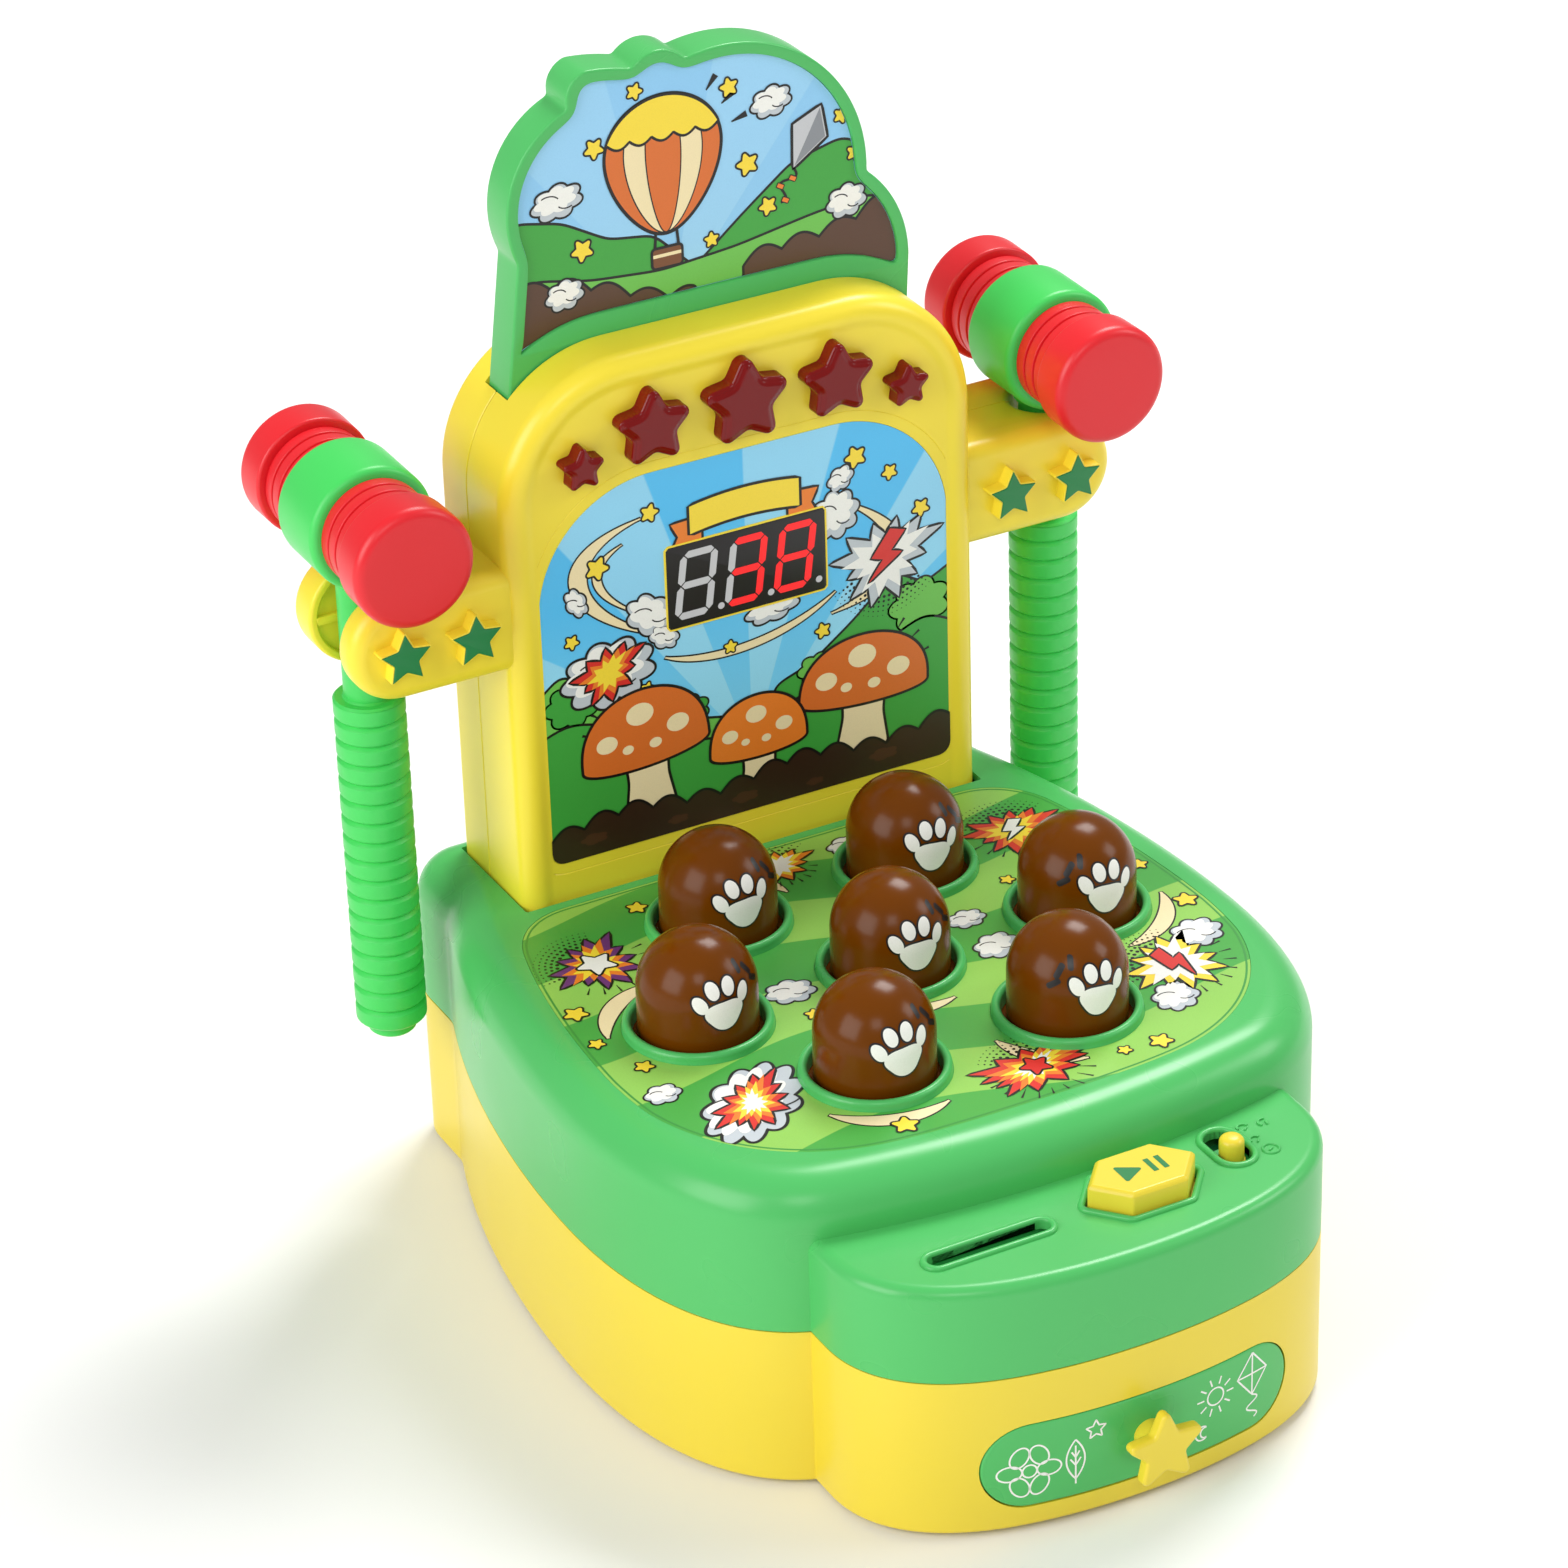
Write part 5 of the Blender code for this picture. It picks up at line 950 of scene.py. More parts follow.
def drawnBurst(x, y, radius, layers, points=12, spin=0, level=2, squash=0.85):
    shapes = outlinedShape(burstOutline(x, y, radius, points, 0.62, squash, spin), layers[0], level, 0.8)
    for k, tone in enumerate(layers[1:]):
        inner = burstOutline(x, y, radius * (0.8 - 0.2 * k), points, 0.6, squash, spin + 0.13 * (k + 1))
        shapes.append((inner, tone, level + 2 + k))
    return shapes


def drawnStar(x, y, radius, turn=0.2, level=5):
    star = starOutline(x, y, radius, 0.54, 0.14 * radius, 0.06 * radius, turn)
    return outlinedShape(star, "starYellow", level, 0.35 + 0.07 * radius)


def drawnBolt(x, y, size, tone, level, spin=0):
    corners = [(-0.1, 1), (0.5, 1), (0.16, 0.22), (0.6, 0.22), (-0.38, -1), (-0.06, -0.12),
               (-0.52, -0.12)]
    return outlinedShape(turned(np.array(corners) * size, spin, x, y), tone, level, 0.7)


# Short lines around a point, from one radius to another
def drawnRays(x, y, near, far, count, start, end, width, level=1, tone="black"):
    shapes, middle, taper = [], np.array([x, y]), 0.2
    for angle in np.linspace(start, end, count):
        way = np.array([math.cos(angle), math.sin(angle)])
        side = np.array([-way[1], way[0]]) * width / 2
        root, tip = middle + way * near, middle + way * far
        ray = np.array([root - side * taper, tip - side, tip + side, root + side * taper])
        shapes.append((ray, tone, level))
    return shapes


# Rows of dots that shrink outwards
def drawnDots(x, y, near, rows, start, end, tone, level=1, pitch=1.5, size=0.62):
    shapes = []
    for row in range(rows):
        reach = near + row * pitch
        count = max(2, int(abs(end - start) * reach / pitch))
        for angle in np.linspace(start, end, count):
            shapes.append((circleOutline(x + reach * math.cos(angle), y + reach * math.sin(angle),
                                         size * (1 - row / (rows + 1)), 10), tone, level))
    return shapes


# A crescent along an arc; its width follows a sine from end to end
def drawnSwoosh(x, y, radius, height, start, end, width, tone="cream", level=0, spin=0, edge=0.5):
    t = np.linspace(0, 1, 40)
    angle = start + (end - start) * t
    wide = width * np.sin(np.pi * np.clip(t, 0.02, 0.98)) ** 0.7 / 2
    line = np.stack([np.cos(angle), np.sin(angle) * height / radius], axis=1)
    near, far = line * (radius - wide)[:, None], line * (radius + wide)[:, None]
    return outlinedShape(turned(np.vstack([near, far[::-1]]), spin, x, y), tone, level, edge)


fieldArt = {
    "bursts": ((8, -66.5, 19, ("fire", "orange", "starYellow", "white"), 13, 0.15, 0.52),
               (69, -40, 15, ("starYellow", "white"), 12, 0.9, 0.9),
               (-71, 43, 14.5, ("purple", "orange", "starYellow"), 12, 0.9, 0.85),
               (68, 48, 14.5, ("fire", "orange", "starYellow"), 12, 0.2, 0.8),
               (-1, 65, 11, ("orange", "starYellow", "white"), 11, 0.2, 0.75)),
    "burstLevel": 3,
    "clouds": ((-67, -43.5, 42, 25, 11, 0.75), (-31, 2, 15, 12, 7, 0),
               (31, -6, 15, 12, 7, 0.5), (83, -29, 17, 14, 8, 0.4),
               (60, -55, 16, 13, 8, 0.8), (31, 11, 12, 9, 7, 0.2),
               (-86, -27, 11, 9, 6, 0.3), (-24, 67, 17, 9, 7, 0.1),
               (22, 66, 13, 8, 6, 0.3), (84, 32, 12, 9, 6, 0.5)),
    "stars": ((-88, 22, 3.8), (-84, -12, 3), (-37, -74, 4), (44, -73, 3.6),
              (90, -12, 3.8), (-90, 5, 2.6), (89, 12, 2.8), (-47, 65, 3.2), (43, 66, 3.2),
              (-31, -12, 2.8), (33, -72, 2.2), (52, 24, 2.4)),
    "swooshes": ((0, 0, 25, 25, 3.5, 5, 5), (0, 0, 25.2, 25.2, 0.5, 1.5, 4.6),
                 (30.5, -45.7, 25.6, 25.6, 3.3, 4.4, 5), (-61, 0, 25.6, 25.6, 1.6, 2.9, 5.4),
                 (61, 0, 25.6, 25.6, 4.8, 6.1, 5), (-30.5, 45.7, 25.4, 25.4, 0.2, 1.2, 4.6),
                 (-30.5, -45.7, 25.6, 25.6, 3.7, 5.1, 5)),
    # a second burst and two bolts and stars stand on the larger shapes
    "overBurst": (-67, -43.5, 15, ("fire", "orange", "starYellow", "white"), 12, 0.75, 6, 0.62),
    "bolts": ((69.5, -40, 8, "fire", 8, 0.5), (68, 48, 6, "white", 8, -0.4)),
    "heartStars": (((-71, 43, 6, 0.54, 0.5, 0.3, 0.3), "white", 8, 0.7),
                   ((8, -66.5, 4.6, 0.54, 0.4, 0.3, 0.2), "fire", 9, 0.6)),
    "border": (1.5, 0.9), "borderRise": 0.04,
}
fieldShapes = []
for x, y, radius, layers, points, spin, squash in fieldArt["bursts"]:
    fieldShapes += drawnBurst(x, y, radius, layers, points, spin, fieldArt["burstLevel"], squash)
    fieldShapes += drawnDots(x, y, radius * 0.9 * squash, 5, spin + 0.4, spin + 2.4, "black", 1, 1.7, 0.6)
    fieldShapes += drawnRays(x, y, radius * (0.2 + 0.8 * squash), radius * (0.45 + 0.8 * squash), 9, spin + 3.2,
                             spin + 5.6, 0.7)
for x, y, width, height, lobes, spin in fieldArt["clouds"]:
    fieldShapes += drawnCloud(x, y, width, height, lobes, spin)
for x, y, radius in fieldArt["stars"]:
    fieldShapes += drawnStar(x, y, radius, x * 0.01)
for values in fieldArt["swooshes"]:
    fieldShapes += drawnSwoosh(*values)
fieldShapes += drawnBurst(*fieldArt["overBurst"])
for values in fieldArt["bolts"]:
    fieldShapes += drawnBolt(*values)
for star, tone, level, edge in fieldArt["heartStars"]:
    fieldShapes += outlinedShape(starOutline(*star), tone, level, edge)
fieldBorder = between(*(raised(inset(seatEdge, distance), label["top"] + fieldArt["borderRise"])
                        for distance in fieldArt["border"]))


# Points over a hole slide out under its ring
def clearOfHoles(points):
    for place in molePlaces:
        away = points - np.array(place)
        reach = np.maximum(np.linalg.norm(away, axis=1), 1e-6)[:, None]
        points = place + away * np.maximum(reach, moles["ringRadius"] - 1.4) / reach
    return points


printPiece("fieldPrint", fieldShapes, onField, "base",
           keep=lambda points: clearOfHoles(keptInside(points, seatEdge)))
makePiece("fieldBorder", fieldBorder, inks["bandDark"], "base")
print("field printed")


# Mole caps: a straight skirt and a half sphere over it, hollow, with a flange and a plunger below
def capProfile():
    outer, inner = moles["radius"], moles["radius"] - moles["wall"]
    dome = moles["rise"] - outer
    flangeTop = moles["flangeTop"]
    flangeLow = flangeTop - moles["flangeThickness"]
    t = np.linspace(np.pi / 2, 0, 13)
    inside = [(inner * math.cos(v), dome + inner * math.sin(v)) for v in t]
    t = np.linspace(0, np.pi / 2, 29)
    outside = [(outer * math.cos(v), dome + outer * math.sin(v)) for v in t]
    return inside + [(inner, flangeLow), (moles["flange"], flangeLow), (moles["flange"], flangeTop),
                     (outer, flangeTop), (outer, flangeTop + 0.3)] + outside


def plungerProfile():
    dome = moles["rise"] - moles["radius"] + moles["plungerTop"]
    post, seat, low, top = moles["plunger"], moles["seat"], moles["seatLow"], moles["seatTop"]
    return [(0, moles["plungerEnd"]), (post, moles["plungerEnd"]), (post, low), (seat, low), (seat, top),
            (post, top), (post, dome), (0, dome)]


# A flat motif wrapped on a cap's front: u runs round the skirt, v up it and over the dome
def onCap(points, height):
    radius = moles["radius"] + height
    dome = moles["rise"] - moles["radius"]
    over = np.maximum(points[:, 1] - dome, 0) / moles["radius"]
    ring = radius * np.cos(over)
    turn = -np.pi / 2 + points[:, 0] / np.maximum(ring, 4)
    level = np.where(points[:, 1] > dome, dome + radius * np.sin(over), points[:, 1])
    return np.stack([ring * np.cos(turn), ring * np.sin(turn), level], axis=1)


# A patch as rings between its centre and its edge, so that it can bend
def patchSurface(outline, height, place, rings=6):
    outline = resampled(anticlockwise(outline), 72)
    centre = outline.mean(0)
    share = np.linspace(0, 1, rings + 1)[:, None, None]
    grid = centre + (outline[None] - centre) * share
    points = place(grid.reshape(-1, 2), height).reshape(rings + 1, len(outline), 3)
    return flipped(loft(points))


# Paw motif: one pad with three lobes and four toes over it
def pawShapes(x, y, size, spin):
    pad = polarOutline(0, 0, lambda t: 1 + 0.10 * np.cos(3 * (t + np.pi / 2)), allTurns, 0.56, 0.42)
    toes = [polarOutline(a, b, lambda t: 1 + 0 * t, allTurns, 0.19, 0.27, lean) for a, b, lean in (
        (-0.66, 0.42, 0.45), (-0.24, 0.76, 0.12), (0.24, 0.76, -0.12), (0.66, 0.42, -0.45))]
    return [turned(shape * size, spin, x, y) for shape in [pad] + toes]


capBase = joined(lathe(capProfile(), 96), lathe(plungerProfile(), 40))
capArt = {
    "spins": (0.12, -0.1, 0.08, 0, -0.08, 0.1, -0.12), "paw": (0, 12.2, 10.2), "edge": 0.55,
    "edgeRise": 0.04, "fillRise": 0.08, "strokeWidth": 0.8,
    "strokes": ((10.2, 21.6, 2.8, -0.9), (12.6, 18, 2.4, -0.5), (6.4, 24, 2.4, -1.3)),
}
for k, (x, y) in enumerate(molePlaces):
    body = "mole_%d" % (k + 1)
    makePiece("moleCap_%d" % (k + 1), moved(capBase, x, y, fieldZ), moleBrown, body, ["mole_cap_%d" % (k + 1)])
    shapes = pawShapes(*capArt["paw"], capArt["spins"][k])
    # three short strokes beside the print, on one side or the other
    side = -1 if k % 3 == 1 else 1
    outlines = [inset(resampled(shape, 120), -capArt["edge"]) for shape in shapes]
    outlines += [turned(stadiumOutline(length, capArt["strokeWidth"], steps=6), lean * side, across * side, up)
                 for across, up, length, lean in capArt["strokes"]]
    edges = [patchSurface(outline, capArt["edgeRise"], onCap) for outline in outlines]
    fills = [patchSurface(shape, capArt["fillRise"], onCap) for shape in shapes]
    slots = [0] * sum(len(faces) for _, faces in edges) + [1] * sum(len(faces) for _, faces in fills)
    makePiece("capPrint_%d" % (k + 1), moved(joined(*edges, *fills), x, y, fieldZ),
              [inks["black"], inks["white"]], body, slots=slots)


# Springs: a ring of wire points carried round a helix, whose level rises evenly with its turn
def coilSurface(radius, wire, low, high, turns):
    t = np.linspace(0, 2 * np.pi * turns, turns * 36 + 1)
    rise = (high - low - 2 * wire) / (2 * np.pi * turns)
    centre = np.stack([radius * np.cos(t), radius * np.sin(t), low + wire + rise * t], axis=1)
    out = np.stack([np.cos(t), np.sin(t), np.zeros_like(t)], axis=1)
    up = np.array([0, 0, 1])
    around = np.linspace(0, 2 * np.pi, 10, endpoint=False)
    rows = centre[:, None, :] + wire * (out[:, None, :] * np.cos(around)[None, :, None]
                                        + up * np.sin(around)[None, :, None])
    return flipped(loft(rows, capLow=True, capHigh=True))


spring = {"radius": 6.5, "wire": 0.5, "low": 63.9, "high": 89.7, "turns": 4}
coil = coilSurface(spring["radius"], spring["wire"], spring["low"], spring["high"], spring["turns"])
for k, (x, y) in enumerate(molePlaces):
    made = makePiece("returnSpring_%d" % (k + 1), moved(coil, x, y), steel, "base",
                     ["mole_spring_%d" % (k + 1)])
    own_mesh(made)
print("moles made")

# Play button
buttonTop = console["top"] + controls["button"]["rise"]


def playButtonSurface(size):
    chamfer, low = size["chamfer"], console["top"] - casing["wall"] - 0.3
    cap = solid(resampled(hexagonOutline(0, size["corner"]), 240),
                [(0, low - 1), (0, buttonTop - chamfer - 0.25), (0.08, buttonTop - chamfer),
                 (chamfer * 0.9, buttonTop - 0.12), (chamfer + 0.12, buttonTop), (chamfer + 0.5, buttonTop)])
    flange = solid(resampled(hexagonOutline(size["flange"], size["flangeCorner"]), 240),
                   [(0, low - 1.4), (0, low)])
    stem = solid(circleOutline(size["x"], size["y"], size["stem"], 32), [(0, size["stemLow"]), (0, low - 1.2)])
    return joined(cap, flange, stem)


makePiece("playButton", playButtonSurface(controls["button"]), yellow, "button", ["play_button"])


def onButton(points, height):
    return raised(points + [controls["button"]["x"], controls["button"]["y"]], buttonTop + height)


# the mark is a triangle and two bars
playMark = [roundedPolygon([(-6.8, -4.2), (0.35, 0), (-6.8, 4.2)], 0.6)] + [
    rectangleOutline(start, start + 1.6, -3.2, 3.2, 0.2) for start in (2.1, 5.4)]
printPiece("playMark", [(outline, "badgeGreen", 1) for outline in playMark], onButton, "button")


# Slide knob: a round post with a domed top, radius knob cos^0.7, on a low foot
def slideKnobSurface(size):
    top, dome = console["top"] + size["rise"], size["dome"]
    crown = [(size["knob"] * math.cos(v) ** 0.7, top - dome + dome * math.sin(v))
             for v in np.linspace(0, np.pi / 2, 10)[:-1]]
    post = [(0, size["low"]), (size["knob"], size["low"])] + crown + [(0, top)]
    foot = solid(circleOutline(size["x"], size["knobY"], size["knob"] + size["foot"], 40),
                 [(0, 77.4), (0, 78.3), (0.3, 78.6)])
    return joined(moved(lathe(post, 40), size["x"], size["knobY"]), foot)


slide = controls["slide"]
makePiece("slideKnob", slideKnobSurface(slide), yellow, "switch_knob", ["slide_knob"])
# a shutter under the knob closes the slot
shutter = solid(stadiumOutline(*slide["shutter"], slide["x"], slide["knobY"], upright=True),
                [(0, slide["shutterLow"]), (0, slide["shutterHigh"])])
makePiece("slideShutter", shutter, chuteGreen, "switch_knob")
print("controls made")

# Drawer: its face follows the console's curved front, y = front(x)
frontPoints = consoleOutline[consoleOutline[:, 1] < -96]
frontPoints = frontPoints[np.argsort(frontPoints[:, 0])]


def consoleFront(x):
    return np.interp(x, frontPoints[:, 0], frontPoints[:, 1])


def onDrawer(points, height):
    return np.stack([points[:, 0], consoleFront(points[:, 0]) - height, points[:, 1]], axis=1)


def drawerFace():
    outline = resampled(stadiumOutline(drawer["halfLength"], drawer["halfHeight"], 0, drawer["z"]), 240)
    centre = np.array([0, drawer["z"]])
    edge = inset(outline, drawer["faceEdge"])
    steps = [(0, -drawer["face"]), (0, -0.5), (0.12, -0.2), (0.5, 0), (drawer["faceEdge"], 0)]
    back = [onDrawer(centre + (outline - centre) * share, -drawer["face"])
            for share in np.linspace(0, 0.95, 12)]
    side = [onDrawer(inset(outline, distance), height) for distance, height in steps]
    front = [onDrawer(centre + (edge - centre) * share, 0) for share in np.linspace(0.93, 0, 15)]
    return loft(np.array(back + side + front))


def trayBox():
    half, low, high, wall = (drawer[key] for key in ("trayHalfWidth", "trayLow", "trayHigh", "trayWall"))
    outline = rectangleOutline(-half, half, drawer["trayFront"], drawer["trayBack"], drawer["trayCorner"])
    steps = [(0.5, low), (0, low + 0.5), (0, high - 0.2), (0.2, high), (wall - 0.2, high), (wall, high - 0.2),
             (wall, low + wall + 0.4), (wall + 0.4, low + wall)]
    return solid(resampled(outline, 200), steps)


# The star knob's front and back edges are quarter rounds; its stem reaches back into the drawer's face
def drawerStarSurface():
    back, soft = drawer["front"] + drawer["stand"], drawer["starRounding"]
    front = back + drawer["starThickness"]
    steps = [(1, back)] + rounding(soft, back, 5, low=True) + rounding(soft, front, 6)
    outline = starOutline(0, drawer["z"], drawer["starRadius"], drawer["starValley"], *drawer["starTips"])
    knob = solid(resampled(outline, 240), flatEdge(front, steps, 0.2))
    stem = solid(circleOutline(0, drawer["z"], drawer["stem"], 48), [(0, drawer["stemRoot"]), (0, back + 1)])
    return upright(joined(knob, stem))


makePiece("coinDrawer", joined(drawerFace(), trayBox()), green, "drawer", ["coin_drawer"])
makePiece("drawerStar", drawerStarSurface(), yellow, "drawer", ["drawer_knob"])


# Line drawings on the drawer: each stroke is a strip of even width
def strokeSurface(points, width, place, height):
    return loft(np.array([place(side, height) for side in penSides(points, width)]), closed=False)


def line(*corners, count=8):
    corners = np.array(corners, float)
    t = np.linspace(0, len(corners) - 1, count * (len(corners) - 1) + 1)
    return np.stack([np.interp(t, np.arange(len(corners)), corners[:, k]) for k in (0, 1)], axis=1)


def flowerLines(x, z, size):
    reach = size * 0.55
    petals = [ellipseLine(x + reach * math.cos(a), z + reach * math.sin(a), size * 0.34, size * 0.24, spin=-a)
              for a in np.arange(6) * np.pi / 3]
    return petals + [ellipseLine(x, z, size * 0.2, size * 0.2)]


def sunLines(x, z, size):
    rays = [line((x + size * 0.62 * math.cos(a), z + size * 0.62 * math.sin(a)),
                 (x + size * math.cos(a), z + size * math.sin(a))) for a in np.arange(10) * np.pi / 5]
    return rays + [ellipseLine(x, z, size * 0.44, size * 0.44)]


def kiteLines(x, z, size):
    corners = [(x, z + size), (x + size * 0.62, z + size * 0.2), (x, z - size * 0.6),
               (x - size * 0.62, z + size * 0.2)]
    tail = np.linspace(0, 1, 30)
    wave = np.stack([x + size * 0.22 * np.sin(tail * 9), z - size * 0.6 - tail * size * 0.9], axis=1)
    return [line(*corners, corners[0]), line(corners[0], corners[2]), line(corners[1], corners[3]), wave]


def leafLines(x, z, size):
    t = np.linspace(-1, 1, 30)
    edge = size * 0.42 * (1 - t * t)
    return [np.stack([x + edge, z + t * size], axis=1), np.stack([x - edge, z + t * size], axis=1),
            line((x, z - size * 1.25), (x, z + size * 0.7))] + [
        line((x, z + size * root), (x + size * out, z + size * tip))
        for root, out, tip in ((-0.3, 0.24, 0.05), (-0.3, -0.24, 0.05), (0.1, 0.18, 0.4), (0.1, -0.18, 0.4))]


def moonLines(x, z, size):
    return [ellipseLine(x, z, size, size, 0.9, 5.4),
            ellipseLine(x + size * 0.45, z, size * 0.7, size * 0.75, 1.25, 5.03)]


smallStar = starOutline(-16, 28.5, 3, 0.5, 0.1, 0.05)
doodles = flowerLines(-35, 20, 10) + leafLines(-22, 20.5, 6.4) + kiteLines(35, 24.8, 8.6) + \
    sunLines(22, 25, 6.2) + moonLines(17.5, 14.6, 2.2) + [np.vstack([smallStar, smallStar[:1]])]
strokes = [strokeSurface(points, drawer["penWidth"], onDrawer, drawer["printRise"]) for points in doodles]
makePiece("drawerDoodles", joined(*strokes), inks["white"], "drawer")
print("drawer made")

# Tower: an arch loft whose border stands round a sunk face
tower = {
    "halfWidth": 74.8, "front": 79.5, "parting": 104, "rear": 122, "top": 261.3, "corner": 40,
    "rounding": 5.5, "rearRounding": 3, "faceInset": 9.5, "recess": 0.8, "foot": 86, "groove": 3.6,
    "grooveSteps": ((0, 0), (0.12, 0.12), (0.24, 0.12), (0.36, 0)), "seatDepth": 0.55, "partGap": 0.15,
    "partLip": (0.2, 0.4), "plateRoom": (-64, 64, 96.9, 111.1, 234, 270),
}
arm = {
    "reach": 122.5, "radius": 16, "z": 188.8, "front": 81.5, "rounding": 4.5, "rearRounding": 3,
    "notchX": 110, "notchY": 101, "notchRadius": 9, "edge": 3, "root": 60, "coreFront": 89.1,
    "coreRear": 111.2, "coreInset": 0.02, "prongBack": 92, "rearInner": 110, "rearSoft": 1.2, "rearStep": 0.15,
    "rearSteps": ((2.2, 0), (2.6, 0.3), (2.7, 1.5), (3.1, 1.5)),
    "ledge": (105, 120.4, 109.9, 113, 0.5), "ledgeLow": 187.4, "ledgeTop": 190, "ledgeEdge": 0.4,
}
panel = {"halfWidth": 65.7, "bottom": 108, "top": 224.5, "corner": 37, "soft": 4, "face": 80.3,
         "labelFace": 80.42, "thickness": 0.3, "gap": 0.15}


def archOutline(halfWidth, bottom, top, corner, soft=0.6):
    corners = [(-halfWidth, bottom), (halfWidth, bottom), (halfWidth, top), (-halfWidth, top)]
    return roundedPolygon(corners, (soft, soft, corner, corner), 24)


towerOutline = resampled(archOutline(tower["halfWidth"], tower["foot"], tower["top"], tower["corner"]), 480)
# the face's own outline, whose foot runs down to the field inside the border
panelOutline = archOutline(panel["halfWidth"], panel["bottom"], panel["top"], panel["corner"], panel["soft"])
display = {
    "halfWidth": 25.55, "halfHeight": 13, "z": 186.5, "front": 80.1, "back": 86, "corner": 1, "gap": 0.1,
    "frame": ((-0.55, 0), (-0.5, 0.34), (0, 0.34), (0, 0)),
    # each digit's middle and its lit segments; the first place is unlit
    "digits": ((-16.2, ""), (-0.2, "abgcd"), (15.6, "abcdefg")), "digitWidth": 9.9, "digitHeight": 19,
    "segment": 2.2, "segmentGap": 0.25, "slant": 0.14, "dots": (-8.6, 7.5, 23.1), "dotDrop": 9.4,
    "dotRadius": 1.05,
}
lamps = {
    "radius": 14, "rise": 5.5, "rounding": 1.1, "valley": 0.6, "tip": 2.6, "slope": 1.5, "bevel": 0.7,
    "places": ((-51.6, 232.7, 0.50), (-29.2, 239.7, 0.87), (0, 240.3, 1), (29.2, 239.7, 0.87),
               (51.6, 232.7, 0.50)),
}


# room for the picture plate's foot in the arch
plateSlot = block(*tower["plateRoom"])


# The front shell's side, its rounding, then a border that runs down to the sunk face along half a cosine wave
def towerFrontSurface():
    front, face = -tower["front"], -(tower["front"] + tower["recess"])
    sunk = tower["faceInset"]
    start = tower["rounding"]
    parting, (lip, lipRise) = -tower["parting"], tower["partLip"]
    side = [(lip, parting + tower["partGap"]), (0, parting + lipRise)] + rounding(start, front, 12)
    t = np.linspace(0, 1, 9)[1:]
    border = [(start + (sunk - start) * v, front + (face - front) * (1 - math.cos(math.pi * v)) / 2) for v in t]
    rows = np.array([raised(inset(towerOutline, d), c) for d, c in side + border])
    seat = anticlockwise(panelOutline)
    back = face - tower["seatDepth"]
    groove = resampled(inset(resampled(seat, 300), -tower["groove"]), 300)
    lines = [raised(inset(groove, d), face - drop) for d, drop in tower["grooveSteps"]]
    parts = [loft(rows, capLow=True), filled([rows[-1][:, :2], groove], face), loft(np.array(lines)),
             filled([lines[-1][:, :2], seat], face), between(raised(seat, face), raised(seat, back)),
             filled([seat], back)]
    return cutSurface(upright(joined(*parts)), plateSlot)


# An arm's prongs are one stadium, from the left arm's end to the right one's, carried through the tower
armOutline = resampled(stadiumOutline(arm["reach"], arm["radius"], 0, arm["z"], steps=40), 480)


def frontProngSurface():
    back, front, edge, soft = -arm["prongBack"], -arm["front"], arm["edge"], arm["rounding"]
    low = [(edge * (1 - math.sin(v)), back + edge * (1 - math.cos(v))) for v in np.linspace(0, np.pi / 2, 8)]
    steps = [(edge + 0.3, back)] + low + rounding(soft, front, 8) + [(soft + 0.3, front)]
    return upright(solid(armOutline, steps))


# the rear prong's back lies just under the tower's, so that the two never share a plane
def rearProngSurface():
    inner, rear, soft = -arm["rearInner"], -tower["rear"] + arm["rearStep"], arm["rearRounding"]
    steps = [(soft + 0.3, rear)] + rounding(soft, rear, 8, low=True) + rounding(arm["rearSoft"], inner, 5)
    return upright(solid(armOutline, steps + [(distance, inner - drop) for distance, drop in arm["rearSteps"]]))


# An arm's core fills it up to the notch; in plan its end is an arc of the notch's circle, which widens by
# e towards the top and bottom edges just as the prongs' edges fall away
def coreSurface(y0, y1, towardsFront):
    x, y, radius, edge = arm["notchX"], arm["notchY"], arm["notchRadius"], arm["edge"]
    t = np.linspace(0, np.pi / 2, 7)
    reachZ, root = arm["radius"] - arm["coreInset"], arm["root"]
    bottom, top = arm["z"] - reachZ, arm["z"] + reachZ
    levels = [(edge - e, bottom + d) for e, d in [(edge * math.sin(v), edge * (1 - math.cos(v))) for v in t]]
    levels = levels + [(e, top - (z - bottom)) for e, z in levels[::-1]]
    rows = []
    for e, z in levels:
        reach = radius + e
        lean = math.asin(e / reach)
        if towardsFront:
            ends = math.pi - math.asin((y1 - y) / reach), 1.5 * math.pi - lean
        else:
            ends = 0.5 * math.pi + lean, math.pi - math.asin((y0 - y) / reach)
        arc = [(x + reach * math.cos(v), y + reach * math.sin(v)) for v in np.linspace(*ends, 25)]
        arc = arc + [(x - e, y0)] if towardsFront else [(x - e, y1)] + arc
        rows.append(raised(np.array([(root, y1)] + arc + [(root, y0)])[::-1], z))
    return loft(np.array(rows), capLow=True, capHigh=True)


badges = {"radius": 8.3, "valley": 0.52, "tips": (0.5, 0.4), "rise": 4.4, "rim": 0.42, "rimEdge": 0.18,
          "gap": 0.05, "xs": (86.2, 107.9), "z": 188.4}
badgeFront = -(arm["front"] - badges["rise"])


def badgeOutline(x):
    return resampled(starOutline(x, badges["z"], badges["radius"], badges["valley"], *badges["tips"]), 200)


# A raised yellow star whose rim stands round its green inlay
def badgeBlock(x):
    top = [(badges["rim"] - badges["gap"], badgeFront), (badges["rim"], badgeFront - 0.3)]
    steps = [(0, -arm["front"] - 1)] + rounding(badges["rimEdge"], badgeFront, 3) + top
    return upright(solid(badgeOutline(x), steps))


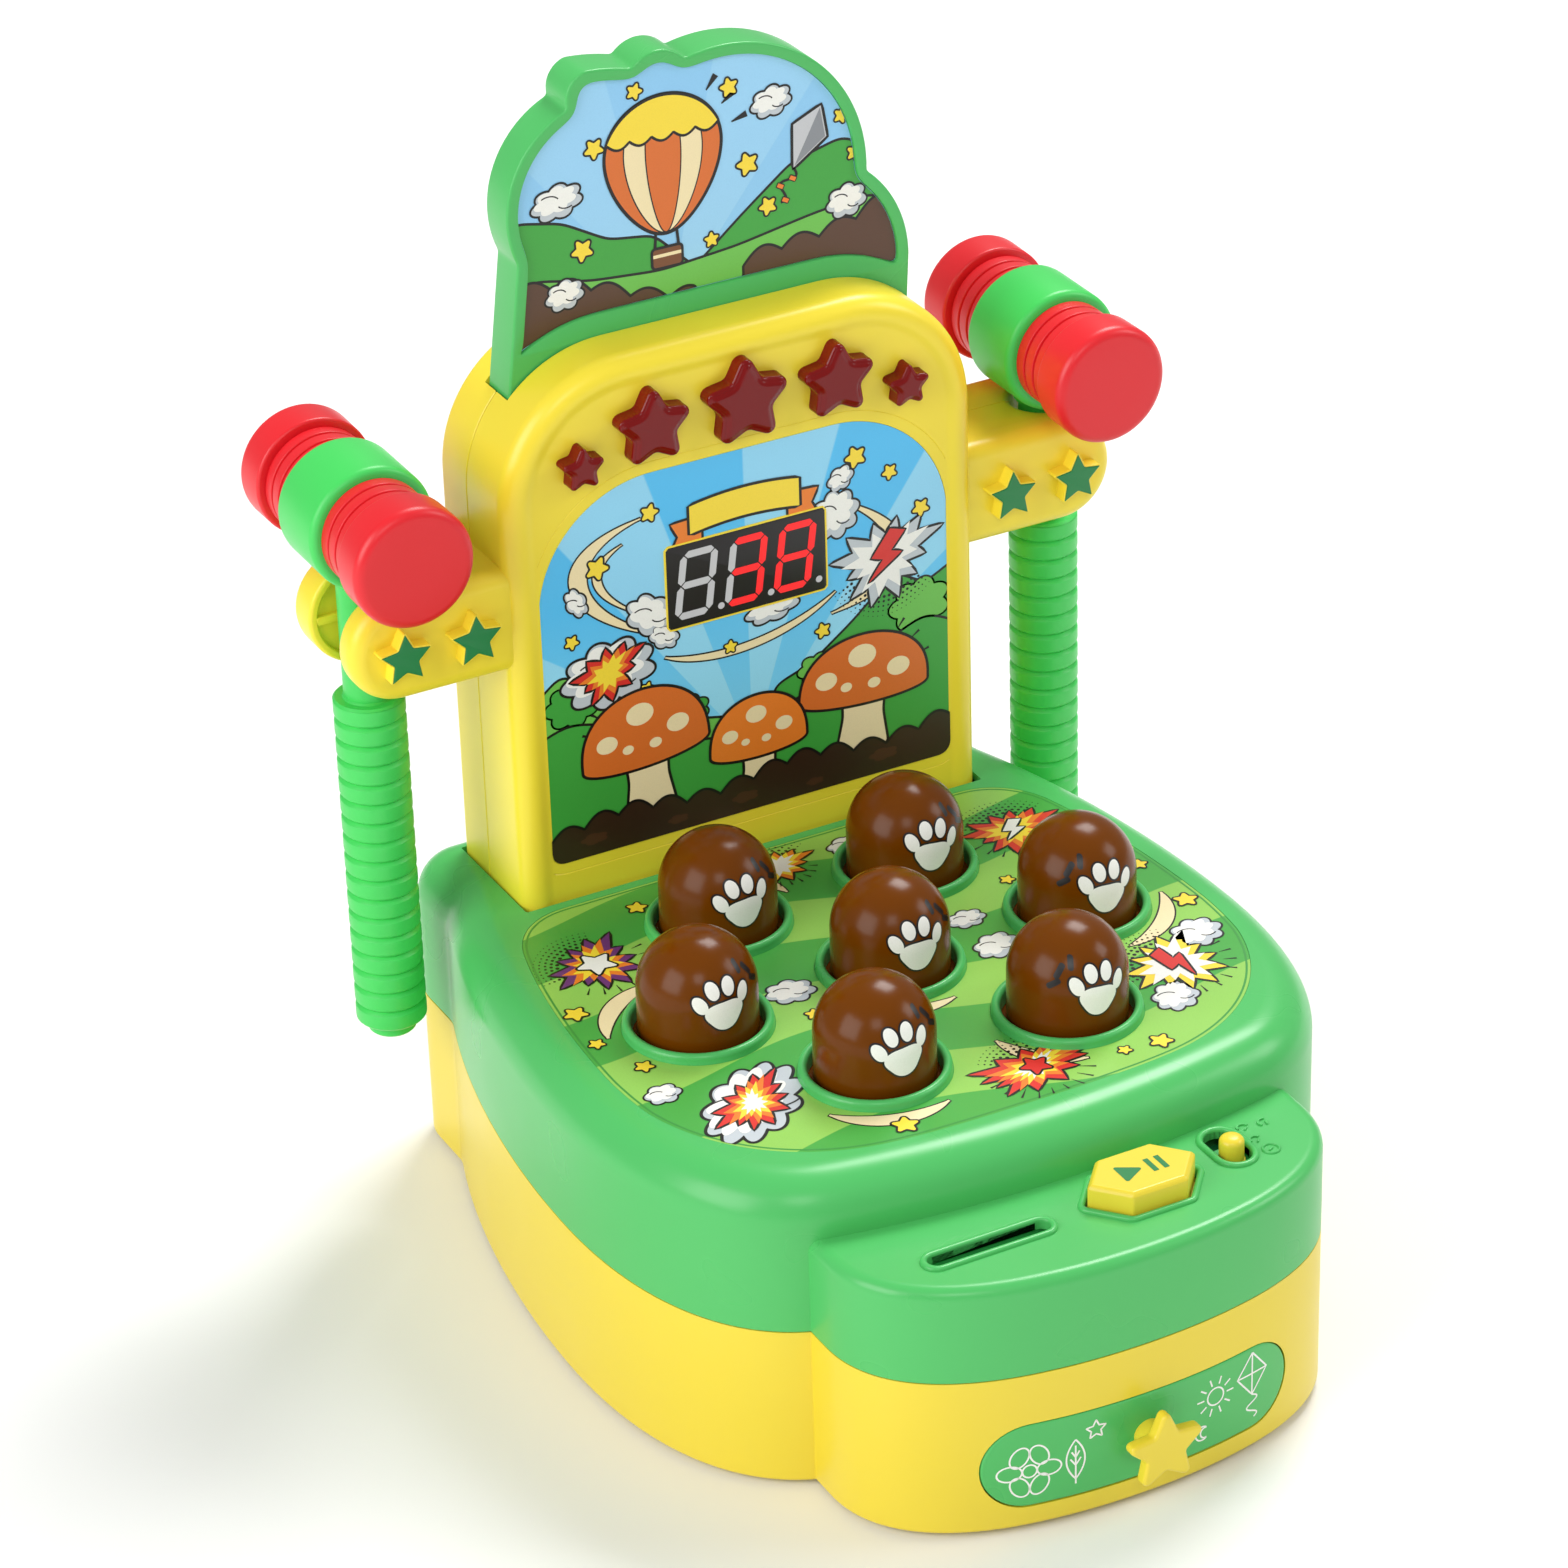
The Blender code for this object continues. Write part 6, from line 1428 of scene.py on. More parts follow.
def badgeInlay(x):
    steps = [(0, badgeFront - 0.7), (0, badgeFront + 0.1), (0.15, badgeFront + 0.2), (0.4, badgeFront + 0.22)]
    return upright(solid(inset(badgeOutline(x), badges["rim"] + badges["gap"]), steps))


badgePlaces = [side * x for side in (-1, 1) for x in badges["xs"]]
frontCore = coreSurface(arm["coreFront"], tower["parting"] - tower["partGap"], True)
rearCore = coreSurface(tower["parting"] + tower["partGap"], arm["coreRear"], False)
makePiece("towerFront", joined(towerFrontSurface(), frontProngSurface(), frontCore, mirrored(frontCore),
                               *[badgeBlock(x) for x in badgePlaces]), towerLitYellow, "base", ["tower_front_shell"])


def rearTowerSurface():
    rear, parting, soft = -tower["rear"], -tower["parting"], tower["rearRounding"]
    lip, lipRise = tower["partLip"]
    steps = [(soft + 0.3, rear)] + rounding(soft, rear, 8, low=True)
    steps += [(0, parting - lipRise), (lip, parting - tower["partGap"])]
    return cutSurface(upright(solid(towerOutline, steps)), plateSlot)


ledge = solid(rectangleOutline(*arm["ledge"]), [(arm["ledgeEdge"], arm["ledgeLow"])] +
              rounding(arm["ledgeEdge"], arm["ledgeTop"], 3))
makePiece("towerRear", joined(rearTowerSurface(), rearProngSurface(), rearCore, mirrored(rearCore), ledge,
                              mirrored(ledge)), towerLitYellow, "base", ["tower_rear_shell"])
for k, x in enumerate(badgePlaces):
    makePiece("armStar_%d" % (k + 1), badgeInlay(x), badgeGreen, "base", ["arm_star_%d" % (k + 1)])
print("tower made")

# Score label, display and lamps
displayOutline = rectangleOutline(-display["halfWidth"], display["halfWidth"],
                                  display["z"] - display["halfHeight"], display["z"] + display["halfHeight"],
                                  display["corner"])
labelFront = -panel["labelFace"]
panelEdge = anticlockwise(resampled(panelOutline, 400))
scoreSheet = upright(slab([inset(panelEdge, panel["gap"]), inset(displayOutline, -display["gap"])],
                          labelFront - panel["thickness"], labelFront))
makePiece("scoreLabel", scoreSheet, scoreSky, "base", ["score_label"])


# Land: a softened outline through the given top points, closed along a floor line
def landOutline(tops, floor, count=260, rounds=10):
    tops = np.array(tops, float)
    return softened(resampled(np.vstack([tops, [(tops[-1, 0], floor), (tops[0, 0], floor)]]), count), rounds)


# Soil whose top is a row of round lumps: level + lump |sin(pi x / pitch)|
def soilOutline(x0, x1, level, floor, pitch, lump, slope=0):
    x = np.linspace(x0, x1, 220)
    top = level + slope * x + lump * np.abs(np.sin(np.pi * x / pitch)) + lump * 0.5 * np.sin(x * 0.11)
    low = np.column_stack([x[::-1], np.full(len(x), float(floor))])
    share = np.linspace(0, 1, 40)[1:-1, None]
    left, right = np.array([x0, top[0]]), np.array([x1, top[-1]])
    return np.vstack([np.column_stack([x, top]), right + (low[0] - right) * share, low,
                      low[-1] + (left - low[-1]) * share])


def drawnToadstool(x, y, width, height, tone, level, lean=0):
    stem = [(-0.2, 0), (-0.15, 0.3), (-0.17, 0.62), (0.17, 0.62), (0.15, 0.3), (0.2, 0)]
    stem = softened(resampled(anticlockwise(np.array(stem) * [width, height]), 90), 3)
    t = np.linspace(0, np.pi, 40)
    dome = np.column_stack([0.5 * np.cos(t), 0.5 + 0.5 * np.sin(t) ** 0.8])
    hem = np.column_stack([-0.5 * np.cos(t), 0.5 - 0.1 * np.sin(t)])[1:-1]
    cap = np.vstack([dome, hem]) * [width, height]
    shadow = np.column_stack([np.cos(allTurns) * 0.3, np.sin(allTurns) * 0.05 + 0.47]) * [width, height]
    shapes = outlinedShape(turned(stem, lean, x, y), "cream", level, 0.9)
    shapes.append((turned(shadow, lean, x, y), "shade", level + 2))
    shapes += outlinedShape(turned(cap, lean, x, y), tone, level + 2, 0.9)
    for a, b, size in ((-0.3, 0.66, 0.085), (-0.02, 0.82, 0.11), (0.27, 0.66, 0.09), (0.08, 0.56, 0.05),
                       (-0.14, 0.57, 0.045)):
        spot = circleOutline(0, 0, size * width, 24) * [1, 0.8] + [a * width, b * height]
        shapes.append((turned(spot, lean, x, y), "cream", level + 4))
    return shapes


# A blank ribbon: an arched band whose ends fold down behind it
def drawnRibbon(x, y, halfLength, height, bend, level):
    a = np.linspace(-1, 1, 30)
    arch = np.column_stack([a * halfLength, -bend * a * a])
    band = np.vstack([arch + [0, -height / 2], (arch + [0, height / 2])[::-1]]) + [x, y]
    shapes = []
    for side in (-1, 1):
        tail = np.array([(halfLength - 3.5, -bend - height * 0.85), (halfLength + 6, -bend - height),
                         (halfLength + 3.8, -bend - height * 0.5), (halfLength + 6, -bend),
                         (halfLength - 3.5, -bend + 0.5)])
        shapes += outlinedShape(tail * [side, 1] + [x, y], "orange", level, 0.8)
    return shapes + outlinedShape(band, "starYellow", level + 2, 0.9)


def drawnLand(art):
    return [shape for tops, tone, level in art["land"]
            for shape in outlinedShape(landOutline(tops, art["floor"]), tone, level, 0.8)]


# The rest of a picture is rows of (drawing function, its values)
def drawnRows(rows):
    return [shape for draw, *values in rows for shape in draw(*values)]


# Prints a picture on an upright sheet whose face lies at a level, and holds it inside the sheet's edge
def printUpright(name, shapes, art, face, edge):
    printPiece(name, shapes, lambda points, height: upright((raised(points, face + height), []))[0], "base",
               lift=art["lift"], base=art["lift"],
               keep=lambda points: keptInside(points, edge, art["middle"], art["margin"]))


scoreArt = {
    "floor": 100,
    "land": (
        (((-70, 160), (-60, 168), (-46, 160), (-34, 146), (-20, 143), (-6, 140), (0, 120)), "hillLight", 0),
        (((4, 120), (8, 146), (20, 150), (34, 160), (48, 172), (58, 166), (70, 172)), "hill", 0),
        (((-70, 148), (-58, 152), (-44, 148), (-30, 138), (-10, 134), (10, 138), (26, 144), (44, 150), (58, 156),
          (70, 150)), "hill", 2)),
    "bushes": ((-57, 158, 17, 14), (56, 160, 20, 17), (-20, 146, 13, 10),
               (22, 148, 13, 10)),
    "clouds": ((-31, 180, 17, 12, 7), (29, 196, 16, 15, 8), (31, 207, 9, 7, 6),
               (8, 172, 18, 9, 7), (-27, 172, 10, 7, 6), (-54, 190, 10, 6, 6)),
    "stars": ((-30, 212, 3), (-47, 199, 3.8), (47, 205, 2.6), (36, 212.5, 3.6), (-56, 178, 2.4),
              (57, 191, 3), (-6, 163, 2.2), (24, 160, 2.6), (-33, 157, 2.2)),
    "rows": (
        (drawnSwoosh, -2, 188, 52, 22, 2.3, 4.3, 5.6, "cream", 2, -0.2),
        (drawnSwoosh, -2, 188, 46, 17, 2.6, 4, 2.6, "cream", 2, -0.2),
        (drawnSwoosh, -2, 188, 52, 22, 5.4, 7.2, 5.6, "cream", 2, -0.2),
        (drawnSwoosh, 0, 186, 41, 24, 3.9, 5.4, 4, "cream", 2, 0.15),
        (drawnBurst, 45, 178, 16.5, ("shade", "white"), 12, 0.3, 5, 0.8),
        (drawnBolt, 45, 178.5, 8.6, "fire", 9, -0.3),
        (drawnDots, 45, 178, 12.5, 5, 3.6, 5.6, "black", 4, 1.5, 0.5),
        (drawnCloud, -45, 165, 30, 21, 9, 0.1, 5),
        (drawnBurst, -45, 165.5, 11, ("fire", "orange", "starYellow"), 10, 0.5, 9, 0.75),
        (drawnRibbon, 0, 208, 17.5, 8.6, 1.6, 6),
        (drawnToadstool, -33, 116, 40, 41, "toadstool", 5, 0.06),
        (drawnToadstool, 36, 118, 42, 37, "toadstool", 5, -0.05),
        (drawnToadstool, 2, 112, 31, 33, "orange", 8, 0),
        (drawnRays, -33, 140, 19, 22.5, 3, 2.2, 2.8, 0.9, 5),
        (drawnRays, 36, 138, 20.5, 24, 3, 0.3, 0.9, 0.9, 5)),
    "soil": (-70, 70, 117.5, 100, 11, 3.4, 0.02), "soilLevel": 13,
    "lumps": ((-52, 113.5, 9), (-25, 112, 7), (-3, 113, 9), (20, 111.5, 6), (43, 114, 10)),
    "lumpLevel": 15, "middle": (0, 166), "lift": 0.02, "margin": 0.15,
}
scoreShapes = drawnLand(scoreArt)
for x, y, width, height in scoreArt["bushes"]:
    scoreShapes += outlinedShape(cloudOutline(x, y, width, height, 7), "hillLight" if x > 0 else "hill", 1)
for x, y, width, height, lobes in scoreArt["clouds"]:
    scoreShapes += drawnCloud(x, y, width, height, lobes, x * 0.02, 4)
for x, y, radius in scoreArt["stars"]:
    scoreShapes += drawnStar(x, y, radius, x * 0.01)
scoreShapes += drawnRows(scoreArt["rows"])
scoreShapes += outlinedShape(soilOutline(*scoreArt["soil"]), "soil", scoreArt["soilLevel"], 0.8)
scoreShapes += [(cloudOutline(x, y, width, width * 0.42, 5), "lumps", scoreArt["lumpLevel"])
                for x, y, width in scoreArt["lumps"]]
printUpright("scorePrint", scoreShapes, scoreArt, labelFront, panelEdge)

screen = solid(displayOutline, [(0, -display["back"]), (0, -display["front"] - 0.25),
                                (0.08, -display["front"] - 0.08), (0.3, -display["front"])])
makePiece("digitDisplay", upright(screen), displayBlack, "base", ["digit_display"])
# a fine yellow line round the window
windowLine = stacked(resampled(displayOutline, 120), [(d, labelFront + rise) for d, rise in display["frame"]],
                     wrapRows=True)
makePiece("displayEdge", upright(windowLine), inks["starYellow"], "base")


# Seven segments on a slant, each a bar with pointed ends
def digitShapes(x, lit):
    w, h, gap = display["digitWidth"] / 2, display["digitHeight"] / 2, display["segmentGap"]
    thick = display["segment"] / 2

    def flat(middle, level, length):
        return np.array([(middle - length, level), (middle - length + thick, level - thick),
                         (middle + length - thick, level - thick), (middle + length, level),
                         (middle + length - thick, level + thick), (middle - length + thick, level + thick)])

    def tall(middle, level):
        return flat(0, 0, h / 2 - gap) @ np.array([[0, 1], [-1, 0]]) + [middle, level]

    parts = {"a": flat(0, h, w - gap), "g": flat(0, 0, w - gap), "d": flat(0, -h, w - gap), "b": tall(w, h / 2),
             "c": tall(w, -h / 2), "e": tall(-w, -h / 2), "f": tall(-w, h / 2)}
    return [(np.column_stack([shape[:, 0] + shape[:, 1] * display["slant"] + x, shape[:, 1] + display["z"]]),
             "digitRed" if key in lit else "digitOff", 1) for key, shape in parts.items()]


def onDisplay(points, height):
    return np.column_stack([points[:, 0], np.full(len(points), display["front"] - height), points[:, 1]])


digits = [shape for x, lit in display["digits"] for shape in digitShapes(x, lit)]
digits += [(circleOutline(x, display["z"] - display["dotDrop"], display["dotRadius"], 24), "digitOff", 1)
           for x in display["dots"]]
printPiece("displayDigits", digits, onDisplay, "base")


# Star lamp: side, round, then a bevel that climbs to the flat star as 1 - (1 - share)^1.6
def starLampSurface(x, z, share):
    tip, size = lamps["tip"] * share, 0.45 + 0.55 * share
    outline = resampled(starOutline(x, z, lamps["radius"] * share, lamps["valley"], tip, tip), 260)
    front, bevel, slope = -(panel["face"] - lamps["rise"]), lamps["bevel"] * size, lamps["slope"] * size
    steps = [(0, -82), (0, -80.5), (0.12, -80)]
    steps += rounding(lamps["rounding"] * size, front - bevel, 8, start=0.12)
    steps += [(steps[-1][0] + slope * v, front - bevel * (1 - v) ** 1.6) for v in (0.15, 0.4, 0.65, 0.85, 1)]
    return upright(solid(outline, flatEdge(front, steps, 0.3 * size)))


for k, place in enumerate(lamps["places"]):
    makePiece("starLamp_%d" % (k + 1), starLampSurface(*place), lampRed, "base", ["star_lamp_%d" % (k + 1)])
print("score panel made")

# Picture plate: a lobed outline, each lobe an arc over its chord
plate = {
    "halfWidth": 64.4, "front": 97.5, "rear": 110.5, "cornerZ": 246.5, "height": 94.6, "tenon": 8, "rim": 3.5,
    "sill": 6.2, "recess": 1.4, "edge": 0.7, "labelThickness": 0.3, "labelGap": 0.12, "labelRise": 0.2,
    "shares": ((-0.985, 0, 0), (-0.904, 0.435, 0.21), (-0.637, 0.88, 0.205), (-0.548, 0.984, 0.03),
               (-0.3245, 0.96, 0.24), (-0.073, 0.955, 0.253), (0.798, 0.468, 0.11), (1, 0.174, 0),
               (0.985, 0, 0)),
}


def plateLobes():
    corners = [(x * plate["halfWidth"], plate["cornerZ"] + z * plate["height"], bulge)
               for x, z, bulge in plate["shares"]]
    points = [np.array([corners[0][:2]])]
    for (x0, z0, bulge), (x1, z1, _) in zip(corners, corners[1:]):
        start, end = np.array([x0, z0]), np.array([x1, z1])
        share = np.linspace(0, 1, 41)[1:]
        chord = end - start
        left = np.array([-chord[1], chord[0]])
        half = 2 * math.atan(2 * bulge) if bulge else 0
        if half:
            swing = np.linspace(-half, half, 41)[1:]
            along = 0.5 + np.sin(swing) / (2 * math.sin(half))
            out = (np.cos(swing) - math.cos(half)) / (2 * math.sin(half))
            points.append(start + chord * along[:, None] + left * out[:, None])
        else:
            points.append(start + chord * share[:, None])
    return np.vstack(points)


lobes = plateLobes()
plateFoot = plate["cornerZ"] - plate["tenon"]
plateOutline = np.vstack([[(lobes[0, 0], plateFoot)], lobes, [(lobes[-1, 0], plateFoot)]])
plateOutline = softened(resampled(anticlockwise(plateOutline), 640), 2)


# The picture keeps the rim's width from the lobes above and the sill's width from the tower's arch below
def pictureOutline(shrink=0):
    edge = resampled(inset(plateOutline, plate["rim"] + shrink), 640)
    side = tower["halfWidth"] - tower["corner"]
    drop = tower["corner"] + plate["sill"] + shrink
    across = np.abs(edge[:, 0])
    arch = np.where(across < side, tower["top"] + plate["sill"] + shrink,
                    tower["top"] - tower["corner"] + np.sqrt(np.maximum(drop ** 2 - (across - side) ** 2, 0)))
    return softened(resampled(np.column_stack([edge[:, 0], np.maximum(edge[:, 1], arch)]), 560), 24)


def frameSurface():
    front, rear, edge = -plate["front"], -plate["rear"], plate["edge"]
    seat = pictureOutline()
    steps = rounding(edge, rear, 6, low=True) + rounding(edge, front, 6)
    outside = np.array([raised(inset(plateOutline, d), c)
                        for d, c in [(edge + 0.3, rear)] + steps + [(edge + 0.3, front)]])
    soft = inset(seat, -0.5)
    ring = [raised(soft, front), raised(inset(seat, -0.12), front - 0.15), raised(seat, front - 0.5),
            raised(seat, front - plate["recess"] - 0.3)]
    return upright(joined(loft(outside, capLow=True), filled([outside[-1][:, :2], soft], front),
                          loft(np.array(ring), capHigh=True)))


makePiece("pictureFrame", frameSurface(), green, "base", ["picture_frame"])
pictureFace = plate["front"] + plate["recess"] - plate["labelRise"]
pictureEdge = inset(pictureOutline(), plate["labelGap"])
makePiece("pictureLabel", upright(slab([pictureEdge], -pictureFace - plate["labelThickness"], -pictureFace)),
          plateSky, "base", ["picture_label"])


# A balloon: rounded above and drawn in below, with gores as the same outline in narrower widths
def drawnBalloon(x, y, radius, level):
    t = allTurns
    taper = 1 - 0.34 * ((1 - np.cos(t)) / 2) ** 2
    shape = np.column_stack([radius * np.sin(t) * taper, radius * np.cos(t) * (1 + 0.12 * (np.cos(t) < 0))])
    shapes = []
    gores = ((1, "toadstool", 1), (0.68, "cream", 0.4), (0.3, "toadstool", 0.4))
    for k, (width, tone, edge) in enumerate(gores):
        shapes += outlinedShape(shape * [width, 1 - 0.004 * k] + [x, y], tone, level + k * 2, edge)
    # the yellow crown ends in scallops
    crown = t[(t < 0.36 * np.pi) | (t > 1.64 * np.pi)]
    crown = np.sort((crown + np.pi) % (2 * np.pi) - np.pi)
    top = np.column_stack([radius * np.sin(crown), radius * np.cos(crown)])
    low = np.linspace(top[-1, 0], top[0, 0], 60)
    scallops = np.abs(np.sin(np.pi * 2.5 * (low / top[-1, 0] + 1)))
    hem = np.column_stack([low, top[0, 1] - radius * 0.1 * scallops])
    shapes += outlinedShape(np.vstack([top, hem[1:-1]]) * 0.995 + [x, y], "starYellow", level + 6, 0.8)
    basket, half = y - radius * 1.52, radius * 0.23
    for side in (-1, 1):
        rope = np.array([(radius * 0.17 * side, -radius * 1.1), (radius * 0.2 * side, -radius * 1.42)]) + [x, y]
        shapes.append((strokeOutline(rope, 0.9), "black", level + 1))
    deep = radius * 0.14
    shapes += outlinedShape(rectangleOutline(x - half, x + half, basket - deep, basket + deep, 0.8), "wicker",
                            level + 2, 0.8)
    band = rectangleOutline(x - half, x + half, basket + 0.2, basket + 1.2, 0.2)
    return shapes + [(band, "cream", level + 4)]


def drawnKite(x, y, size, level, spin):
    corners = np.array([(0, 1), (0.62, 0.2), (0, -1), (-0.62, 0.2)]) * size
    shapes = outlinedShape(turned(corners, spin, x, y), "greyLight", level, 0.9)
    shapes.append((turned(corners[[0, 1, 2]] * 0.94, spin, x, y), "grey", level + 2))
    t = np.linspace(0, 1, 30)
    tail = np.column_stack([size * 0.2 * np.sin(t * 9), -size - t * size * 1.1])
    shapes.append((turned(strokeOutline(tail, 0.8), spin, x, y), "black", level))
    bow = roundedPolygon(np.array([(-1.5, 0.9), (-1.5, -0.9), (1.5, -0.9), (1.5, 0.9)]) * size * 0.07, 0.1, 2)
    for knot in tail[[8, 17, 26]]:
        shapes += outlinedShape(turned(bow + knot, spin, x, y), "orange", level + 2, 0.3)
    return shapes


pictureArt = {
    "floor": 240, "soilLevel": 4, "middle": (0, 292), "lift": 0.02, "margin": 0.15,
    "land": (
        (((-70, 294), (-58, 299), (-44, 296), (-30, 288), (-16, 286), (0, 270), (4, 255)), "hill", 0),
        (((-12, 255), (-8, 270), (12, 286), (28, 298), (44, 302), (56, 296), (70, 288)), "hill", 0),
        (((-70, 276), (-54, 281), (-36, 277), (-14, 275), (10, 277), (34, 281), (52, 283), (70, 276)),
         "hillLight", 2)),
    "soils": ((-70, -4, 265, 240, 12, 3.2, -0.22), (12, 70, 266, 240, 12, 3.2, 0.24)),
    "clouds": ((-45, 303, 16, 10, 7), (22, 318, 13, 9, 7), (45, 283, 13, 10, 7),
               (-44, 275, 12, 9, 7)),
    "stars": ((-33, 316, 3.2), (-38, 287, 3.6), (9, 325, 3), (14, 301, 3.6), (48, 297, 2.8),
              (20, 287, 3), (-20, 330, 2.6), (2, 281, 2.4), (44, 309, 2.6)),
    "rows": ((drawnBalloon, -12, 308, 19, 6), (drawnKite, 33, 305, 9.5, 6, -0.5),
             (drawnRays, -12, 308, 22.5, 27.5, 3, 0.3, 0.9, 2, 5)),
}
pictureShapes = drawnLand(pictureArt)
for values in pictureArt["soils"]:
    pictureShapes += outlinedShape(soilOutline(*values), "plateSoil", pictureArt["soilLevel"], 0.8)
for values in pictureArt["clouds"]:
    pictureShapes += drawnCloud(*values, 0.2, 6)
for x, y, radius in pictureArt["stars"]:
    pictureShapes += drawnStar(x, y, radius, x * 0.02)
pictureShapes += drawnRows(pictureArt["rows"])
printUpright("picturePrint", pictureShapes, pictureArt, -pictureFace,
             anticlockwise(resampled(pictureEdge, 560)))
print("picture plate made")

# Hammers
hammer = {
    "x": 110, "y": 101, "z": 223.8, "halfLength": 40, "collar": 18.7, "collarHalf": 12,
    "collarRounding": 2.2, "bore": 12.3, "headGap": 0.3, "headRoot": 8, "headBore": 12, "bellows": 15.8,
    "ribs": 3, "rib": 4.8, "groove": 1.5, "grooveSteps": (1.1, 0.75, 0.3), "cap": 18, "capRounding": 3,
    "handle": 166, "neck": 7.1, "neckEnd": 14, "grip": 106, "gripRadius": 10.3, "gripGroove": 1.2,
    "gripRibs": 17, "plug": 6.9, "plugLength": 3.7,
}


def collarSurface():
    half, radius, soft, bore = (hammer[key] for key in ("collarHalf", "collar", "collarRounding", "bore"))
    corners = [(bore, -half), (radius, -half), (radius, half), (bore, half), (bore, -half)]
    return lathe(roundedProfile(corners, (0, soft, soft, 0, 0)), 128)


# One head: ribs parted by narrow grooves, from the collar out to the striking cap
def bellowsSurface():
    start, face, radius = hammer["collarHalf"] + hammer["headGap"], hammer["halfLength"], hammer["bellows"]
    bore, root = hammer["headBore"], start - hammer["headRoot"]
    crown, drop, foot = hammer["grooveSteps"]
    corners, radii = [(0, root), (bore, root), (bore, start), (radius, start)], [0, 0, 0, 0]
    for k in range(hammer["ribs"]):
        last = k == hammer["ribs"] - 1
        top = start + (k + 1) * hammer["rib"]
        low = radius - hammer["groove"] * (1.5 if last else 1)
        corners += [(radius, top - crown), (low, top - drop), (low, top - foot), (low if last else radius, top)]
        radii += [0.35, 0.15, 0.15, 0.1 if last else 0.3]
    cap, ribsEnd = hammer["cap"], start + hammer["ribs"] * hammer["rib"]
    corners += [(cap - 0.2, ribsEnd + 0.1), (cap, face), (8, face), (0, face)]
    return lathe(roundedProfile(corners, radii + [1, hammer["capRounding"], 0, 0], 8), 128)


# The handle: a plug at its end, a grip of flat crowns parted by round grooves, and a neck up into the collar
def handleSurface():
    length, plug, grip, neck = (hammer[key] for key in ("handle", "plug", "gripRadius", "neck"))
    end, collar = -length + hammer["plugLength"], -hammer["collar"]
    top, pitch = end + hammer["grip"], hammer["grip"] / hammer["gripRibs"]
    wave = []
    for k in range(hammer["gripRibs"]):
        low = end + pitch * k
        for share in np.linspace(0, 1, 12, endpoint=False):
            depth = hammer["gripGroove"] * max(0, 1 - min(share, 1 - share) * 5) ** 1.5
            wave.append((grip - depth, low + pitch * share))
    foot = [(0, -length), (plug - 0.6, -length), (plug, -length + 0.6), (plug, end), (grip - 2.2, end)]
    head = [(grip, top - 0.6), (grip - 0.6, top), (neck + 0.5, top), (neck, top + 0.5), (neck, collar + 1.5),
            (neck + 0.6, collar + 0.6), (neck + 1.4, collar + 0.1), (neck + 1.4, -hammer["neckEnd"]),
            (0, -hammer["neckEnd"])]
    return lathe(foot + wave + head, 96)


for name, side in (("left", -1), ("right", 1)):
    x = side * hammer["x"]
    body = "hammer_" + name
    collar = upright(moved(collarSurface(), x, hammer["z"], -hammer["y"]))
    shaft = moved(handleSurface(), x, hammer["y"], hammer["z"])
    makePiece("hammerHandle_" + name, joined(collar, shaft), hammerGreen, body, ["hammer_handle_" + name])
    front = upright(moved(bellowsSurface(), x, hammer["z"], -hammer["y"]))
    makePiece("hammerHead_%s_front" % name, front, hammerRed, body, ["hammer_bellows_%s_front" % name])
    # the rear head is the front one mirrored in y about the hammer's middle
    points = front[0].copy()
    points[:, 1] = 2 * hammer["y"] - points[:, 1]
    makePiece("hammerHead_%s_rear" % name, flipped((points, front[1])), hammerRed, body,
              ["hammer_bellows_%s_rear" % name])
print("hammers made")

# Feet and the pieces that stay as they are
feet = {"profile": ((0, 0), (5.4, 0), (5.8, 0.15), (6, 0.5), (6, 1.5), (0, 1.5)),
        "places": ((-78.5, 109.9), (78.5, 109.9), (-61, -110.8), (61, -110.8))}
for k, place in enumerate(feet["places"]):
    makePiece("footPad_%d" % (k + 1), moved(lathe(feet["profile"], 48), *place), rubber, "base",
              ["foot_%d" % (k + 1)])
kept = {
    "main_board": boardGreen, "control_board": boardGreen, "display_board": boardGreen, "coin_chute": chuteGreen,
    "battery_1": cellWrap, "battery_2": cellWrap, "battery_3": cellWrap, "battery_contact_left": steel,
    "battery_contact_right": steel, "battery_door": yellow, "battery_door_screw": steel, "speaker": speakerDark,
}
for name, finish in kept.items():
    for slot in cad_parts[name].material_slots:
        slot.material = finish
print("kept nodes finished")


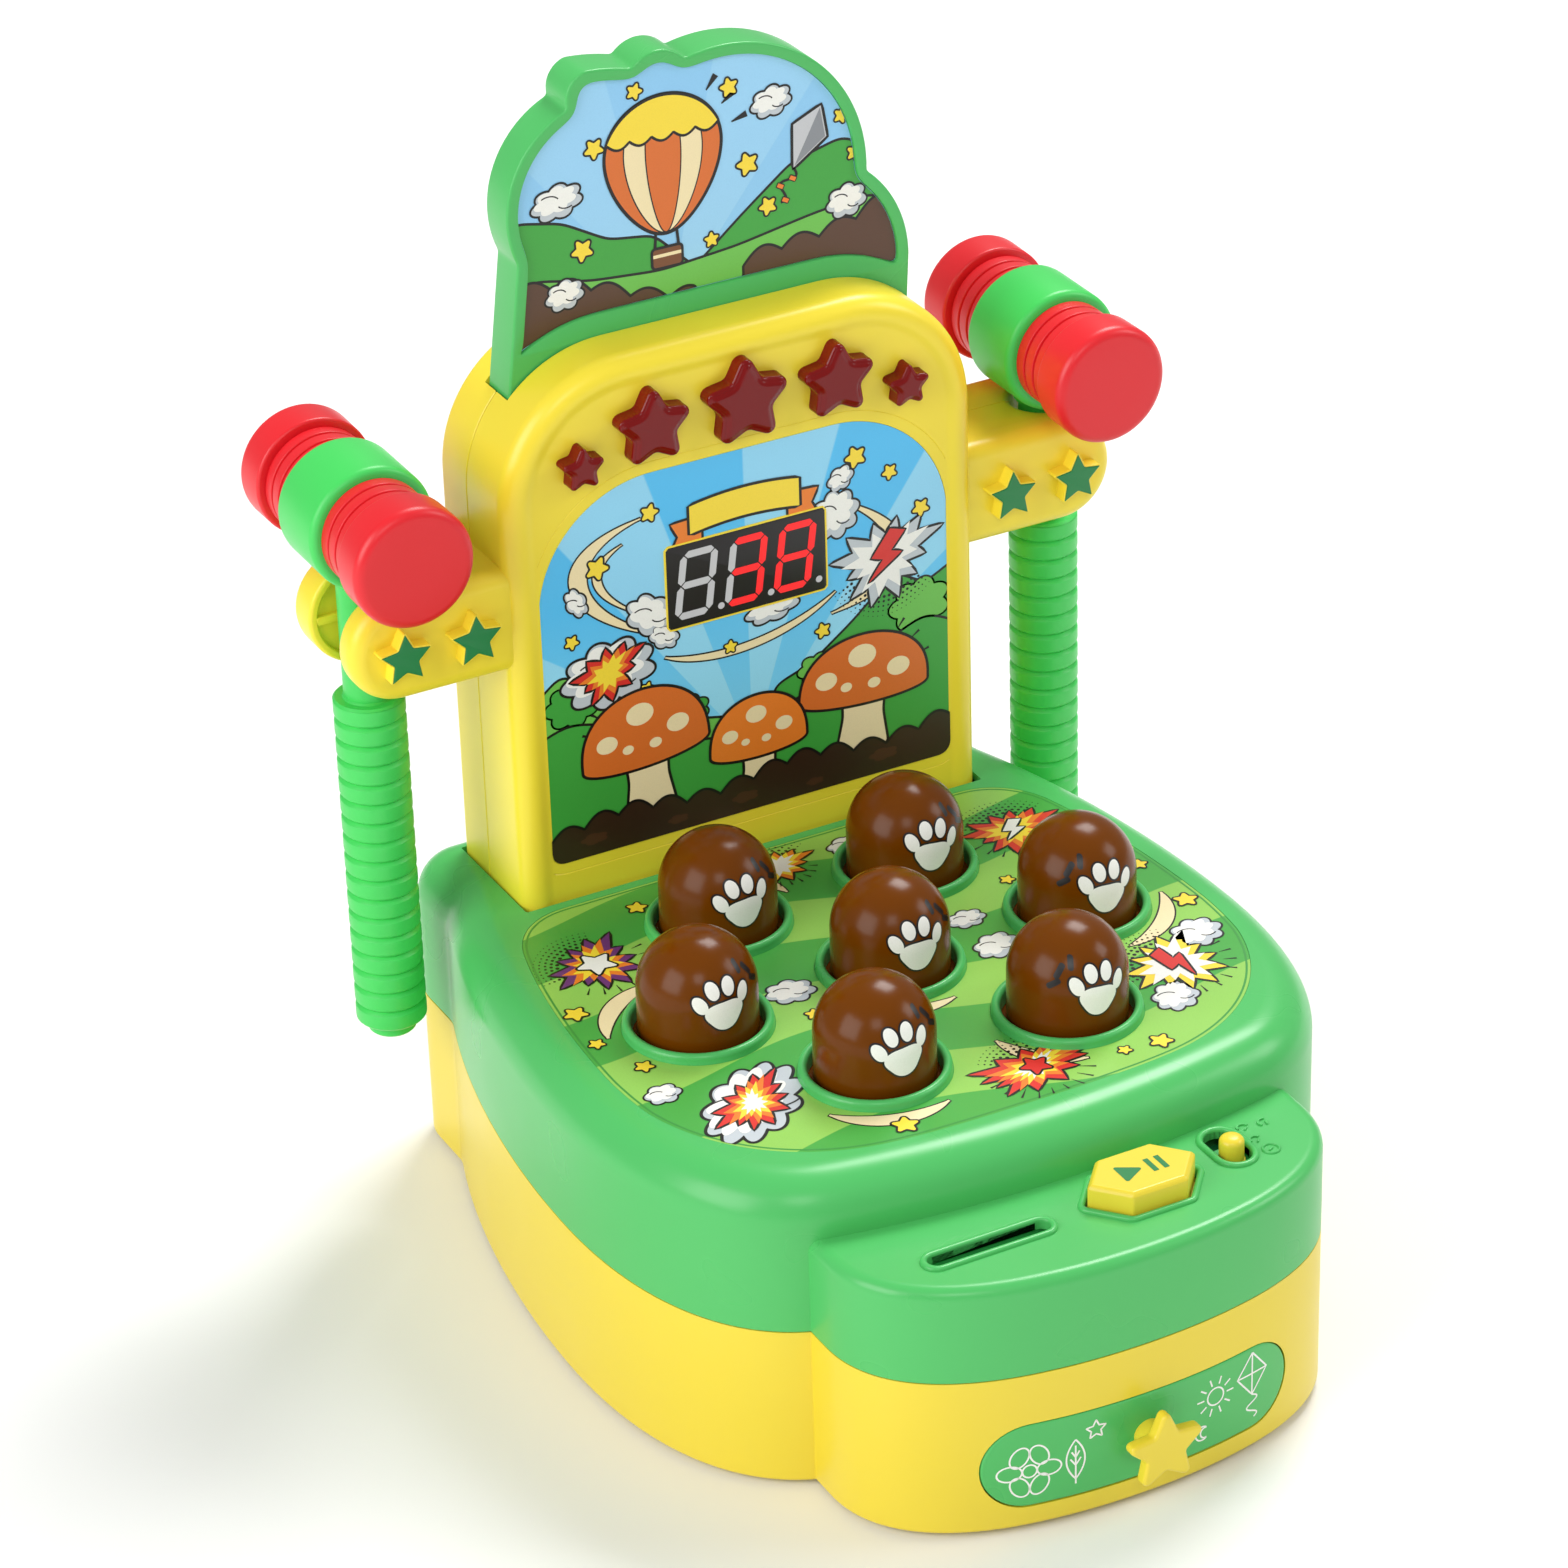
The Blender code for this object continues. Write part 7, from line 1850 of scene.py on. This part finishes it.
# Floor, lights and world
def makeFloor(reach, tone):
    mesh = bpy.data.meshes.new("floor")
    corners = raised(rectangleOutline(-reach, reach, -reach, reach), 0)
    mesh.from_pydata(corners.tolist(), [], [(0, 1, 2, 3)])
    made = bpy.data.objects.new("floor", mesh)
    link(made)
    finish, tree, shader, place = startMaterial("floorPaint")
    speck = noise(tree, place, 3, 2)
    tree.links.new(blendTones(tree, speck, scaled(tone, 0.995), tone), shader.inputs["Base Color"])
    shader.inputs["Roughness"].default_value = 0.7
    mesh.materials.append(finish)


def addLamp(name, place, target, size, power):
    lamp = bpy.data.lights.new(name, "AREA")
    lamp.shape = "SQUARE"
    lamp.size = size
    lamp.energy = power
    away = np.array(place, float) - np.array(target, float)
    away /= np.linalg.norm(away)
    side = np.cross([0, 0, 1], away)
    side /= np.linalg.norm(side)
    hang(name, lamp, side, np.cross(away, side), away, place)


# metres and watts: place, target, size and power of each lamp
studio = {
    "floorReach": 4, "floorTone": (0.93, 0.93, 0.925, 1), "worldLight": 0.38,
    "lamps": {"keyLight": ((1.1, 0.8, 2.1), (0, 0, 0.1), 0.9, 40),
              "frontLight": ((-0.8, -1.9, 1.9), (0, 0, 0.2), 0.8, 10),
              "leftLight": ((-2.2, -0.4, 1.2), (0, 0, 0.15), 1.6, 38),
              "sideLight": ((1.9, -0.9, 1.4), (0, 0, 0.15), 0.8, 12)},
}
makeFloor(studio["floorReach"], studio["floorTone"])
for name, values in studio["lamps"].items():
    addLamp(name, *values)

# the backdrop is white to the camera and dimmer as a light
world = bpy.data.worlds.new("studio")
world.use_nodes = True
bpy.context.scene.world = world
backdrop = world.node_tree.nodes["Background"]
backdrop.inputs["Color"].default_value = (1, 1, 1, 1)
rays = world.node_tree.nodes.new("ShaderNodeLightPath").outputs
seen = rays["Is Camera Ray"]
strength = addNode(world.node_tree, "ShaderNodeMapRange", i0=seen, i1=0, i2=1, i3=studio["worldLight"], i4=1)
world.node_tree.links.new(strength.outputs[0], backdrop.inputs["Strength"])
print("stage lit")
